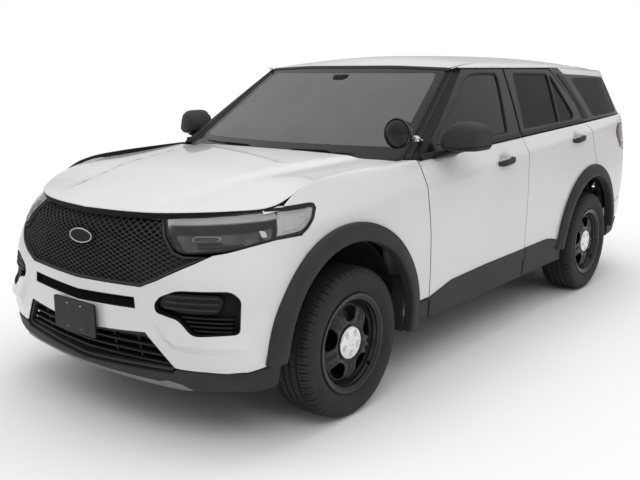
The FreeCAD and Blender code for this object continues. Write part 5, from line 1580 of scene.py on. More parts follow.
def headlamps():
    low = [(0.447, 1.038), (0.559, 0.9135), (0.602, 0.8995), (0.760, 0.9115), (0.885, 0.9545)]
    loop = trace(("front", rounded(low, [0, 0.02, 0.02, 0.05, 0])), ("nose", shifted(lampTail, -0.003, 0.0)),
                 ("nose", [(-1.900, 1.0835), (-2.085, 1.0745)]), ("front", [(0.700, 1.0625), (0.452, 1.0465)]),
                 step=0.014)
    flat = [tuple(p) for p in loop][::2]

    def within(by):
        return np.array(inset(flat, by))

    def front(points, step=0.02):
        return trace(("front", points), step=step)
    strip = trace(("front", [(0.470, 1.012), (0.610, 1.018), (0.720, 1.024), (0.816, 1.033)]),
                  ("nose", [(-2.085, 1.036), (-2.050, 1.040), (-2.050, 1.064), (-2.085, 1.064)]),
                  ("front", [(0.700, 1.053), (0.462, 1.037)]), step=0.02)
    outer = trace(("nose", [(-2.095, 0.968), (-1.975, 0.975), (-1.940, 0.990), (-1.890, 1.026), (-1.860, 1.062),
                            (-1.885, 1.074), (-2.035, 1.072), (-2.060, 1.034), (-2.080, 0.995)]), step=0.02)
    pocketIn = trace(("nose", [(-2.060, 0.985), (-1.985, 0.990), (-1.945, 1.008), (-1.905, 1.034), (-1.930, 1.050),
                               (-2.020, 1.048), (-2.045, 1.020)]), step=0.02)
    pieces = {
        "cover": (panel(body, [loop], 0.003, hem=0.0015, step=0.05, lift=-0.0005, rows=bodyRows), "cover",
                  "lamp_glass"),
        "wall": (pocketWall(body, within(0.002), 0.0040, 0.060, 0.002, 0.006), "lampEdge", "black_gloss"),
        "back": (panel(body, [within(0.006)], 0.003, hem=0.001, step=0.06, lift=-0.057), "lampSmoke", "black_gloss"),
        "border": (panel(body, [within(-0.001), within(0.0085)], 0.006, hem=0.0012, step=0.3, lift=0.0012),
                   "lampEdge",
                   "black_gloss"),
        "strip": (panel(body, [strip], 0.010, hem=0.003, step=0.1, lift=-0.006), "lampWhite", "lamp_glass"),
        "marker": (panel(body, [outer], 0.010, hem=0.004, step=0.02, lift=-0.007), "flutes", "lamp_glass"),
        "marker_inner": (panel(body, [pocketIn], 0.006, hem=0.003, step=0.02, lift=-0.0045), "flutes", "lamp_glass"),
        "beam": (panel(body, [front(rounded([(0.615, 0.955), (0.715, 0.957), (0.722, 0.972), (0.700, 0.982),
                                             (0.618, 0.981), (0.608, 0.968)], 0.006), 0.01),
                              front(rounded([(0.620, 0.960), (0.706, 0.961), (0.712, 0.971), (0.696, 0.977),
                                             (0.622, 0.976), (0.615, 0.968)], 0.005), 0.01)],
                       0.010, hem=0.002, step=0.1, lift=-0.020), "satin", "lamp_glass"),
        "beam_lens": (panel(body, [front(rounded([(0.621, 0.961), (0.705, 0.962), (0.711, 0.971), (0.695, 0.976),
                                                  (0.623, 0.975), (0.616, 0.968)], 0.005), 0.01)],
                            0.008, hem=0.003, step=0.03, lift=-0.021), "lens", "lamp_glass"),
        "spot": (panel(body,
                       [trace(("nose", rounded([(-2.150, 0.966), (-2.128, 0.968), (-2.124, 1.000), (-2.146, 1.002)],
                                               0.006)), step=0.01)], 0.010, hem=0.003, step=0.1, lift=-0.018),
                 "mirror", "lamp_glass"),
        "shelf": (panel(body, [front([(0.640, 0.928), (0.790, 0.938), (0.800, 0.948), (0.640, 0.938)])], 0.030,
                        hem=0.003,
                        step=0.1, lift=-0.024), "lampEdge", "black_gloss"),
    }
    for key, (build, finish, slotName) in pieces.items():
        for side in ("left", "right"):
            piece = build.make(f"headlamp_{side}_{key}", finish, "body", slotName, side == "right")
            if key == "cover" and side == "left":
                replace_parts(piece, "headlamps")


grillePieces()
fogPockets()
lowerOpenings()
valance()
platePieces()
headlamps()
print("front end")


# wheel arch flares and sill cladding
flareProfile = [(0.5920, -0.010), (0.5920, 0.006), (0.5905, 0.014), (0.5850, 0.0205), (0.5770, 0.0235),
                (0.5735, 0.0220), (0.5690, 0.0240), (0.5560, 0.0310), (0.5380, 0.0345), (0.5200, 0.0358),
                (0.5085, 0.0345), (0.5030, 0.0300), (0.5010, 0.0220), (0.5005, 0.0100), (0.5005, -0.022),
                (0.5060, -0.022), (0.5080, -0.008)]


def flarePiece(axle, starts, ends, name, bodyName, count):
    build = Build()
    rings = []
    shares = np.linspace(0, 1, count)
    lineAngles = [starts(0.55) + (ends(0.55) - starts(0.55)) * t for t in shares]
    spots = [(axles[axle] + 0.55 * math.cos(a), wheelZ + 0.55 * math.sin(a)) for a in lineAngles]
    uv = body.find("side", spots, (0.6, 6.0))
    base = body.at(uv)[:, 0]
    for t, x, middle in zip(shares, base, spots):
        foot = 0.012 * smoothStep((-2.02 - middle[0]) / 0.2)
        ring = []
        for r, out in flareProfile:
            angle = starts(r) + (ends(r) - starts(r)) * t
            ring.append((x + out + foot * (out > 0.01), axles[axle] + r * math.cos(angle),
                         wheelZ + r * math.sin(angle)))
        rings.append(build.add(ring) + np.arange(len(ring)))
    n = len(flareProfile)
    for a, b in zip(rings, rings[1:]):
        for i in range(n):
            j = (i + 1) % n
            build.face((a[i], a[j], b[j], b[i]))
    build.face(list(rings[0]))
    build.face(list(rings[-1][::-1]))
    for side in ("left", "right"):
        piece = build.make(name.format(side), "trim", bodyName.format(side), "dark_plastic", side == "right")
        smoothEdges(piece, 50)
        yield piece


def flares():
    rad = math.radians
    front = list(flarePiece("front", lambda r: rad(-8.0), lambda r: math.pi - math.asin((0.428 - wheelZ) / r),
                            "flare_front_{}", "body", 90))
    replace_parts(front[0], "wheel_flares")
    edge = 1.4815

    def split(dy):
        return lambda r: math.acos((edge + dy - axles["rear"]) / r)
    list(flarePiece("rear", split(0.002), lambda r: rad(5.0), "flare_rear_{}", "body", 40))
    list(flarePiece("rear", lambda r: rad(176.5), split(-0.0025), "door_rear_{}_flare", "rear_{}_door", 56))


def claddingStep(skin, uv):
    def drop(uvs):
        at = skin.at(uvs)
        line = 0.437 + 0.012 * smoothStep((at[:, 1] + 0.9) / 0.4)
        depth = 0.0055 * smoothStep((line - at[:, 2]) / 0.012) - 0.002 * smoothStep((0.352 - at[:, 2]) / 0.02)
        return at + skin.normals(uvs) * (0.008 - depth)[:, None]
    return drop(uv), facing(drop, uv, 1e-3)


def cladding():
    low = 0.324
    topFront = [(0.2535, 0.516), (-0.300, 0.512), (-0.700, 0.500), (-0.9285, 0.449)]
    front = trace(("side", [(-0.9245, low), (0.2535, low)]), ("side", topFront), step=0.02)
    topRear = [(0.892, 0.486), (0.790, 0.486), (0.700, 0.508), (0.610, 0.520), (0.2605, 0.5175)]
    rear = trace(("side", [(0.2605, low), (0.884, low)]), ("side", [(0.878, 0.400)]), ("side", topRear), step=0.02)
    arch = circle("front", angleAt("front", z=0.324), angleAt("front", z=0.444), 0.507, 8)
    apronLoop = trace(("side", [(-1.138, 0.322), (-0.9305, 0.322), (-0.9385, 0.4435)]), ("side", arch[::-1]),
                      step=0.02)
    rows = [body.find("side", [(0.0, z)], sideRegion)[0][1] for z in (0.34, 0.352, 0.362, 0.437, 0.443, 0.449, 0.455)]
    for name, loop, rider in (("door_front_{}_cladding", front, "front_{}_door"),
                              ("door_rear_{}_cladding", rear, "rear_{}_door"),
                              ("fender_{}_cladding", apronLoop, "body")):
        skin = panel(body, [loop], 0.014, hem=0.006, step=0.03, rows=rows, relief=claddingStep, lift=0.008)
        for side in ("left", "right"):
            piece = skin.make(name.format(side), "trim", rider.format(side), "dark_plastic", side == "right")
            if "door" in name:
                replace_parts(piece, f"door_{name.split('_')[1]}_{side}_trim")


flares()
cladding()
print("flares and cladding")


# wheels: points are turned about the axle, which is at x = 0 until the wheel is put in place
class Dish(Surface):
    nudge = 4e-4

    def __init__(self, height, centre):
        self.height = height
        self.centre = np.array(centre, float)

    def at(self, uv):
        uv = np.asarray(uv, float).reshape(-1, 2)
        return np.column_stack([self.height(uv), uv[:, 0], uv[:, 1]]) + self.centre


tyre = {"blocks": 58, "groove": 0.0075, "sipe": 0.004}
# (across, radius, how much of the shoulder groove, how much of the sipe)
tyreProfile = [(0.098, 0.2310, 0, 0), (0.1035, 0.2335, 0, 0), (0.1055, 0.2400, 0, 0), (0.1050, 0.2480, 0, 0),
               (0.1075, 0.2530, 0, 0), (0.1125, 0.2570, 0, 0), (0.1130, 0.2600, 0, 0), (0.1125, 0.2630, 0, 0),
               (0.1180, 0.2720, 0, 0), (0.1215, 0.2820, 0, 0), (0.1238, 0.2930, 0, 0), (0.1247, 0.3030, 0, 0),
               (0.1240, 0.3040, 0, 0), (0.1243, 0.3120, 0, 0), (0.1236, 0.3200, 0, 0), (0.1222, 0.3290, 0, 0),
               (0.1200, 0.3375, 0, 0), (0.1205, 0.3395, 0.15, 0), (0.1165, 0.3480, 0.45, 0), (0.1120, 0.3560, 0.8, 0),
               (0.1065, 0.3625, 1, 0.4), (0.0990, 0.3672, 1, 1), (0.0900, 0.3698, 1, 1), (0.0770, 0.3716, 1, 1),
               (0.0690, 0.3722, 0.4, 0.5), (0.0665, 0.3722, 0, 0), (0.0655, 0.3640, 0, 0), (0.0575, 0.3640, 0, 0),
               (0.0565, 0.3733, 0, 0.6), (0.0400, 0.3738, 0, 1), (0.0245, 0.3740, 0, 0.6), (0.0235, 0.3650, 0, 0),
               (0.0155, 0.3650, 0, 0), (0.0145, 0.3740, 0, 0.5)]


def tyreBuild(y):
    profile = tyreProfile + [(-x, r, g, s) for x, r, g, s in reversed(tyreProfile)]
    shares = ((0.0, 1, 0), (0.115, 1, 0), (0.15, 0, 0), (0.54, 0, 0), (0.553, 0, 1), (0.588, 0, 1), (0.602, 0, 0),
              (0.965, 0, 0))
    build = Build()
    rings = []
    for block in range(tyre["blocks"]):
        for share, groove, sipe in shares:
            ring = []
            for x, r, g, s in profile:
                slant = 0.10 * math.copysign(min(abs(x), 0.07) / 0.07, x)
                angle = 2 * math.pi * (block + share + slant) / tyre["blocks"]
                low = r - max(tyre["groove"] * groove * g, tyre["sipe"] * sipe * s)
                ring.append((x, y + low * math.cos(angle), wheelZ + low * math.sin(angle)))
            rings.append(build.add(ring) + np.arange(len(ring)))
    inner = [(-0.094, 0.236), (0.094, 0.236)]
    rings.append(rings[0])
    for a, b in zip(rings, rings[1:]):
        for i in range(len(a) - 1):
            build.face((a[i], b[i], b[i + 1], a[i + 1]))
    closing = []
    for r, x in ((inner[0][1], inner[0][0]), (inner[1][1], inner[1][0])):
        ring = []
        for block in range(tyre["blocks"]):
            for share, _, _ in shares:
                angle = 2 * math.pi * (block + share) / tyre["blocks"]
                ring.append((x, y + r * math.cos(angle), wheelZ + r * math.sin(angle)))
        closing.append(build.add(ring) + np.arange(len(ring)))
    edges = [np.array([ring[-1] for ring in rings[:-1]]), closing[0], closing[1],
             np.array([ring[0] for ring in rings[:-1]])]
    for a, b in zip(edges, edges[1:]):
        build.strip(b, a)
    return build


rimProfile = [(0.196, 0.0660), (0.2040, 0.0640), (0.2060, 0.0660), (0.2080, 0.0740), (0.2115, 0.0860),
              (0.2150, 0.0900), (0.2165, 0.0930), (0.2170, 0.1000), (0.2190, 0.1035), (0.2240, 0.1045),
              (0.2275, 0.1065), (0.2290, 0.1100), (0.2310, 0.1118), (0.2390, 0.1125), (0.2440, 0.1140),
              (0.2475, 0.1125), (0.2485, 0.1085), (0.2465, 0.1050), (0.2415, 0.1048), (0.2330, 0.1030),
              (0.2300, 0.0985), (0.2280, 0.0900), (0.2180, 0.0760), (0.2110, 0.0600), (0.2110, -0.066),
              (0.2220, -0.0820), (0.2280, -0.1000), (0.2440, -0.1060), (0.2480, -0.1100), (0.2450, -0.1130),
              (0.2240, -0.1110), (0.2170, -0.0840), (0.2050, -0.0640), (0.2020, 0.0500), (0.1960, 0.0600)]
capRadius = 0.082
nutRing = 0.0545


# the pressed disc: a crown round the cap, five arms with turned-up edges
def discHeight(uv):
    r = np.hypot(uv[:, 0], uv[:, 1])
    angle = np.arctan2(uv[:, 1], uv[:, 0])
    knots = np.array([0.0, 0.070, 0.084, 0.094, 0.106, 0.122, 0.150, 0.176, 0.188, 0.198, 0.206])
    rises = np.array([0.080, 0.0825, 0.0835, 0.0890, 0.0945, 0.0950, 0.0905, 0.0830, 0.0760, 0.0680, 0.0655])
    base = np.interp(r, knots, rises)
    turn = np.mod(angle - math.pi / 2, 2 * math.pi / 5)
    off = np.minimum(turn, 2 * math.pi / 5 - turn)  # 0 at the middle of an opening
    across = (math.pi / 5 - off) * r
    ridge = np.exp(-(across / 0.010) ** 2)
    band = smoothStep((r - 0.100) / 0.02) * smoothStep((0.198 - r) / 0.02)
    return base + 0.0050 * ridge * band - 0.0035 * np.exp(-((across - 0.021) / 0.006) ** 2) * band


def capHeight(uv):
    r = np.hypot(uv[:, 0], uv[:, 1])
    angle = np.arctan2(uv[:, 1], uv[:, 0])
    base = 0.1020 - 0.0042 * (r / capRadius) ** 4 - 0.004 * smoothStep((r - 0.076) / 0.006)
    turn = np.mod(angle + math.pi / 2, 2 * math.pi / 5)
    off = np.minimum(turn, 2 * math.pi / 5 - turn)
    away = np.hypot(r - nutRing * np.cos(off), nutRing * np.sin(off))
    return base - 0.0060 * smoothStep((0.0185 - away) / 0.006) - 0.003 * smoothStep((0.018 - r) / 0.006)


def kidney(turn):
    half = [(-0.060, 0.168), (-0.030, 0.116), (0.0, 0.108), (0.030, 0.116), (0.060, 0.168), (0.035, 0.184),
            (0.0, 0.189), (-0.035, 0.184)]
    shape = rounded(half, [0.016, 0.018, 0.03, 0.018, 0.016, 0.022, 0.04, 0.022], 6)
    c, s = math.cos(turn), math.sin(turn)
    return np.array([(x * c - z * s, x * s + z * c) for x, z in shape])


def ringLoop(radius, count):
    return np.array([(radius * math.cos(t), radius * math.sin(t))
                     for t in roundTurn(count)])


def turnedX(profile, y, count):
    build = turnedPiece(profile, count)
    build.points = [(z, y + a, wheelZ + b) for a, b, z in build.points]
    return build


finishes["rubber"] = plasticFinish("tyreRubber", 0.016, 0.028, 0.66, 520, 0.0004)
finishes["rim"] = glossFinish("wheelEnamel", 0.006, 0.012, 0.16)
finishes["disc"] = metalFinish("brakeSteel", 0.22, 0.34, 0.34, 120)


def wheelSet(row):
    y = axles[row]
    halfTrack = 0.851
    rubber = tyreBuild(y)
    barrel = turnedX(rimProfile + rimProfile[:1], y, 84)
    loops = [ringLoop(0.2045, 90)] + [kidney(2 * math.pi * k / 5) for k in range(5)] + [ringLoop(0.070, 40)]
    disc = panel(Dish(discHeight, (0, y, wheelZ)), loops, 0.0045, hem=0.0042, step=0.009, backStep=0.03)
    cap = panel(Dish(capHeight, (0, y, wheelZ)), [ringLoop(capRadius, 72)], 0.012, hem=0.003, step=0.0038,
                backStep=0.03)
    nuts = Build()
    for k in range(5):
        turn = -math.pi / 2 + 2 * math.pi * k / 5
        nut = turnedPiece([(0.0105, 0.0), (0.0105, 0.006), (0.0092, 0.0068), (0.0085, 0.0068)], 6)
        dome = turnedPiece([(0.0088, 0.0066), (0.0082, 0.0095), (0.0060, 0.0122), (0.0030, 0.0134), (0.0, 0.0137)],
                           18)
        both = joinBuilds(nut, dome)
        both.points = [(0.0945 + c, y + nutRing * math.cos(turn) + a, wheelZ + nutRing * math.sin(turn) + b)
                       for a, b, c in both.points]
        nuts = joinBuilds(nuts, both)
    brake = turnedX([(0.070, -0.040), (0.070, -0.028), (0.085, -0.0265), (0.163, -0.0265), (0.165, -0.028),
                     (0.165, -0.040), (0.163, -0.0415), (0.070, -0.0415)], y, 72)
    hub = turnedX([(0.0, 0.060), (0.050, 0.060), (0.070, 0.050), (0.072, -0.028), (0.072, -0.030), (0.0, -0.030)], y,
                  40)
    stem = turnedPiece([(0.0, 0.030), (0.0040, 0.030), (0.0042, 0.018), (0.0055, 0.016), (0.0060, 0.0), (0.0, 0.0)],
                       14)
    orient(stem, (0.088, y + 0.150, wheelZ - 0.142), (1.0, -0.35, 0.33))
    parts = (("tyre", rubber, "rubber", "tyre_rubber", 32), ("rim", barrel, "rim", "wheel_black", 40),
             ("disc", disc, "rim", "wheel_black", None), ("cap", cap, "chrome", "wheel_black", None),
             ("nuts", nuts, "chrome", "wheel_black", 30), ("brake", brake, "disc", "engine_metal", 30),
             ("hub", hub, "steel", "engine_metal", 30), ("stem", stem, "seal", "tyre_rubber", 40))
    for side, sign in (("left", 1), ("right", -1)):
        for part, build, finish, slotName, angle in parts:
            moved = Build()
            moved.points = [(x + halfTrack, py, pz) for x, py, pz in build.points]
            moved.faces, moved.normals, moved.slots = build.faces, build.normals, build.slots
            piece = moved.make(f"{row}_{side}_{part}", finish, f"{row}_{side}_wheel", slotName, sign < 0)
            if angle:
                smoothEdges(piece, angle)
            if part == "tyre":
                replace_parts(piece, f"tyre_{row}_{side}")
            if part == "disc":
                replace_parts(piece, f"wheel_{row}_{side}")


wheelSet("front")
wheelSet("rear")
print("wheels")


# forms that are lofted through superellipse sections: centre, two half axes as vectors, power
def loft(sections, count=36):
    build = Build()
    rings = []
    for centre, across, up, power in sections:
        ring = []
        for t in roundTurn(count):
            c, s = math.cos(t), math.sin(t)
            a = math.copysign(abs(c) ** (2 / power), c)
            b = math.copysign(abs(s) ** (2 / power), s)
            ring.append(np.array(centre) + np.array(across) * a + np.array(up) * b)
        rings.append(build.add(ring) + np.arange(count))
    build.tube(rings)
    return build


# a round bar along points
def barBuild(points, radius, count=14):
    points = [np.array(p, float) for p in points]
    sections = []
    for i, p in enumerate(points):
        before, after = points[max(i - 1, 0)], points[min(i + 1, len(points) - 1)]
        along = (after - before) / np.linalg.norm(after - before)
        side = np.cross(along, (0, 0, 1) if abs(along[2]) < 0.9 else (0, 1, 0))
        side /= np.linalg.norm(side)
        r = radius[i] if isinstance(radius, (list, tuple)) else radius
        sections.append((p, side * r, np.cross(along, side) * r, 2))
    return loft(sections, count)


def fixFaces(piece, angle=40):
    bm = bmesh.new()
    bm.from_mesh(piece.data)
    bmesh.ops.recalc_face_normals(bm, faces=bm.faces)
    bm.to_mesh(piece.data)
    bm.free()
    return smoothEdges(piece, angle)


# a piece that rides on the body, with its faces set right
def settle(build, name, finish, slotName="cabin_plastic", angle=40):
    return fixFaces(build.make(name, finish, "body", slotName), angle)


def handlePieces():
    for key, spot in handles.items():
        centreY, z = spot["y"], spot["z"]
        skinX = float(body.at(body.find("side", [(centreY, z)], sideRegion))[0, 0])
        sections = []
        for t in np.linspace(-1, 1, 21):
            bow = 1 - abs(t) ** 3
            end = math.sqrt(max(1 - abs(t) ** 6, 0.02))
            sections.append(((skinX + 0.006 + 0.023 * bow, centreY + 0.106 * t, z - 0.006 + 0.008 * t),
                             (0.0095 * end + 0.001, 0, 0), (0, 0, 0.0195 * end), 2.6))
        grip = loft(sections, 28)
        block = loft([((skinX - 0.004 + 0.007 * k, centreY + 0.087, z + 0.001), (0, 0.014 - 0.001 * k, 0),
                       (0, 0, 0.0155 - 0.001 * k), 2.6) for k in range(3)], 24)
        front = loft([((skinX - 0.004 + 0.007 * k, centreY - 0.089, z - 0.012), (0, 0.011 - 0.001 * k, 0),
                       (0, 0, 0.0145 - 0.001 * k), 2.6) for k in range(3)], 24)
        for side in ("left", "right"):
            bodyName = f"{key}_{side}_door"
            for part, build in (("grip", grip), ("grip_base", block), ("grip_pivot", front)):
                piece = build.make(f"door_{key}_{side}_{part}", "trim", bodyName, "dark_plastic", side == "right")
                fixFaces(piece, 45)


# door mirrors: an arm from the belt, a lower tray, an upper shell, the glass
mirrorShell = [(0.952, -0.800, 1.285, 0.035, 0.012), (0.962, -0.796, 1.292, 0.070, 0.030),
               (0.980, -0.790, 1.303, 0.095, 0.050), (1.005, -0.782, 1.312, 0.108, 0.067),
               (1.035, -0.770, 1.318, 0.116, 0.077), (1.070, -0.752, 1.3195, 0.120, 0.079),
               (1.100, -0.736, 1.316, 0.118, 0.074), (1.124, -0.722, 1.309, 0.112, 0.067),
               (1.137, -0.712, 1.304, 0.102, 0.060), (1.1425, -0.704, 1.301, 0.084, 0.050)]


mirrorForm = {"points": 44, "powers": (0.46, 0.52), "trayShare": 0.97, "trayFloor": 1.2295, "seam": 0.002}


def mirrorPieces():
    shell, tray = Build(), Build()
    wide, high = mirrorForm["powers"]
    for build, low in ((shell, False), (tray, True)):
        rings = []
        for x, y, z, deep, tall in mirrorShell:
            back = -0.655 + 0.30 * (x - 1.05)
            split = 1.2600 + 0.05 * (x - 0.97)
            ring = []
            for t in roundTurn(mirrorForm["points"]):
                c, s = math.cos(t), math.sin(t)
                grow = mirrorForm["trayShare"] if low else 1.0
                py = y + deep * grow * math.copysign(abs(c) ** wide, c)
                pz = z + tall * math.copysign(abs(s) ** high, s)
                lean = 0.20 * (pz - z)
                px = x - 0.10 * max(pz - z, 0) * 0.4
                pz = min(pz, split) if low else max(pz, split + mirrorForm["seam"])
                if low:
                    pz = max(pz, mirrorForm["trayFloor"])
                ring.append((px, min(py + lean * (py < y), back), pz))
            rings.append(build.add(ring) + np.arange(mirrorForm["points"]))
        build.tube(rings)
    arm = loft([((0.893, -0.742, 1.204), (0, 0.130, 0), (0, 0, 0.010), 5),
                ((0.915, -0.742, 1.206), (0, 0.130, 0.0), (0, 0, 0.012), 5),
                ((0.940, -0.748, 1.214), (0, 0.118, 0.0), (0, 0, 0.0135), 5),
                ((0.970, -0.760, 1.227), (0, 0.098, 0.0), (0, 0, 0.0150), 4),
                ((1.000, -0.770, 1.238), (0, 0.088, 0.0), (0, 0, 0.0150), 4),
                ((1.030, -0.774, 1.243), (0, 0.080, 0.0), (0, 0, 0.0130), 4)], 32)
    flat = Flat((1.054, -0.6520, 1.314), (-0.958, -0.287, 0), (0, 0, 1))
    oval = rounded([(-0.072, -0.046), (0.064, -0.042), (0.060, 0.050), (-0.062, 0.056)], 0.03)
    glass = panel(flat, [np.array(dense(oval, 0.01))], 0.006, hem=0.002, step=0.05)
    for side in ("left", "right"):
        bodyName, flip = f"front_{side}_door", side == "right"
        fixFaces(shell.make(f"mirror_{side}_shell", "trim", bodyName, "dark_plastic", flip), 50)
        fixFaces(tray.make(f"mirror_{side}_tray", "mesh", bodyName, "dark_plastic", flip), 50)
        fixFaces(arm.make(f"mirror_{side}_arm", "mesh", bodyName, "dark_plastic", flip), 50)
        glass.make(f"mirror_{side}_glass", "mirror", bodyName, "black_gloss", flip)


def spotlightPieces():
    centre = Vector((0.838, -1.106, 1.345))
    forward = Vector((0, -1, 0))
    dome = [(0.0, 0.0240), (0.012, 0.0236), (0.024, 0.0222), (0.036, 0.0198), (0.048, 0.0160), (0.058, 0.0112),
            (0.066, 0.0054), (0.072, -0.0010), (0.0745, -0.006)]
    shell = [(0.0745, -0.004), (0.0775, -0.001), (0.0795, -0.004), (0.0795, -0.014), (0.0775, -0.018),
             (0.0760, -0.020), (0.0735, -0.038), (0.0665, -0.060), (0.0560, -0.078), (0.0430, -0.090),
             (0.0260, -0.0955), (0.0, -0.097)]
    rim = [(0.0742, -0.0015), (0.0770, 0.0012), (0.0794, -0.0008), (0.0800, -0.0048), (0.0796, -0.0058)]
    parts = [("lens", dome, "gloss"), ("shell", shell, "gloss"), ("rim", rim, "gloss")]
    for part, profile, finish in parts:
        build = orient(turnedPiece(profile, 56), centre, forward)
        piece = smoothEdges(build.make("spotlight_" + part, finish, "body", "black_gloss"), 40)
        if part == "shell":
            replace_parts(piece, "spotlight")
    joint = Vector((0.8430, -1.000, 1.3270))
    base = Vector((0.8560, -0.874, 1.2860))
    along = (base - joint).normalized()
    ball = orient(turnedPiece([(0.0, -0.0155)] + [(0.0155 * math.sin(t), -0.0155 * math.cos(t))
                                                  for t in np.linspace(0.3, 2.8, 9)] + [(0.0, 0.0155)], 28),
                  joint, along)
    collar = orient(turnedPiece([(0.0, 0.0), (0.0125, 0.0), (0.0140, 0.002), (0.0140, 0.014), (0.0125, 0.016),
                                 (0.0095, 0.0175), (0.0095, 0.046), (0.0120, 0.048), (0.0120, 0.056), (0.0, 0.056)],
                                28),
                    joint + along * 0.010, along)
    foot = orient(turnedPiece([(0.0, 0.0), (0.013, 0.0), (0.0185, 0.004), (0.0200, 0.010), (0.0200, 0.016),
                               (0.0150, 0.019), (0.0125, 0.060), (0.0, 0.060)], 28), joint + along * 0.062, along)
    screw = orient(turnedPiece([(0.0, -0.020), (0.0045, -0.020), (0.0052, -0.018), (0.0052, 0.018), (0.0045, 0.020),
                                (0.0, 0.020)], 16), joint + along * 0.030, (1, 0.2, 0.3))
    lug = orient(turnedPiece([(0.0, 0.0), (0.014, 0.0), (0.017, 0.004), (0.017, 0.018), (0.0, 0.018)], 24),
                 Vector((0.841, -1.020, 1.334)), (0.1, 1, -0.35))
    for part, build in (("ball", ball), ("collar", collar), ("foot", foot), ("screw", screw), ("lug", lug)):
        smoothEdges(build.make("spotlight_" + part, "chrome", "body", "black_gloss"), 40)


handlePieces()
mirrorPieces()
spotlightPieces()
print("handles, mirrors and spotlight")


# body structure behind the skins
def onSkin(skin, view, pairs, depth, region):
    uv = skin.find(view, pairs, region)
    return skin.at(uv) - skin.normals(uv) * depth, skin.normals(uv)


def makeBoth(build, name, finish, bodyName, slotName, angle=40):
    made = build.pair(name, finish, bodyName, slotName)
    return [fixFaces(piece, angle) for piece in made] if angle else made


cabinSide = (-0.05, cabin.length)


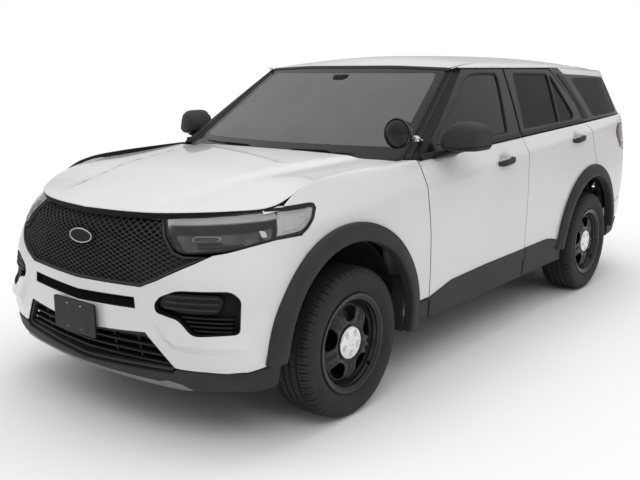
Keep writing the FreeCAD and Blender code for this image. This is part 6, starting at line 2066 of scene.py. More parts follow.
def structure():
    z = np.linspace(1.165, 1.668, 12)
    outer = screenPoint(np.full(12, 1.0), z)
    edge = np.array([onSkin(cabin, "side", [(np.interp(h, (1.204, 1.674), (-0.985, -0.285)), max(h, 1.21))], 0.050,
                            (-0.1, 1.4))[0][0] for h in z])
    sections = []
    for a, b in zip(outer, edge):
        middle = 0.5 * (a + b) + (-0.016, 0.020, -0.010)
        half = (b - a) * 0.42
        sections.append((middle, half, (-0.006, 0.018, -0.012), 3.5))
    makeBoth(loft(sections, 24), "pillar_{}_front_inner", "liner", "body", "dark_plastic")
    ys = np.linspace(-0.34, 2.06, 26)
    tops = [1.655 - railFall(y) for y in ys]
    points, ups = onSkin(cabin, "side", list(zip(ys, tops)), 0.074, cabinSide)
    rail = loft([(p, n * 0.022, np.array((0.0, 0.0, 0.024)) - n * 0.006, 3.5) for p, n in zip(points, ups)], 24)
    makeBoth(rail, "roof_{}_inner_rail", "liner", "body", "dark_plastic")
    heights = [0.345, 0.60, 0.90, 1.15, 1.235]
    middle = [((0.770, 0.250, h), (0.029, 0, 0), (0, 0.047, 0), 5) for h in heights]
    for h in np.linspace(1.30, 1.655, 8):
        p, n = onSkin(cabin, "side", [(0.252, h)], 0.080, cabinSide)
        middle.append((p[0], n[0] * 0.024, (0, 0.040, 0.0), 4))
    makeBoth(loft(middle, 28), "pillar_{}_middle", "liner", "body", "dark_plastic")
    # hinge posts take the grey jamb finish: painted shade of the door openings
    post = loft([((0.771, -0.998, h), (0.028, 0, 0), (0, 0.094, 0), 6) for h in (0.345, 0.7, 1.0, 1.175)], 28)
    posts = makeBoth(post, "pillar_{}_hinge", "jamb", "body", "body_paint")
    boot = loft([((x, 1.655, 0.700), (0, 0.515 * e, 0), (0, 0, 0.215 * e), 9)
                 for x, e in ((0.672, 0.985), (0.676, 1), (0.686, 1))], 40)
    makeBoth(boot, "boot_{}_lining", "liner", "body", "dark_plastic")
    splash = loft([((0.795, -1.146, h), (0.130, 0, 0), (0, 0.007, 0), 8) for h in (0.300, 0.345, 0.46, 0.60)], 20)
    makeBoth(splash, "splash_{}", "liner", "body", "dark_plastic")
    # sills take the grey jamb finish: painted shade of the door openings
    sill = loft([((0.812, y, 0.381), (0.034, 0, 0), (0, 0, 0.048), 5) for y in (-1.095, -0.4, 0.3, 0.897)], 28)
    makeBoth(sill, "sill_{}", "jamb", "body", "body_paint")
    plate = loft([((0.812, y, 0.4300), (0.022, 0, 0), (0, 0, 0.0022), 6) for y in (-0.88, 0.16)], 20)
    makeBoth(plate, "sill_{}_scuff", "trim", "body", "dark_plastic")
    back = loft([((0.812, y, 0.4300), (0.022, 0, 0), (0, 0, 0.0022), 6) for y in (0.33, 0.84)], 20)
    makeBoth(back, "sill_{}_scuff_rear", "trim", "body", "dark_plastic")
    # the rear of the door opening, and the lining behind the quarter panel
    arch = circle("rear", angleAt("rear", z=0.500, side=-1), angleAt("rear", y=1.52), 0.520, 12)
    jamb = [(p[0], p[1]) for p in arch] + [(1.52, 0.90), (1.505, 0.97), (1.412, 1.16), (1.362, 1.265), (1.262, 1.262),
                                           (1.30, 1.14), (1.385, 0.95), (1.392, 0.90), (1.20, 0.905), (0.93, 0.74),
                                           (0.87, 0.52)]
    uv = body.find("side", dense(rounded(jamb, 0.01), 0.03), sideRegion)
    # the rear jamb takes the grey jamb finish: painted shade of the door opening
    shell = panel(body, [uv], 0.020, hem=0.004, step=0.08, lift=-0.112)
    makeBoth(shell, "jamb_{}_rear", "jamb", "body", "body_paint", None)
    lining = [(1.50, 0.90), (1.45, 1.262), (2.16, 1.262), (2.20, 0.52)]
    arch = circle("rear", angleAt("rear", z=0.520), angleAt("rear", y=1.50), 0.520, 16)
    uv = body.find("side", dense(arch + lining, 0.05), sideRegion)
    panelBack = panel(body, [uv], 0.008, hem=0.003, step=0.12, lift=-0.060)
    makeBoth(panelBack, "lining_{}_quarter", "liner", "body", "dark_plastic", None)
    holes = windowLoop("quarter", -0.020)
    outline = onCabin([(1.395, 1.285), (2.130, 1.305), (2.040, 1.640), (1.05, 1.655), (1.14, 1.600), (1.29, 1.42)])
    upper = panel(cabin, [outline, holes], 0.008, hem=0.003, step=0.10, lift=-0.036)
    makeBoth(upper, "lining_{}_window", "liner", "body", "dark_plastic", None)
    # the frame that the tailgate shuts against, in the grey jamb finish: painted shade of the opening
    tail = body.find("rear", dense([(0.662, 0.560), (0.780, 0.560), (0.800, 1.20), (0.780, 1.262), (0.664, 1.262),
                                    (0.664, 0.98), (0.640, 0.72)], 0.03), rearRegion)
    low = panel(body, [tail], 0.016, hem=0.004, step=0.08, lift=-0.072)
    makeBoth(low, "tail_frame_{}_low", "jamb", "body", "body_paint", None)
    tail = cabin.find("rear", dense([(0.690, 1.285), (0.800, 1.285), (0.745, 1.640), (0.590, 1.640), (0.640, 1.50)],
                                    0.03), (0, cabin.length))
    high = panel(cabin, [tail], 0.012, hem=0.003, step=0.08, lift=-0.072)
    makeBoth(high, "tail_frame_{}_high", "jamb", "body", "body_paint", None)
    ledge = loft([((x, 2.300, 0.596), (0, 0.062, 0), (0, 0, 0.022), 5) for x in np.linspace(-0.66, 0.66, 9)], 28)
    settle(ledge, "tail_ledge", "trim", "dark_plastic")
    # roof lining, with the header over the windscreen
    under = np.array(dense(bothSides(rounded([(0, -0.345), (0.33, -0.335), (0.640, -0.285), (0.655, 2.06), (0, 2.12)],
                                             [0, 0.2, 0.05, 0.05, 0])), 0.05))
    lining = panel(roofCrown, [under], 0.010, hem=0.004, step=0.10, lift=-0.040)
    lining.make("roof_lining", "lining", "body", "cabin_plastic")
    header = loft([((x, -0.352 + 0.028 * (abs(x) / 0.6) ** 2, 1.667 - 0.030 * (abs(x) / 0.62) ** 2),
                    (0, 0.036, 0.016), (0, -0.006, 0.014), 3.5) for x in np.linspace(-0.63, 0.63, 15)], 24)
    settle(header, "windscreen_header", "liner", "dark_plastic")
    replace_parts(posts[0], "body_side_left")
    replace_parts(posts[1], "body_side_right")


finishes["liner"] = plasticFinish("linerPlastic", 0.022, 0.032, 0.7, 900)
finishes["lining"] = plasticFinish("roofCloth", 0.20, 0.26, 0.85, 1200)
# grey copy of the white body paint for the door openings, sills and tail frame: painted shade of these inner faces
finishes["jamb"] = glossFinish("jambPaint", 0.46, 0.54, 0.35)


spoiler = {"half": 0.690, "root": 2.156, "tip": 2.326, "sweep": 0.150, "thick": 0.034}


def tailgatePieces():
    region = (0, cabin.length)
    corner = [(0.700, 1.284), (0.708, 1.302), (0.686, 1.400), (0.632, 1.600), (0.616, 1.662)]
    half = cabin.find("rear", dense([(0.0, 1.2845)] + corner + [(0.45, 1.690), (0.0, 1.703)], 0.03, False), region)
    outline = joined(half[::-1], False, cabin)
    glassEdge = [(0.0, 1.322), (0.555, 1.334), (0.500, 1.596), (0.0, 1.634)]
    opening = joined(cabin.find("rear", dense(rounded(glassEdge, [0, 0.03, 0.05, 0]), 0.02, False), region)[::-1],
                     False, cabin)
    frameSkin = panel(cabin, [outline, opening], 0.050, hem=0.003, step=0.06)
    piece = frameSkin.make("tailgate_frame", "gloss", "tailgate", "black_gloss")
    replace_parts(piece, "tailgate")
    wide = [(0.0, 1.310), (0.568, 1.322), (0.510, 1.606), (0.0, 1.646)]
    loop = joined(cabin.find("rear", dense(rounded(wide, [0, 0.03, 0.05, 0]), 0.03, False), region)[::-1], False,
                  cabin)
    glass = panel(cabin, [loop], 0.004, hem=0.001, step=0.10, lift=-0.008)
    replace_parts(glass.make("tailgate_pane", "tinted", "tailgate", "tinted_glass"), "tailgate_glass")
    for i, z in enumerate(np.linspace(1.352, 1.596, 9)):
        reach = np.interp(z, (1.33, 1.60), (0.53, 0.48))
        wire = cabin.find("rear", [(x, z + 0.014 * (1 - (x / 0.55) ** 2)) for x in np.linspace(-reach, reach, 15)],
                          region)
        points = cabin.at(wire) - cabin.normals(wire) * 0.0135
        line = barBuild(points, 0.0009, 6)
        line.make(f"tailgate_heater_{i}", "seal", "tailgate", "tinted_glass")
    # spoiler over the window: its tip follows the plan of the tail
    sections = []
    for x in np.linspace(-spoiler["half"], spoiler["half"], 37):
        side = abs(x) / spoiler["half"]
        tipY = spoiler["tip"] - spoiler["sweep"] * side ** 3.2
        root = roofCrown.at([(x, spoiler["root"])])[0]

        def above(share, drop=0.0):
            y = spoiler["root"] + (tipY - spoiler["root"]) * share
            return roofCrown.at([(x, y)])[0] - (0, 0, drop)
        thick = spoiler["thick"] - 0.010 * side ** 2
        low = thick + 0.012
        sections.append(np.array([root, above(0.35), above(0.7), above(0.93, 0.001), above(1.0, 0.006),
                                  above(1.0, 0.014), above(0.96, thick * 0.72), above(0.6, thick), above(0.1, low),
                                  above(0.0, low - 0.006)]))
    build = Build()
    rings = [build.add(s) + np.arange(10) for s in sections]
    build.tube(rings)
    fixFaces(build.make("tailgate_spoiler", "paint", "tailgate", "body_paint"), 35)
    lampBar = loft([((x, 2.3235, roofCrown.at([(x, 2.320)])[0][2] - 0.0120), (0, 0.003, 0), (0, 0, 0.0045), 3)
                    for x in np.linspace(-0.17, 0.17, 9)], 16)
    fixFaces(lampBar.make("tailgate_high_lamp", "red", "tailgate", "red_lens"), 40)
    # handle bar, plate recess, wiper
    bar = rearLoop([(0.0, 1.012), (0.330, 1.012), (0.345, 1.040), (0.0, 1.044)])
    panel(body, [bar], 0.020, hem=0.004, step=0.06, lift=0.010).make("tailgate_bar", "gloss", "tailgate",
                                                                     "black_gloss")
    grip = rearLoop([(0.0, 0.985), (0.085, 0.985), (0.085, 1.004), (0.0, 1.004)])
    panel(body, [grip], 0.016, hem=0.003, step=0.06, lift=0.004).make("tailgate_handle", "mesh", "tailgate",
                                                                      "dark_plastic")
    rim = rearLoop(rounded([(0.0, 0.795), (0.262, 0.795), (0.262, 0.965), (0.0, 0.965)],
                           [0, 0.015, 0.015, 0]), 0.02)
    rimIn = rearLoop(rounded([(0.0, 0.804), (0.253, 0.804), (0.253, 0.956), (0.0, 0.956)],
                             [0, 0.012, 0.012, 0]), 0.02)
    panel(body, [rim, rimIn], 0.012, hem=0.003, step=0.2, lift=0.003).make("plate_recess_rim", "trim", "tailgate",
                                                                           "dark_plastic")
    blank = rearLoop(rounded([(0.0, 0.806), (0.160, 0.806), (0.160, 0.954), (0.0, 0.954)],
                             [0, 0.01, 0.01, 0]), 0.03)
    panel(body, [blank], 0.006, hem=0.0015, step=0.1, lift=0.004).make("rear_plate_blank", "trim", "tailgate",
                                                                       "dark_plastic")
    uv = cabin.find("rear", [(0.0, 1.315), (0.10, 1.3275), (0.22, 1.343), (0.40, 1.372)], region)
    p, n = cabin.at(uv), cabin.normals(uv)
    arm = barBuild([p[0] + n[0] * 0.006, p[0] + n[0] * 0.020, p[1] + n[1] * 0.020, p[2] + n[2] * 0.012],
                   [0.010, 0.009, 0.006, 0.005])
    smoothEdges(arm.make("rear_wiper_arm", "mesh", "tailgate", "dark_plastic"), 50)
    blade = barBuild([p[1] + n[1] * 0.008, p[2] + n[2] * 0.007, p[3] + n[3] * 0.007], [0.004, 0.006, 0.003])
    smoothEdges(blade.make("rear_wiper_blade", "seal", "tailgate", "dark_plastic"), 50)
    inner = rearLoop([(0.0, 0.690), (0.590, 0.690), (0.640, 0.760), (0.655, 0.98), (0.655, 1.235),
                      (0.0, 1.235)], 0.04)
    panel(body, [inner], 0.006, hem=0.003, step=0.12, lift=-0.061).make("tailgate_lining", "liner", "tailgate",
                                                                        "dark_plastic")


def redFinish(name, deep, bright, rough):
    f = Finish(name, Roughness=rough, Coat_Weight=0.8, Coat_Roughness=0.03)
    cells = f.node("ShaderNodeTexVoronoi", {"feature": "F1"}, {"Vector": f.place(), "Scale": 130})
    f.feed("Base Color", f.ramp(cells, (0.1, bright), (0.7, deep)))
    f.feed("Roughness", f.span(f.noise(90, 3), 0, 1, rough, rough + 0.1))
    f.bump(cells, 0.2, 0.0008)
    return f


finishes["red"] = redFinish("redLens", (0.16, 0.008, 0.010, 1), (0.42, 0.018, 0.022, 1), 0.10)
finishes["redDark"] = redFinish("redLensDark", (0.035, 0.003, 0.004, 1), (0.09, 0.006, 0.008, 1), 0.12)


def roofCheeks():
    low = [(1.118, 1.680), (1.150, 1.664), (1.206, 1.634), (1.260, 1.631), (1.519, 1.624), (1.859, 1.611),
           (2.040, 1.604), (2.120, 1.602)]
    high = [(2.095, 1.6455), (1.8, 1.6555), (1.5, 1.6655), (1.2, 1.6760)]
    loop = cabin.find("side", dense(low + high, 0.02), (0.0, cabin.length))
    cheek = panel(cabin, [loop], 0.014, hem=0.004, step=0.05, lift=0.003)
    makeBoth(cheek, "roof_cheek_{}", "paint", "body", "body_paint", None)


def tailLamps():
    loop = tailLampLoop(0.0)
    points = [tuple(p) for p in loop]
    lens = panel(body, [loop], 0.045, hem=0.004, step=0.03, lift=0.0015, rows=bodyRows)
    made = makeBoth(lens, "tail_lamp_{}_lens", "red", "body", "red_lens", None)
    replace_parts(made[0], "tail_lamps")
    innerLoop = np.array(inset(points[::2], 0.016))
    ring = panel(body, [np.array(inset(points[::2], 0.001)), innerLoop], 0.010, hem=0.002, step=0.3, lift=0.0035)
    front = [(2.085, 1.048), (1.992, 1.108), (1.930, 1.180), (1.968, 1.228), (2.030, 1.226), (2.000, 1.185),
             (2.045, 1.130), (2.110, 1.085)]
    cap = body.find("side", dense(rounded(front, 0.012), 0.012), sideRegion)
    makeBoth(panel(body, [cap], 0.010, hem=0.002, step=0.03, lift=0.0045), "tail_lamp_{}_cap", "gloss", "body",
             "red_lens",
             None)
    makeBoth(ring, "tail_lamp_{}_edge", "redDark", "body", "red_lens", None)
    top = body.find("rear", [(0.712, 1.200)], rearRegion)[0]
    low = body.find("rear", [(0.712, 1.028)], rearRegion)[0]
    end = innerLoop[np.argmin(innerLoop[:, 0])]
    for i, (share, width) in enumerate(((0.30, 0.010), (0.52, 0.010), (0.74, 0.010))):
        v = low[1] + (top[1] - low[1]) * share
        start, stop = low[0] - 0.012, end[0] + 0.045 + 0.05 * (1 - share)
        bar = np.array(dense(rounded([(start, v - width), (stop, v - width), (stop, v + width * 0.4),
                                      (start, v + width * 0.4)],
                                     0.003), 0.02))
        rib = panel(body, [bar], 0.008, hem=0.002, step=0.06, lift=0.0042)
        makeBoth(rib, f"tail_lamp_{{}}_rib_{i}", "redDark" if i != 1 else "clearLamp", "body", "red_lens", None)


finishes["clearLamp"] = glossFinish("clearLamp", 0.48, 0.56, 0.12)


def rearLower():
    arch = circle("rear", angleAt("rear", z=0.332), angleAt("rear", z=0.446))
    half = trace(("rear", [(0.0, 0.336), (0.60, 0.336), (0.78, 0.336)]), ("side", [(2.15, 0.336), (1.893, 0.336)]),
                 ("side", arch), ("side", [(2.2, 0.4475)]),
                 ("rear", [(0.800, 0.4475), (0.600, 0.4475), (0.0, 0.4475)]))
    skin = panel(body, [joined(half, False)], 0.045, hem=0.006, step=0.05, lift=0.002)
    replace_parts(skin.make("rear_bumper_lower", "trim", "body", "dark_plastic"), "rear_bumper")
    step = rearLoop([(0.0, 0.612), (0.560, 0.612), (0.585, 0.6315), (0.0, 0.6315)])
    panel(body, [step], 0.030, hem=0.004, step=0.1, lift=0.006).make("rear_step", "trim", "body", "dark_plastic")
    reflector = trace(("rear", rounded([(0.560, 0.475), (0.690, 0.482), (0.690, 0.506), (0.560, 0.500)], 0.008)))
    makeBoth(panel(body, [reflector], 0.012, hem=0.002, step=0.1, lift=0.004), "rear_reflector_{}", "red", "body",
             "red_lens", None)
    skid = rearLoop([(0.0, 0.350), (0.330, 0.352), (0.372, 0.420), (0.0, 0.424)])
    panel(body, [skid], 0.020, hem=0.006, step=0.1, lift=0.008).make("rear_skid", "skid", "body", "dark_plastic")
    for i, x in enumerate((0.520, 0.610)):
        pipe = turnedPiece([(0.0300, -0.10), (0.0300, 0.0), (0.0320, 0.006), (0.0350, 0.008), (0.0372, 0.005),
                            (0.0380, 0.0), (0.0380, -0.12), (0.0300, -0.12)], 40)
        y = float(body.at(body.find("rear", [(x, 0.350)], rearRegion))[0, 1])
        orient(pipe, (x, y + 0.010, 0.322), (0, 1, 0))
        # a dark disc inside each pipe: painted shade of the bore
        plug = orient(turnedPiece([(0.0, -0.060), (0.0305, -0.060), (0.0305, -0.066), (0.0, -0.066)], 24),
                      (x, y + 0.01, 0.322), (0, 1, 0))
        makeBoth(pipe, f"exhaust_{{}}_{i}", "satin", "body", "engine_metal", 40)
        makeBoth(plug, f"exhaust_{{}}_inner_{i}", "pocket", "body", "engine_metal", 40)


structure()
tailgatePieces()
roofCheeks()
tailLamps()
rearLower()
print("structure and tail")


# cabin: padded seats, then the dashboard and what is round it
def fabricFinish(name, low, high, scale):
    f = Finish(name, Roughness=0.9, Specular_IOR_Level=0.25, Sheen_Weight=0.25, Sheen_Roughness=0.5)
    spot = f.place()
    split = [f.node("ShaderNodeSeparateXYZ", {}, {0: spot}, out=k) for k in "XYZ"]
    weave = (split[0] * scale).wave() * ((split[1] + split[2]) * scale).wave()
    cloud = f.noise(22, 4)
    f.feed("Base Color", f.ramp(f.span(weave + cloud, -0.6, 1.8, 0, 1), (0.2, grey(low)), (0.8, grey(high))))
    f.feed("Roughness", f.span(cloud, 0, 1, 0.82, 0.97))
    f.bump(weave, 0.35, 0.0006)
    return f


finishes["fabric"] = fabricFinish("seatCloth", 0.018, 0.034, 1900)
finishes["vinyl"] = plasticFinish("seatVinyl", 0.014, 0.022, 0.5, 1500)
finishes["dash"] = plasticFinish("dashPlastic", 0.020, 0.030, 0.62, 1100)
finishes["screenGlass"] = glossFinish("displayGlass", 0.003, 0.006, 0.06)

pad = {"voxel": 0.0165, "pressure": 4.0, "frames": 20, "cap": 0.024, "rest": 0.512, "top": 0.53, "fill": 0.75}


# swell: cloth under pressure, the resting side held, and no point goes further than the cap
def swell(piece, held):
    mesh = piece.data
    before = np.array([v.co for v in mesh.vertices])
    group = piece.vertex_groups.new(name="held")
    group.add([int(i) for i in np.nonzero(held(before))[0]], 1.0, "REPLACE")
    cloth = piece.modifiers.new("cloth", "CLOTH")
    cloth.settings.use_pressure = True
    cloth.settings.uniform_pressure_force = pad["pressure"]
    cloth.settings.vertex_group_mass = "held"
    cloth.settings.effector_weights.gravity = 0
    cloth.settings.quality = 4
    cloth.collision_settings.use_collision = False
    cloth.point_cache.frame_start, cloth.point_cache.frame_end = 1, pad["frames"]
    for number in range(1, pad["frames"] + 1):
        scene.frame_set(number)
    ready = piece.evaluated_get(bpy.context.evaluated_depsgraph_get())
    after = np.array([v.co for v in ready.data.vertices])
    piece.modifiers.remove(cloth)
    move = after - before
    far = np.linalg.norm(move, axis=1)[:, None]
    after = before + move * np.minimum(1, pad["cap"] / np.maximum(far, 1e-9))
    mesh.vertices.foreach_set("co", after.ravel())
    mesh.update()
    scene.frame_set(1)


def baked(piece, kind, **settings):
    step = piece.modifiers.new(kind.lower(), kind)
    for key, value in settings.items():
        setattr(step, key, value)
    ready = piece.evaluated_get(bpy.context.evaluated_depsgraph_get())
    mesh = bpy.data.meshes.new_from_object(ready)
    piece.modifiers.remove(step)
    mesh.name = piece.name
    piece.data = mesh


# grooves are lines on a cushion: where each runs, how deep it is sewn, and how wide
def padPiece(name, build, shape, held, grooves):
    piece = build.make(name, "fabric", "body", "seat_cloth")
    fixFaces(piece, 180)
    baked(piece, "REMESH", mode="VOXEL", voxel_size=pad["voxel"], use_smooth_shade=True)
    baked(piece, "SMOOTH", factor=0.5, iterations=4)
    mesh = piece.data
    points = np.array([v.co for v in mesh.vertices])
    mesh.vertices.foreach_set("co", shape(points).ravel())
    mesh.update()
    swell(piece, held)
    baked(piece, "SUBSURF", levels=1)
    mesh = piece.data
    points = np.array([v.co for v in mesh.vertices])
    normals = np.array([v.normal for v in mesh.vertices])
    drop = np.zeros(len(points))
    for away, depth, width in grooves:
        drop = np.maximum(drop, depth * np.exp(-(away(points) / width) ** 2))
    points -= normals * drop[:, None]
    mesh.vertices.foreach_set("co", points.ravel())
    mesh.update()
    mesh.materials.clear()
    mesh.materials.append(finishes["fabric"].material)
    mesh.polygons.foreach_set("use_smooth", [True] * len(mesh.polygons))
    return piece


def copyPad(piece, name, dx):
    mesh = piece.data.copy()
    mesh.name = name
    points = np.array([v.co for v in mesh.vertices]) + (dx, 0, 0)
    mesh.vertices.foreach_set("co", points.ravel())
    mesh.update()
    twin = bpy.data.objects.new(name, mesh)
    scene.collection.objects.link(twin)
    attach(twin, "body")


# a sewn cord that lies on a cushion along a line of points
def seamCord(cushion, name, points, dxs):
    ready = cushion.evaluated_get(bpy.context.evaluated_depsgraph_get())
    spots = []
    for p in points:
        hit, place, normal, _ = ready.closest_point_on_mesh(Vector(p))
        if hit:
            spots.append(np.array(place + normal * 0.0006))
    if len(spots) < 3:
        return
    cord = barBuild(spots, 0.0022, 8)
    for i, dx in enumerate(dxs):
        moved = joinBuilds(cord)
        moved.points = [(x + dx, y, z) for x, y, z in moved.points]
        settle(moved, f"{name}_{i}", "vinyl", "seat_cloth", 60)


seat = {"x": 0.372, "y": 0.070, "half": 0.248}


def frontSeats():
    x0, y0, half = seat["x"], seat["y"], seat["half"]
    rows = ((-0.492, 0.548, 0.034), (-0.470, 0.549, 0.050), (-0.40, 0.548, 0.060), (-0.20, 0.541, 0.054),
            (0.0, 0.535, 0.048), (0.035, 0.532, 0.036))
    build = loft([((x0, y0 + y, z), (half - (0.012 if i in (0, 5) else 0), 0, 0), (0, 0, h), 5)
                  for i, (y, z, h) in enumerate(rows)], 64)

    def bolster(points):
        side = np.abs(points[:, 0] - x0) / half
        high = smoothStep((points[:, 2] - pad["top"]) / 0.05)
        out = points.copy()
        out[:, 2] += 0.022 * smoothStep((side - 0.55) / 0.22) * high - 0.012 * np.exp(-(side / 0.5) ** 2) * high
        return out
    inner = half * 0.62
    cushion = padPiece("seat_left_cushion", build, bolster, lambda p: p[:, 2] < pad["rest"],
                       [(lambda p: np.where(p[:, 2] > pad["top"], np.abs(np.abs(p[:, 0] - x0) - inner), 1), 0.010,
                         0.007),
                        (lambda p: np.where((p[:, 2] > pad["top"]) & (np.abs(p[:, 0] - x0) < inner),
                                            np.abs(p[:, 1] - y0 + 0.33), 1),
                         0.009, 0.007),
                        (lambda p: np.where((p[:, 2] > pad["top"]) & (np.abs(p[:, 0] - x0) < inner),
                                            np.abs(p[:, 1] - y0 + 0.19), 1),
                         0.006, 0.006),
                        (lambda p: np.abs(p[:, 2] - 0.536), 0.004, 0.005)])
    low, high = np.array((y0 - 0.025, 0.565)), np.array((y0 + 0.158, 1.105))
    lean = (high - low) / np.linalg.norm(high - low)
    face = np.array((lean[1], -lean[0])) * -1
    steps = ((0.0, 0.205, 0.046), (0.06, 0.232, 0.056), (0.30, 0.240, 0.054), (0.60, 0.232, 0.050),
             (0.85, 0.205, 0.044), (0.97, 0.175, 0.036), (1.0, 0.150, 0.024))
    sections = []
    for t, w, d in steps:
        y, z = low + (high - low) * t
        sections.append(((x0, y, z), (w, 0, 0), (0, -face[0] * d, -face[1] * d), 5))
    build = loft(sections, 64)

    def along(points):
        rel = points[:, 1:] - low
        return rel @ lean / np.linalg.norm(high - low), rel @ face

    def wings(points):
        out = along(points)[1]
        side = np.abs(points[:, 0] - x0) / 0.235
        front = smoothStep(out / 0.03)
        push = 0.026 * smoothStep((side - 0.58) / 0.22) * front - 0.010 * np.exp(-(side / 0.5) ** 2) * front
        moved = points.copy()
        moved[:, 1] += face[0] * push
        moved[:, 2] += face[1] * push
        return moved
    panelX = 0.145
    grooves = [(lambda p: np.where(along(p)[1] > 0.0, np.abs(np.abs(p[:, 0] - x0) - panelX), 1), 0.011, 0.007)]
    for place in (0.20, 0.42, 0.80):
        grooves.append((lambda p, place=place: np.where((along(p)[1] > 0.0) & (np.abs(p[:, 0] - x0) < panelX),
                                                        np.abs(along(p)[0] - place) * 0.57, 1), 0.008, 0.007))
    grooves.append((lambda p: np.abs(along(p)[1] + 0.004), 0.004, 0.005))
    back = padPiece("seat_left_back", build, wings, lambda p: along(p)[1] < -0.034, grooves)
    head = loft([((x0, y0 + 0.172 + 0.012 * (z - 1.22) / 0.08, z), (w, 0, 0), (0, d, 0), 3.2)
                 for z, w, d in ((1.145, 0.070, 0.016), (1.152, 0.100, 0.030), (1.18, 0.118, 0.038),
                                 (1.23, 0.122, 0.040), (1.268, 0.112, 0.034), (1.284, 0.090, 0.022),
                                 (1.289, 0.060, 0.010))], 48)
    rest = padPiece("seat_left_head", head, lambda p: p, lambda p: p[:, 2] < 1.15,
                    [(lambda p: np.abs(p[:, 1] - y0 - 0.172), 0.004, 0.006)])
    for piece, part in ((cushion, "cushion"), (back, "back"), (rest, "head")):
        copyPad(piece, f"seat_right_{part}", -2 * x0)
    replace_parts(cushion, "front_seats")
    both = (0, -2 * x0)
    for sign in (-1, 1):
        line = [(x0 + sign * inner, y0 + y, 0.60) for y in np.linspace(-0.46, -0.03, 24)]
        seamCord(cushion, f"seat_cushion_seam_{'a' if sign < 0 else 'b'}", line, both)
        line = [(x0 + sign * panelX, *(low + (high - low) * t + face * 0.06)) for t in np.linspace(0.08, 0.95, 26)]
        seamCord(back, f"seat_back_seam_{'a' if sign < 0 else 'b'}", line, both)
    line = [(x0 + x, y0 - 0.33, 0.61) for x in np.linspace(-inner, inner, 18)]
    seamCord(cushion, "seat_cushion_seam_c", line, both)
    for dx in both:
        tag = "left" if dx == 0 else "right"
        for i, x in enumerate((-0.052, 0.052)):
            post = barBuild([(x0 + dx + x, y0 + 0.150, 1.080), (x0 + dx + x, y0 + 0.164, 1.170)], 0.006, 12)
            settle(post, f"seat_{tag}_post_{i}", "chrome", "engine_metal", 60)
            collar = orient(turnedPiece([(0.0, 0.0), (0.016, 0.0), (0.014, 0.008), (0.0, 0.008)], 24),
                            (x0 + dx + x, y0 + 0.153, 1.098), (0, 0.15, 1))
            smoothEdges(collar.make(f"seat_{tag}_collar_{i}", "trim", "body", "cabin_plastic"), 40)
        base = loft([((x0 + dx, y, 0.478), (0.236, 0, 0), (0, 0, 0.034), 6)
                     for y in (y0 - 0.44, y0 - 0.42, y0, y0 + 0.02)], 40)
        settle(base, f"seat_{tag}_base", "trim")
        hinge = orient(turnedPiece([(0.0, 0.0), (0.050, 0.0), (0.050, 0.010), (0.040, 0.016), (0.0, 0.017)], 36),
                       (x0 + dx + (0.236 if dx == 0 else -0.236), y0 - 0.010, 0.545), ((1 if dx == 0 else -1), 0, 0))
        smoothEdges(hinge.make(f"seat_{tag}_hinge", "trim", "body", "cabin_plastic"), 40)
        shell = loft([((x0 + dx, *(low + (high - low) * t - face * 0.044)), (w, 0, 0),
                       (0, face[0] * 0.012, face[1] * 0.012), 5)
                      for t, w in ((0.02, 0.19), (0.06, 0.212), (0.5, 0.215), (0.85, 0.185), (0.93, 0.150))], 36)
        settle(shell, f"seat_{tag}_shell", "vinyl")


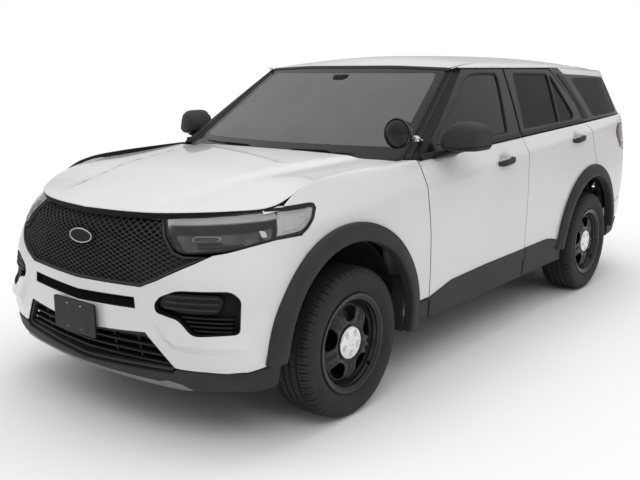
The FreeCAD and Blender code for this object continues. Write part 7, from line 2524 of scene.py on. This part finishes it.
def rearSeats():
    x0, y0 = 0.345, 0.900
    rows = ((-0.492, 0.545, 0.034), (-0.470, 0.546, 0.048), (-0.38, 0.546, 0.056), (-0.15, 0.540, 0.052),
            (0.02, 0.536, 0.042))
    build = loft([((x0, y0 + y, z), (0.318 - (0.012 if i in (0, 4) else 0), 0, 0), (0, 0, h), 6)
                  for i, (y, z, h) in enumerate(rows)], 64)
    cushion = padPiece("bench_left_cushion", build, lambda p: p, lambda p: p[:, 2] < pad["rest"],
                       [(lambda p: np.where(p[:, 2] > pad["top"], np.abs(np.abs(p[:, 0] - x0) - 0.20), 1), 0.009,
                         0.008),
                        (lambda p: np.where((p[:, 2] > pad["top"]) & (np.abs(p[:, 0] - x0) < 0.2),
                                            np.abs(p[:, 1] - y0 + 0.30), 1),
                         0.008, 0.008),
                        (lambda p: np.abs(p[:, 2] - 0.534), 0.004, 0.005)])
    low, high = np.array((y0 - 0.020, 0.565)), np.array((y0 + 0.155, 1.085))
    lean = (high - low) / np.linalg.norm(high - low)
    face = np.array((-lean[1], lean[0]))
    sections = []
    for t, w, d in ((0.0, 0.295, 0.044), (0.06, 0.312, 0.052), (0.5, 0.315, 0.050), (0.92, 0.300, 0.042),
                    (1.0, 0.270, 0.026)):
        y, z = low + (high - low) * t
        sections.append(((x0, y, z), (w, 0, 0), (0, -face[0] * d, -face[1] * d), 6))

    def along(points):
        rel = points[:, 1:] - low
        return rel @ lean / np.linalg.norm(high - low), rel @ face
    grooves = [(lambda p: np.where(along(p)[1] > 0.0, np.abs(np.abs(p[:, 0] - x0) - 0.19), 1), 0.010, 0.008)]
    for place in (0.30, 0.75):
        grooves.append((lambda p, place=place: np.where((along(p)[1] > 0.0) & (np.abs(p[:, 0] - x0) < 0.19),
                                                        np.abs(along(p)[0] - place) * 0.55, 1), 0.008, 0.008))
    back = padPiece("bench_left_back", loft(sections, 64), lambda p: p, lambda p: along(p)[1] < -0.030, grooves)
    head = loft([((x0 + 0.025, y0 + 0.160, z), (w, 0, 0), (0, d, 0), 3.2)
                 for z, w, d in ((1.118, 0.080, 0.018), (1.126, 0.108, 0.030), (1.16, 0.120, 0.036),
                                 (1.20, 0.118, 0.034), (1.222, 0.095, 0.022), (1.228, 0.060, 0.010))], 48)
    rest = padPiece("bench_left_head", head, lambda p: p, lambda p: p[:, 2] < 1.125,
                    [(lambda p: np.abs(p[:, 1] - y0 - 0.160), 0.004, 0.006)])
    for piece, part in ((cushion, "cushion"), (back, "back")):
        copyPad(piece, f"bench_right_{part}", -2 * x0)
    copyPad(rest, "bench_right_head", -2 * (x0 + 0.025))
    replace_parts(cushion, "rear_seat")
    for sign in (-1, 1):
        line = [(x0 + sign * 0.20, y0 + y, 0.60) for y in np.linspace(-0.46, -0.05, 22)]
        seamCord(cushion, f"bench_cushion_seam_{'a' if sign < 0 else 'b'}", line, (0, -2 * x0))
        line = [(x0 + sign * 0.19, *(low + (high - low) * t + face * 0.06)) for t in np.linspace(0.08, 0.95, 24)]
        seamCord(back, f"bench_back_seam_{'a' if sign < 0 else 'b'}", line, (0, -2 * x0))
    for side in (-1, 1):
        for x in (-0.05, 0.05):
            post = barBuild([(side * (x0 + 0.025) + x, y0 + 0.150, 1.060),
                             (side * (x0 + 0.025) + x, y0 + 0.160, 1.145)], 0.006, 12)
            settle(post, f"bench_post_{'l' if side > 0 else 'r'}_{'a' if x < 0 else 'b'}", "chrome", "engine_metal",
                   60)
    shell = loft([((x, *(low + (high - low) * 0.48 - face * 0.050)), (0, 0.245 * lean[0], 0.245 * lean[1]),
                   (0, -face[0] * 0.008, -face[1] * 0.008), 6)
                  for x in (-0.64, -0.63, 0.0, 0.63, 0.64)], 30)
    settle(shell, "bench_shell", "vinyl")


frontSeats()
rearSeats()
print("seats")


# inner door panels
doorInner = {
    "front": [(-0.905, 0.400), (0.205, 0.400), (0.200, 1.205), (-0.880, 1.165), (-0.905, 1.000)],
    "rear": [(0.300, 0.400), (0.872, 0.400), (0.905, 0.520), (0.985, 0.690), (1.120, 0.815), (1.300, 0.878),
             (1.355, 0.930), (1.285, 1.120), (1.235, 1.205), (0.300, 1.205)],
}
armrests = {"front": (-0.600, 0.020, 0.800), "rear": (0.420, 0.950, 0.800)}


def doorPanels():
    for key, shape in doorInner.items():
        outline = rounded(shape, 0.03)
        loop = body.find("side", dense(outline, 0.04), sideRegion)
        a, b, z = armrests[key]
        middle = 0.5 * (a + b)
        speaker = [(a + 0.02 + 0.075 * math.cos(t) - 0.12, 0.545 + 0.075 * math.sin(t)) for t in roundTurn(40)]
        if key == "rear":
            speaker = [(y + 0.16, h + 0.02) for y, h in speaker]
        hole = body.find("side", speaker, sideRegion)
        base = panel(body, [loop, hole], 0.010, hem=0.004, step=0.07, lift=-0.107)
        insert = rounded([(a - 0.10, z + 0.045), (b + 0.06, z + 0.055), (b + 0.04, z + 0.285), (a - 0.13, z + 0.255)],
                         0.05)
        soft = panel(body, [body.find("side", dense(insert, 0.03), sideRegion)], 0.004, hem=0.002, step=0.07,
                     lift=-0.1175)
        net = cellMesh(body, body.find("side", speaker, sideRegion), hole.min(axis=0), hole.max(axis=0),
                       {"width": 0.024, "height": 0.014, "opening": 0.66, "depth": 0.003}, -0.112)
        skinX = 0.852 if key == "front" else 0.850
        rest = loft([((skinX - 0.028, y, z + 0.010 * math.sin((y - a) / (b - a) * 3.1)), (0.036 * e, 0, 0),
                      (0, 0, 0.026 * e), 3.5)
                     for y, e in [(a, 0.45), (a + 0.02, 0.85), (a + 0.08, 1.0), (middle, 1.0), (b - 0.08, 1.0),
                                  (b - 0.02, 0.85), (b, 0.45)]], 28)
        grip = barBuild([(skinX - 0.012, b - 0.16, z + 0.09), (skinX - 0.045, b - 0.15, z + 0.10),
                         (skinX - 0.050, b - 0.06, z + 0.135), (skinX - 0.040, b + 0.02, z + 0.165),
                         (skinX - 0.010, b + 0.03, z + 0.17)], 0.011, 14)
        lever = loft([((skinX - 0.014, y, z + 0.215), (0.008, 0, 0), (0, 0, 0.011), 3)
                      for y in (a + 0.02, a + 0.03, a + 0.10, a + 0.11)], 20)
        cupRim = loft([((skinX - 0.006, y, z + 0.215), (0.004, 0, 0), (0, 0, 0.024), 3.5)
                       for y in (a, a + 0.01, a + 0.125, a + 0.135)], 24)
        keyPlaces = [(0.0, a + 0.07)]
        if key == "front":
            keyPlaces = [(dx, y0) for y0 in (a + 0.05, a + 0.09) for dx in (-0.012, 0.012)]
        keys = [loft([((skinX - 0.030 + dx, y, z + 0.030), (0.009, 0, 0), (0, 0, 0.006), 4)
                      for y in (y0, y0 + 0.003, y0 + 0.025, y0 + 0.028)], 16) for dx, y0 in keyPlaces]
        pocket = loft([((skinX - 0.020, y, 0.470), (0.020 * e, 0, 0), (0, 0, 0.050 * e), 4)
                       for y, e in [(a + 0.16, 0.4), (a + 0.18, 0.9), (a + 0.2, 1.0), (b - 0.02, 1.0), (b, 0.9),
                                    (b + 0.02, 0.4)]], 24)
        for side in ("left", "right"):
            flip, bodyName = side == "right", f"{key}_{side}_door"
            base.make(f"door_{key}_{side}_lining", "dash", bodyName, "cabin_plastic", flip)
            soft.make(f"door_{key}_{side}_insert", "vinyl", bodyName, "cabin_plastic", flip)
            smoothEdges(net.make(f"door_{key}_{side}_speaker", "mesh", bodyName, "cabin_plastic", flip), 20)
            for part, build, finish in (("armrest", rest, "vinyl"), ("pull", grip, "dash"), ("lever", lever, "satin"),
                                        ("lever_cup", cupRim, "mesh"), ("pocket", pocket, "dash"),
                                        ("switches", joinBuilds(*keys), "mesh")):
                fixFaces(build.make(f"door_{key}_{side}_{part}", finish, bodyName, "cabin_plastic", flip), 40)


def boxLoft(x0, x1, y0, y1, z0, z1, power=6, count=28, soft=0.012):
    xm, ym, zm = 0.5 * (x0 + x1), 0.5 * (y0 + y1), 0.5 * (z0 + z1)
    h, w, t = 0.5 * (x1 - x0), 0.5 * (y1 - y0), 0.5 * (z1 - z0)
    k = soft / max(min(w, t), soft * 1.5)
    return loft([((xm + s * h, ym, zm), (0, w * e, 0), (0, 0, t * e), power)
                 for s, e in ((-1, 1 - k), (-1 + soft / h, 1), (1 - soft / h, 1), (1, 1 - k))], count)


dashForm = {"half": 0.689, "middle": -0.90, "ends": 0.05, "crown": 0.004}


def dashPieces():
    # skin of the dashboard: crowned pad with a lip, the lower part set back
    profile = [(-1.080, 1.128), (-1.020, 1.1490), (-0.940, 1.1500), (-0.820, 1.1330), (-0.745, 1.1000),
               (-0.716, 1.0720), (-0.706, 1.0400), (-0.712, 1.0220), (-0.728, 1.0150), (-0.722, 0.9900),
               (-0.7065, 0.9700), (-0.712, 0.9450), (-0.752, 0.9150), (-0.788, 0.8700), (-0.796, 0.8000),
               (-0.802, 0.7250), (-0.900, 0.7220), (-1.080, 0.7220)]
    half, middleY = dashForm["half"], dashForm["middle"]
    build = Build()
    rings = []
    for x in np.linspace(-half, half, 41):
        end = 1 - dashForm["ends"] * (abs(x) / half) ** 12
        fall = dashForm["crown"] * (abs(x) / half) ** 2
        ring = [(x, middleY + (y - middleY) * end, z - fall) for y, z in profile]
        rings.append(build.add(ring) + np.arange(len(ring)))
    build.tube(rings)
    piece = settle(build, "dash_pad", "dash", angle=35)
    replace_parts(piece, "dashboard")
    binnacle = loft([((seat["x"], y, z), (w, 0, 0), (0, 0, h), 2.8) for y, z, w, h in
                     ((-0.900, 1.135, 0.150, 0.012), (-0.860, 1.142, 0.170, 0.026), (-0.780, 1.140, 0.176, 0.036),
                      (-0.715, 1.128, 0.176, 0.042), (-0.700, 1.126, 0.170, 0.038))], 40)
    settle(binnacle, "dash_binnacle", "vinyl")
    flat = Flat((seat["x"], -0.6985, 1.118), (1, 0, 0), (0, -0.12, 1))
    cluster = np.array(dense(rounded([(-0.140, -0.026), (0.140, -0.026), (0.132, 0.024), (-0.132, 0.024)], 0.012),
                             0.02))
    panel(flat, [cluster], 0.006, hem=0.002, step=0.05).make("dash_cluster", "screenGlass", "body", "cabin_plastic")
    for i, x in enumerate((0.310, 0.434)):
        ring = orient(turnedPiece([(0.019, 0.0), (0.0225, 0.0), (0.0225, 0.003), (0.019, 0.003), (0.019, 0.0)], 36),
                      (x, -0.6990, 1.118), (0, 1, 0.1))
        smoothEdges(ring.make(f"dash_dial_{i}", "satin", "body", "cabin_plastic"), 40)
    middle = Flat((0.0, -0.6945, 1.060), (1, 0, 0), (0, -0.14, 0.99))
    bezel = rounded([(-0.128, -0.078), (0.128, -0.078), (0.128, 0.078), (-0.128, 0.078)], 0.012)
    panel(middle, [np.array(dense(bezel, 0.02))], 0.022, hem=0.004, step=0.06).make("dash_display_frame", "mesh",
                                                                                    "body", "cabin_plastic")
    glass = Flat((0.0, -0.6915, 1.060), (1, 0, 0), (0, -0.14, 0.99))
    panel(glass, [np.array(dense(inset(bezel, 0.010), 0.02))], 0.004, hem=0.001, step=0.06).make(
        "dash_display", "screenGlass", "body", "cabin_plastic")
    for i, x in enumerate((-0.600, -0.205, 0.205, 0.600)):
        rim = Flat((x, -0.7030, 1.045), (1, 0, 0), (0, -0.12, 1))
        outer = rounded([(-0.058, -0.028), (0.058, -0.028), (0.058, 0.028), (-0.058, 0.028)], 0.010)
        panel(rim, [np.array(dense(outer, 0.02)), np.array(dense(inset(outer, 0.007), 0.02))], 0.014, hem=0.002,
              step=0.2).make(f"dash_vent_{i}", "satin", "body", "cabin_plastic")
        slats = joinBuilds(*[boxLoft(x - 0.050, x + 0.050, -0.712, -0.703, 1.045 + dz - 0.0015, 1.045 + dz + 0.0015,
                                     4, 12, 0.001)
                             for dz in (-0.014, -0.005, 0.005, 0.014)])
        settle(slats, f"dash_vent_{i}_slats", "mesh")
    trim = joinBuilds(boxLoft(-0.670, -0.150, -0.712, -0.700, 0.992, 0.999, 4, 14, 0.002),
                      boxLoft(0.150, 0.670, -0.712, -0.700, 0.992, 0.999, 4, 14, 0.002))
    settle(trim, "dash_trim", "satin")
    lid = Flat((-0.385, -0.7925, 0.845), (1, 0, 0), (0, 0.10, 1))
    shape = rounded([(-0.200, -0.075), (0.200, -0.075), (0.200, 0.060), (-0.200, 0.060)], 0.02)
    panel(lid, [np.array(dense(shape, 0.03))], 0.012, hem=0.004, step=0.08).make("dash_glovebox", "dash", "body",
                                                                                 "cabin_plastic")
    knobs = [orient(turnedPiece([(0.0, 0.016), (0.011, 0.016), (0.013, 0.013), (0.014, 0.0), (0.0, 0.0)], 28),
                    (x, -0.7035, 0.955), (0, 1, -0.1))
             for x in (-0.085, -0.028, 0.028, 0.085)]
    for i, knob in enumerate(knobs):
        smoothEdges(knob.make(f"dash_knob_{i}", "satin", "body", "cabin_plastic"), 40)


def wheelAndConsole():
    centre = np.array((seat["x"], -0.560, 1.010))
    tilt = math.radians(-62)
    turn = Matrix.Rotation(tilt, 3, "X")

    def placed(build):
        build.points = [tuple(Vector(centre) + turn @ Vector(p)) for p in build.points]
        return build
    tube = Build()
    rings = []
    for t in roundTurn(72):
        radial = np.array((math.cos(t), math.sin(t), 0))
        thick = 0.0150 + 0.0012 * math.cos(3 * (t - 0.5 * math.pi))
        ring = [radial * (0.183 + thick * math.cos(s)) + np.array((0, 0, 0.96 * thick * math.sin(s)))
                for s in roundTurn(16)]
        rings.append(tube.add(ring) + np.arange(16))
    for i in range(72):
        tube.strip(rings[i], rings[(i + 1) % 72])
    rim = settle(placed(tube), "steering_rim", "vinyl", angle=60)
    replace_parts(rim, "steering_wheel")
    hub = loft([((0, -0.010, z), (w, 0, 0), (0, h, 0), 2.6) for z, w, h in
                ((-0.030, 0.050, 0.045), (-0.020, 0.066, 0.058), (0.004, 0.072, 0.064), (0.016, 0.066, 0.058),
                 (0.022, 0.050, 0.044))], 40)
    settle(placed(hub), "steering_hub", "dash")
    spokes = [loft([((x * 0.058, -0.004, -0.006), (0, 0.026, 0), (0, 0, 0.008), 3),
                    ((x * 0.110, 0.002, -0.008), (0, 0.020, 0), (0, 0, 0.007), 3),
                    ((x * 0.176, 0.006, -0.004), (0, 0.018, 0), (0, 0, 0.008), 3)], 20) for x in (-1, 1)]
    spokes.append(loft([((0, -0.060, -0.008), (0.026, 0, 0), (0, 0, 0.007), 3),
                        ((0, -0.178, -0.004), (0.018, 0, 0), (0, 0, 0.008), 3)], 20))
    fixFaces(placed(joinBuilds(*spokes)).make("steering_spokes", "satin", "body", "cabin_plastic"), 40)
    ring = placed(turnedPiece([(0.026, 0.0225), (0.030, 0.0225), (0.030, 0.0245), (0.026, 0.0245), (0.026, 0.0225)],
                              40))
    settle(ring, "steering_boss", "satin")
    column = barBuild([(seat["x"], -0.585, 0.996), (seat["x"], -0.700, 0.935), (seat["x"], -0.790, 0.890)],
                      [0.040, 0.048, 0.052], 28)
    settle(column, "steering_column", "dash")
    for i, x in enumerate((-1, 1)):
        stalk = barBuild([(seat["x"] + x * 0.040, -0.640, 0.970), (seat["x"] + x * 0.115, -0.632, 0.985),
                          (seat["x"] + x * 0.150, -0.628, 0.992)],
                         [0.006, 0.0075, 0.009], 12)
        settle(stalk, f"steering_stalk_{i}", "mesh", angle=50)
    top = loft([((0, y, z), (w, 0, 0), (0, 0, h), 5) for y, z, w, h in
                ((-0.776, 0.620, 0.090, 0.130), (-0.765, 0.620, 0.098, 0.137), (-0.690, 0.612, 0.099, 0.128),
                 (-0.560, 0.575, 0.099, 0.090), (-0.420, 0.570, 0.099, 0.086), (-0.165, 0.568, 0.099, 0.084),
                 (-0.152, 0.568, 0.092, 0.076))], 40)
    piece = settle(top, "console_body", "dash")
    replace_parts(piece, "centre_console")
    lid = loft([((0, y, 0.658), (w, 0, 0), (0, 0, 0.014), 4)
                for y, w in ((-0.400, 0.076), (-0.385, 0.088), (-0.200, 0.088), (-0.170, 0.076))], 36)
    settle(lid, "console_lid", "vinyl")
    for i, x in enumerate((-0.045, 0.045)):
        ring = orient(turnedPiece([(0.034, 0.0), (0.041, 0.0), (0.041, 0.004), (0.034, 0.004), (0.034, -0.001)], 36),
                      (x, -0.475, 0.661), (0, 0, 1))
        settle(ring, f"console_cup_{i}", "satin")
        # the floor of each cup holder takes the near-black pocket finish: painted shade in the hollow
        well = orient(turnedPiece([(0.0, 0.0), (0.0345, 0.0), (0.0345, 0.0015), (0.0, 0.0015)], 36),
                      (x, -0.475, 0.6605), (0, 0, 1))
        settle(well, f"console_well_{i}", "pocket")
    shifter = loft([((0.0, -0.630, z), (w, 0, 0), (0, d, 0), 3) for z, w, d in
                    ((0.690, 0.014, 0.014), (0.735, 0.013, 0.013), (0.745, 0.024, 0.032), (0.775, 0.027, 0.038),
                     (0.790, 0.020, 0.030))], 28)
    settle(shifter, "console_shifter", "vinyl")
    # mirror and visors at the head of the windscreen
    pod = loft([((0.0, -0.470, 1.640), (0.050, 0, 0), (0, 0.030, 0.004), 3.5),
                ((0.0, -0.485, 1.615), (0.056, 0, 0), (0, 0.032, 0.004), 3.5),
                ((0.0, -0.500, 1.598), (0.044, 0, 0), (0, 0.022, 0.003), 3.5)], 28)
    settle(pod, "cabin_mirror_pod", "mesh", "dark_plastic")
    stem = barBuild([(0, -0.495, 1.605), (0, -0.470, 1.570)], 0.008, 14)
    settle(stem, "cabin_mirror_stem", "mesh", "dark_plastic", 50)
    shell = loft([((x, -0.455, 1.553), (0, 0.014 * e, 0), (0, 0, 0.034 * e), 3) for x, e in
                  ((-0.130, 0.4), (-0.122, 0.85), (-0.08, 1), (0.0, 1.04), (0.08, 1), (0.122, 0.85), (0.130, 0.4))],
                 28)
    settle(shell, "cabin_mirror_shell", "mesh", "dark_plastic")
    for side in ("left", "right"):
        visor = loft([((x, -0.300, 1.6550), (0, 0.075 * e, -0.004), (0, 0.0, 0.008 * e), 4) for x, e in
                      ((0.140, 0.6), (0.155, 1), (0.500, 1), (0.520, 0.6))], 24)
        fixFaces(visor.make(f"cabin_visor_{side}", "lining", "body", "cabin_plastic", side == "right"), 40)


doorPanels()
dashPieces()
wheelAndConsole()
print("cabin")


# cowl, wipers and what the bonnet covers
def cowlAndWipers():
    edge = [(0.0, -1.222), (0.300, -1.205), (0.600, -1.155), (0.796, -1.100), (0.796, -1.060), (0.600, -1.100),
            (0.300, -1.146), (0.0, -1.166)]
    crown = Crown([(-1.300, 0.9, 1.1690, 1.1690), (-1.000, 0.9, 1.1700, 1.1700), (-0.9, 0.9, 1.1700, 1.1700)])
    loop = np.array(dense(bothSides(edge), 0.03))
    cover = panel(crown, [loop], 0.016, hem=0.004, step=0.06)
    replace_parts(cover.make("cowl_cover", "trim", "body", "dark_plastic"), "cowl")
    # the slots are thin dark blocks on the cover: painted shade standing for openings
    for i in range(17):
        x = -0.56 + 0.07 * i
        y = -1.195 + 0.11 * (abs(x) / 0.6) ** 2 * 0.62
        slot = boxLoft(x - 0.026, x + 0.026, y - 0.010, y + 0.010, 1.1682, 1.1712, 5, 14, 0.002)
        settle(slot, f"cowl_slot_shade_{i}", "pocket", "dark_plastic")
    for name, pivot, tip in (("left", (0.560, -1.140), (-0.080, 1.2150)),
                             ("right", (-0.020, -1.190), (-0.640, 1.2250))):
        base = np.array((pivot[0], pivot[1], 1.176))
        cap = orient(turnedPiece([(0.0, 0.012), (0.010, 0.011), (0.014, 0.006), (0.015, -0.004), (0.0, -0.004)], 24),
                     tuple(base), (0, -0.3, 1))
        smoothEdges(cap.make(f"wiper_{name}_cap", "mesh", "body", "dark_plastic"), 40)
        span = np.linspace(0, 1, 9)
        lineX = pivot[0] + (tip[0] - pivot[0]) * span
        lineZ = 1.212 + (tip[1] - 1.212) * span
        spots = []
        for x, z in zip(lineX, lineZ):
            s = x / max(abs(screenPoint(np.array([1.0]), np.array([z]))[0][0]), 0.1)
            p = screenPoint(np.array([s]), np.array([z]))[0]
            spots.append(p + np.array((0, -0.014, 0.012)))
        arm = barBuild([base + (0, 0, 0.004), base * 0.5 + spots[2] * 0.5 + (0, -0.004, 0.006),
                        spots[2] + (0, -0.004, 0.008), spots[5] + (0, -0.002, 0.004)],
                       [0.008, 0.008, 0.006, 0.004], 12)
        settle(arm, f"wiper_{name}_arm", "mesh", "dark_plastic", 50)
        blade = barBuild([s + np.array((0, 0.004, -0.003)) for s in spots],
                         [0.003, 0.006, 0.006, 0.006, 0.006, 0.006, 0.006, 0.006, 0.003], 10)
        settle(blade, f"wiper_{name}_blade", "seal", "dark_plastic", 50)


def engineBay():
    cover = loft([((x, -1.890, 0.902), (0, 0.285 * e, 0), (0, 0, 0.026 * e), 5) for x, e in
                  ((-0.262, 0.9), (-0.250, 1), (0.250, 1), (0.262, 0.9))], 40)
    settle(cover, "engine_cover", "trim", "engine_metal")
    ribs = joinBuilds(*[boxLoft(-0.20, 0.20, y - 0.010, y + 0.010, 0.924, 0.934, 4, 14, 0.004)
                        for y in (-2.05, -1.98, -1.91, -1.84, -1.77)])
    settle(ribs, "engine_ribs", "mesh", "engine_metal")
    cap = orient(turnedPiece([(0.0, 0.022), (0.022, 0.020), (0.026, 0.012), (0.026, 0.0), (0.0, 0.0)], 8),
                 (0.17, -1.70, 0.925), (0, 0, 1))
    smoothEdges(cap.make("engine_cap", "mesh", "body", "engine_metal"), 40)
    battery = boxLoft(-0.455, -0.305, -1.620, -1.380, 0.700, 0.880, 8, 36, 0.010)
    settle(battery, "bay_battery", "mesh", "dark_plastic", 30)
    for i, y in enumerate((-1.575, -1.425)):
        post = orient(turnedPiece([(0.0, 0.018), (0.010, 0.018), (0.012, 0.0), (0.0, 0.0)], 16), (-0.38, y, 0.880),
                      (0, 0, 1))
        smoothEdges(post.make(f"bay_battery_post_{i}", "steel", "body", "engine_metal"), 40)
    filterBox = boxLoft(0.300, 0.462, -1.760, -1.440, 0.700, 0.900, 7, 36, 0.016)
    settle(filterBox, "bay_filter_box", "trim", "dark_plastic", 30)
    duct = barBuild([(0.380, -1.770, 0.840), (0.360, -1.900, 0.870), (0.250, -2.060, 0.900), (0.120, -2.120, 0.915)],
                    0.034, 24)
    settle(duct, "bay_duct", "mesh", "dark_plastic", 50)
    hose = barBuild([(-0.30, -2.270, 0.820), (-0.26, -2.230, 0.860), (-0.20, -2.190, 0.870), (-0.16, -2.150, 0.860)],
                    0.020, 20)
    settle(hose, "bay_hose", "seal", "dark_plastic", 50)
    bottle = loft([((-0.385, -1.86, z), (0.06, 0, 0), (0, 0.07, 0), 4) for z in (0.70, 0.72, 0.86, 0.875)], 32)
    settle(bottle, "bay_bottle", "lampWhite", "dark_plastic")
    lid = orient(turnedPiece([(0.0, 0.016), (0.022, 0.015), (0.026, 0.008), (0.026, 0.0), (0.0, 0.0)], 28),
                 (-0.385, -1.86, 0.875), (0, 0, 1))
    smoothEdges(lid.make("bay_bottle_lid", "mesh", "body", "dark_plastic"), 40)
    under = np.array(dense(bothSides([(0.0, -2.330), (0.40, -2.270), (0.62, -2.160), (0.745, -2.020), (0.760, -1.300),
                                      (0.560, -1.290), (0.0, -1.330)]), 0.05))
    liner = panel(hoodCrown, [under], 0.006, hem=0.003, step=0.10, lift=-0.0345)
    liner.make("hood_liner", "liner", "hood", "dark_plastic")


cowlAndWipers()
engineBay()
print("cowl and engine bay")


# white room: the camera sees white, mirrors see a share of it, and what lights the body is softer
floorSetup = {"half": 24, "clear": (1.9, 3.3), "fade": (0.62, 1.45), "greys": (0.88, 0.90)}


def studio():
    size = floorSetup["half"]
    mesh = bpy.data.meshes.new("floor")
    mesh.from_pydata([(-size, -size, 0), (size, -size, 0), (size, size, 0), (-size, size, 0)], [], [(0, 1, 2, 3)])
    ground = bpy.data.objects.new("floor", mesh)
    scene.collection.objects.link(ground)
    f = Finish("floorCard", Roughness=0.95, Specular_IOR_Level=0.05)
    f.feed("Base Color", f.ramp(f.noise(0.6, 2),
                                *[(at, grey(level)) for at, level in zip((0.3, 0.7), floorSetup["greys"])]))
    # clear of the object the card is plain white to the camera
    spot = f.node("ShaderNodeVectorMath", {"operation": "MULTIPLY"},
                  {0: f.place(), 1: [1 / half for half in floorSetup["clear"]] + [0]})
    away = f.node("ShaderNodeVectorMath", {"operation": "LENGTH"}, {0: spot}, out="Value")
    seen = f.node("ShaderNodeLightPath", out="Is Camera Ray")
    near, far = floorSetup["fade"]
    share = f.node("ShaderNodeMapRange", {"interpolation_type": "SMOOTHSTEP"}, {0: away, 1: near, 2: far, 3: 0, 4: 1})
    white = f.tree.nodes.new("ShaderNodeEmission")
    mix = f.tree.nodes.new("ShaderNodeMixShader")
    f.tree.links.new((share * seen).socket, mix.inputs[0])
    f.tree.links.new(f.shader.outputs[0], mix.inputs[1])
    f.tree.links.new(white.outputs[0], mix.inputs[2])
    f.tree.links.new(mix.outputs[0], f.tree.nodes["Material Output"].inputs["Surface"])
    mesh.materials.append(f.material)
    world = bpy.data.worlds.new("studio")
    scene.world = world
    world.use_nodes = True
    sky = Graph(world.node_tree)
    height = sky.node("ShaderNodeSeparateXYZ", {}, {0: sky.node("ShaderNodeTexCoord", out="Generated")}, out="Z")
    stops = [(at, grey(worldSetup[key])) for at, key in ((0.0, "low"), (0.06, "horizon"), (0.35, "middle"),
                                                         (0.8, "high"))]
    soft = sky.node("ShaderNodeBackground", {}, {"Color": sky.ramp(height, *stops)})
    bright = sky.node("ShaderNodeBackground", {}, {"Color": (1, 1, 1, 1)})
    rays = [sky.node("ShaderNodeLightPath", out=f"Is {kind} Ray") for kind in ("Camera", "Glossy", "Transmission")]
    seen = rays[0] + (rays[1] + rays[2]) * worldSetup["mirrored"]
    mix = sky.node("ShaderNodeMixShader", {}, {0: seen, 1: soft, 2: bright})
    sky.tree.links.new(mix.socket, sky.tree.nodes["World Output"].inputs["Surface"])


# CAD nodes that stay: each takes the finish of its slot
slotFinish = {"body_paint": "paint", "dark_plastic": "trim", "black_gloss": "gloss", "clear_glass": "clear",
              "tinted_glass": "tinted", "lamp_glass": "cover", "red_lens": "gloss", "tyre_rubber": "seal",
              "wheel_black": "gloss", "floor_steel": "steel", "engine_metal": "steel", "cabin_plastic": "trim",
              "seat_cloth": "seal"}
for name, part in nodes.items():
    for index, held in enumerate(part.data.materials):
        key = held.name.split(".")[0]
        if key in slotFinish:
            part.data.materials[index] = finishes[slotFinish[key]].material
studio()
print("studio")
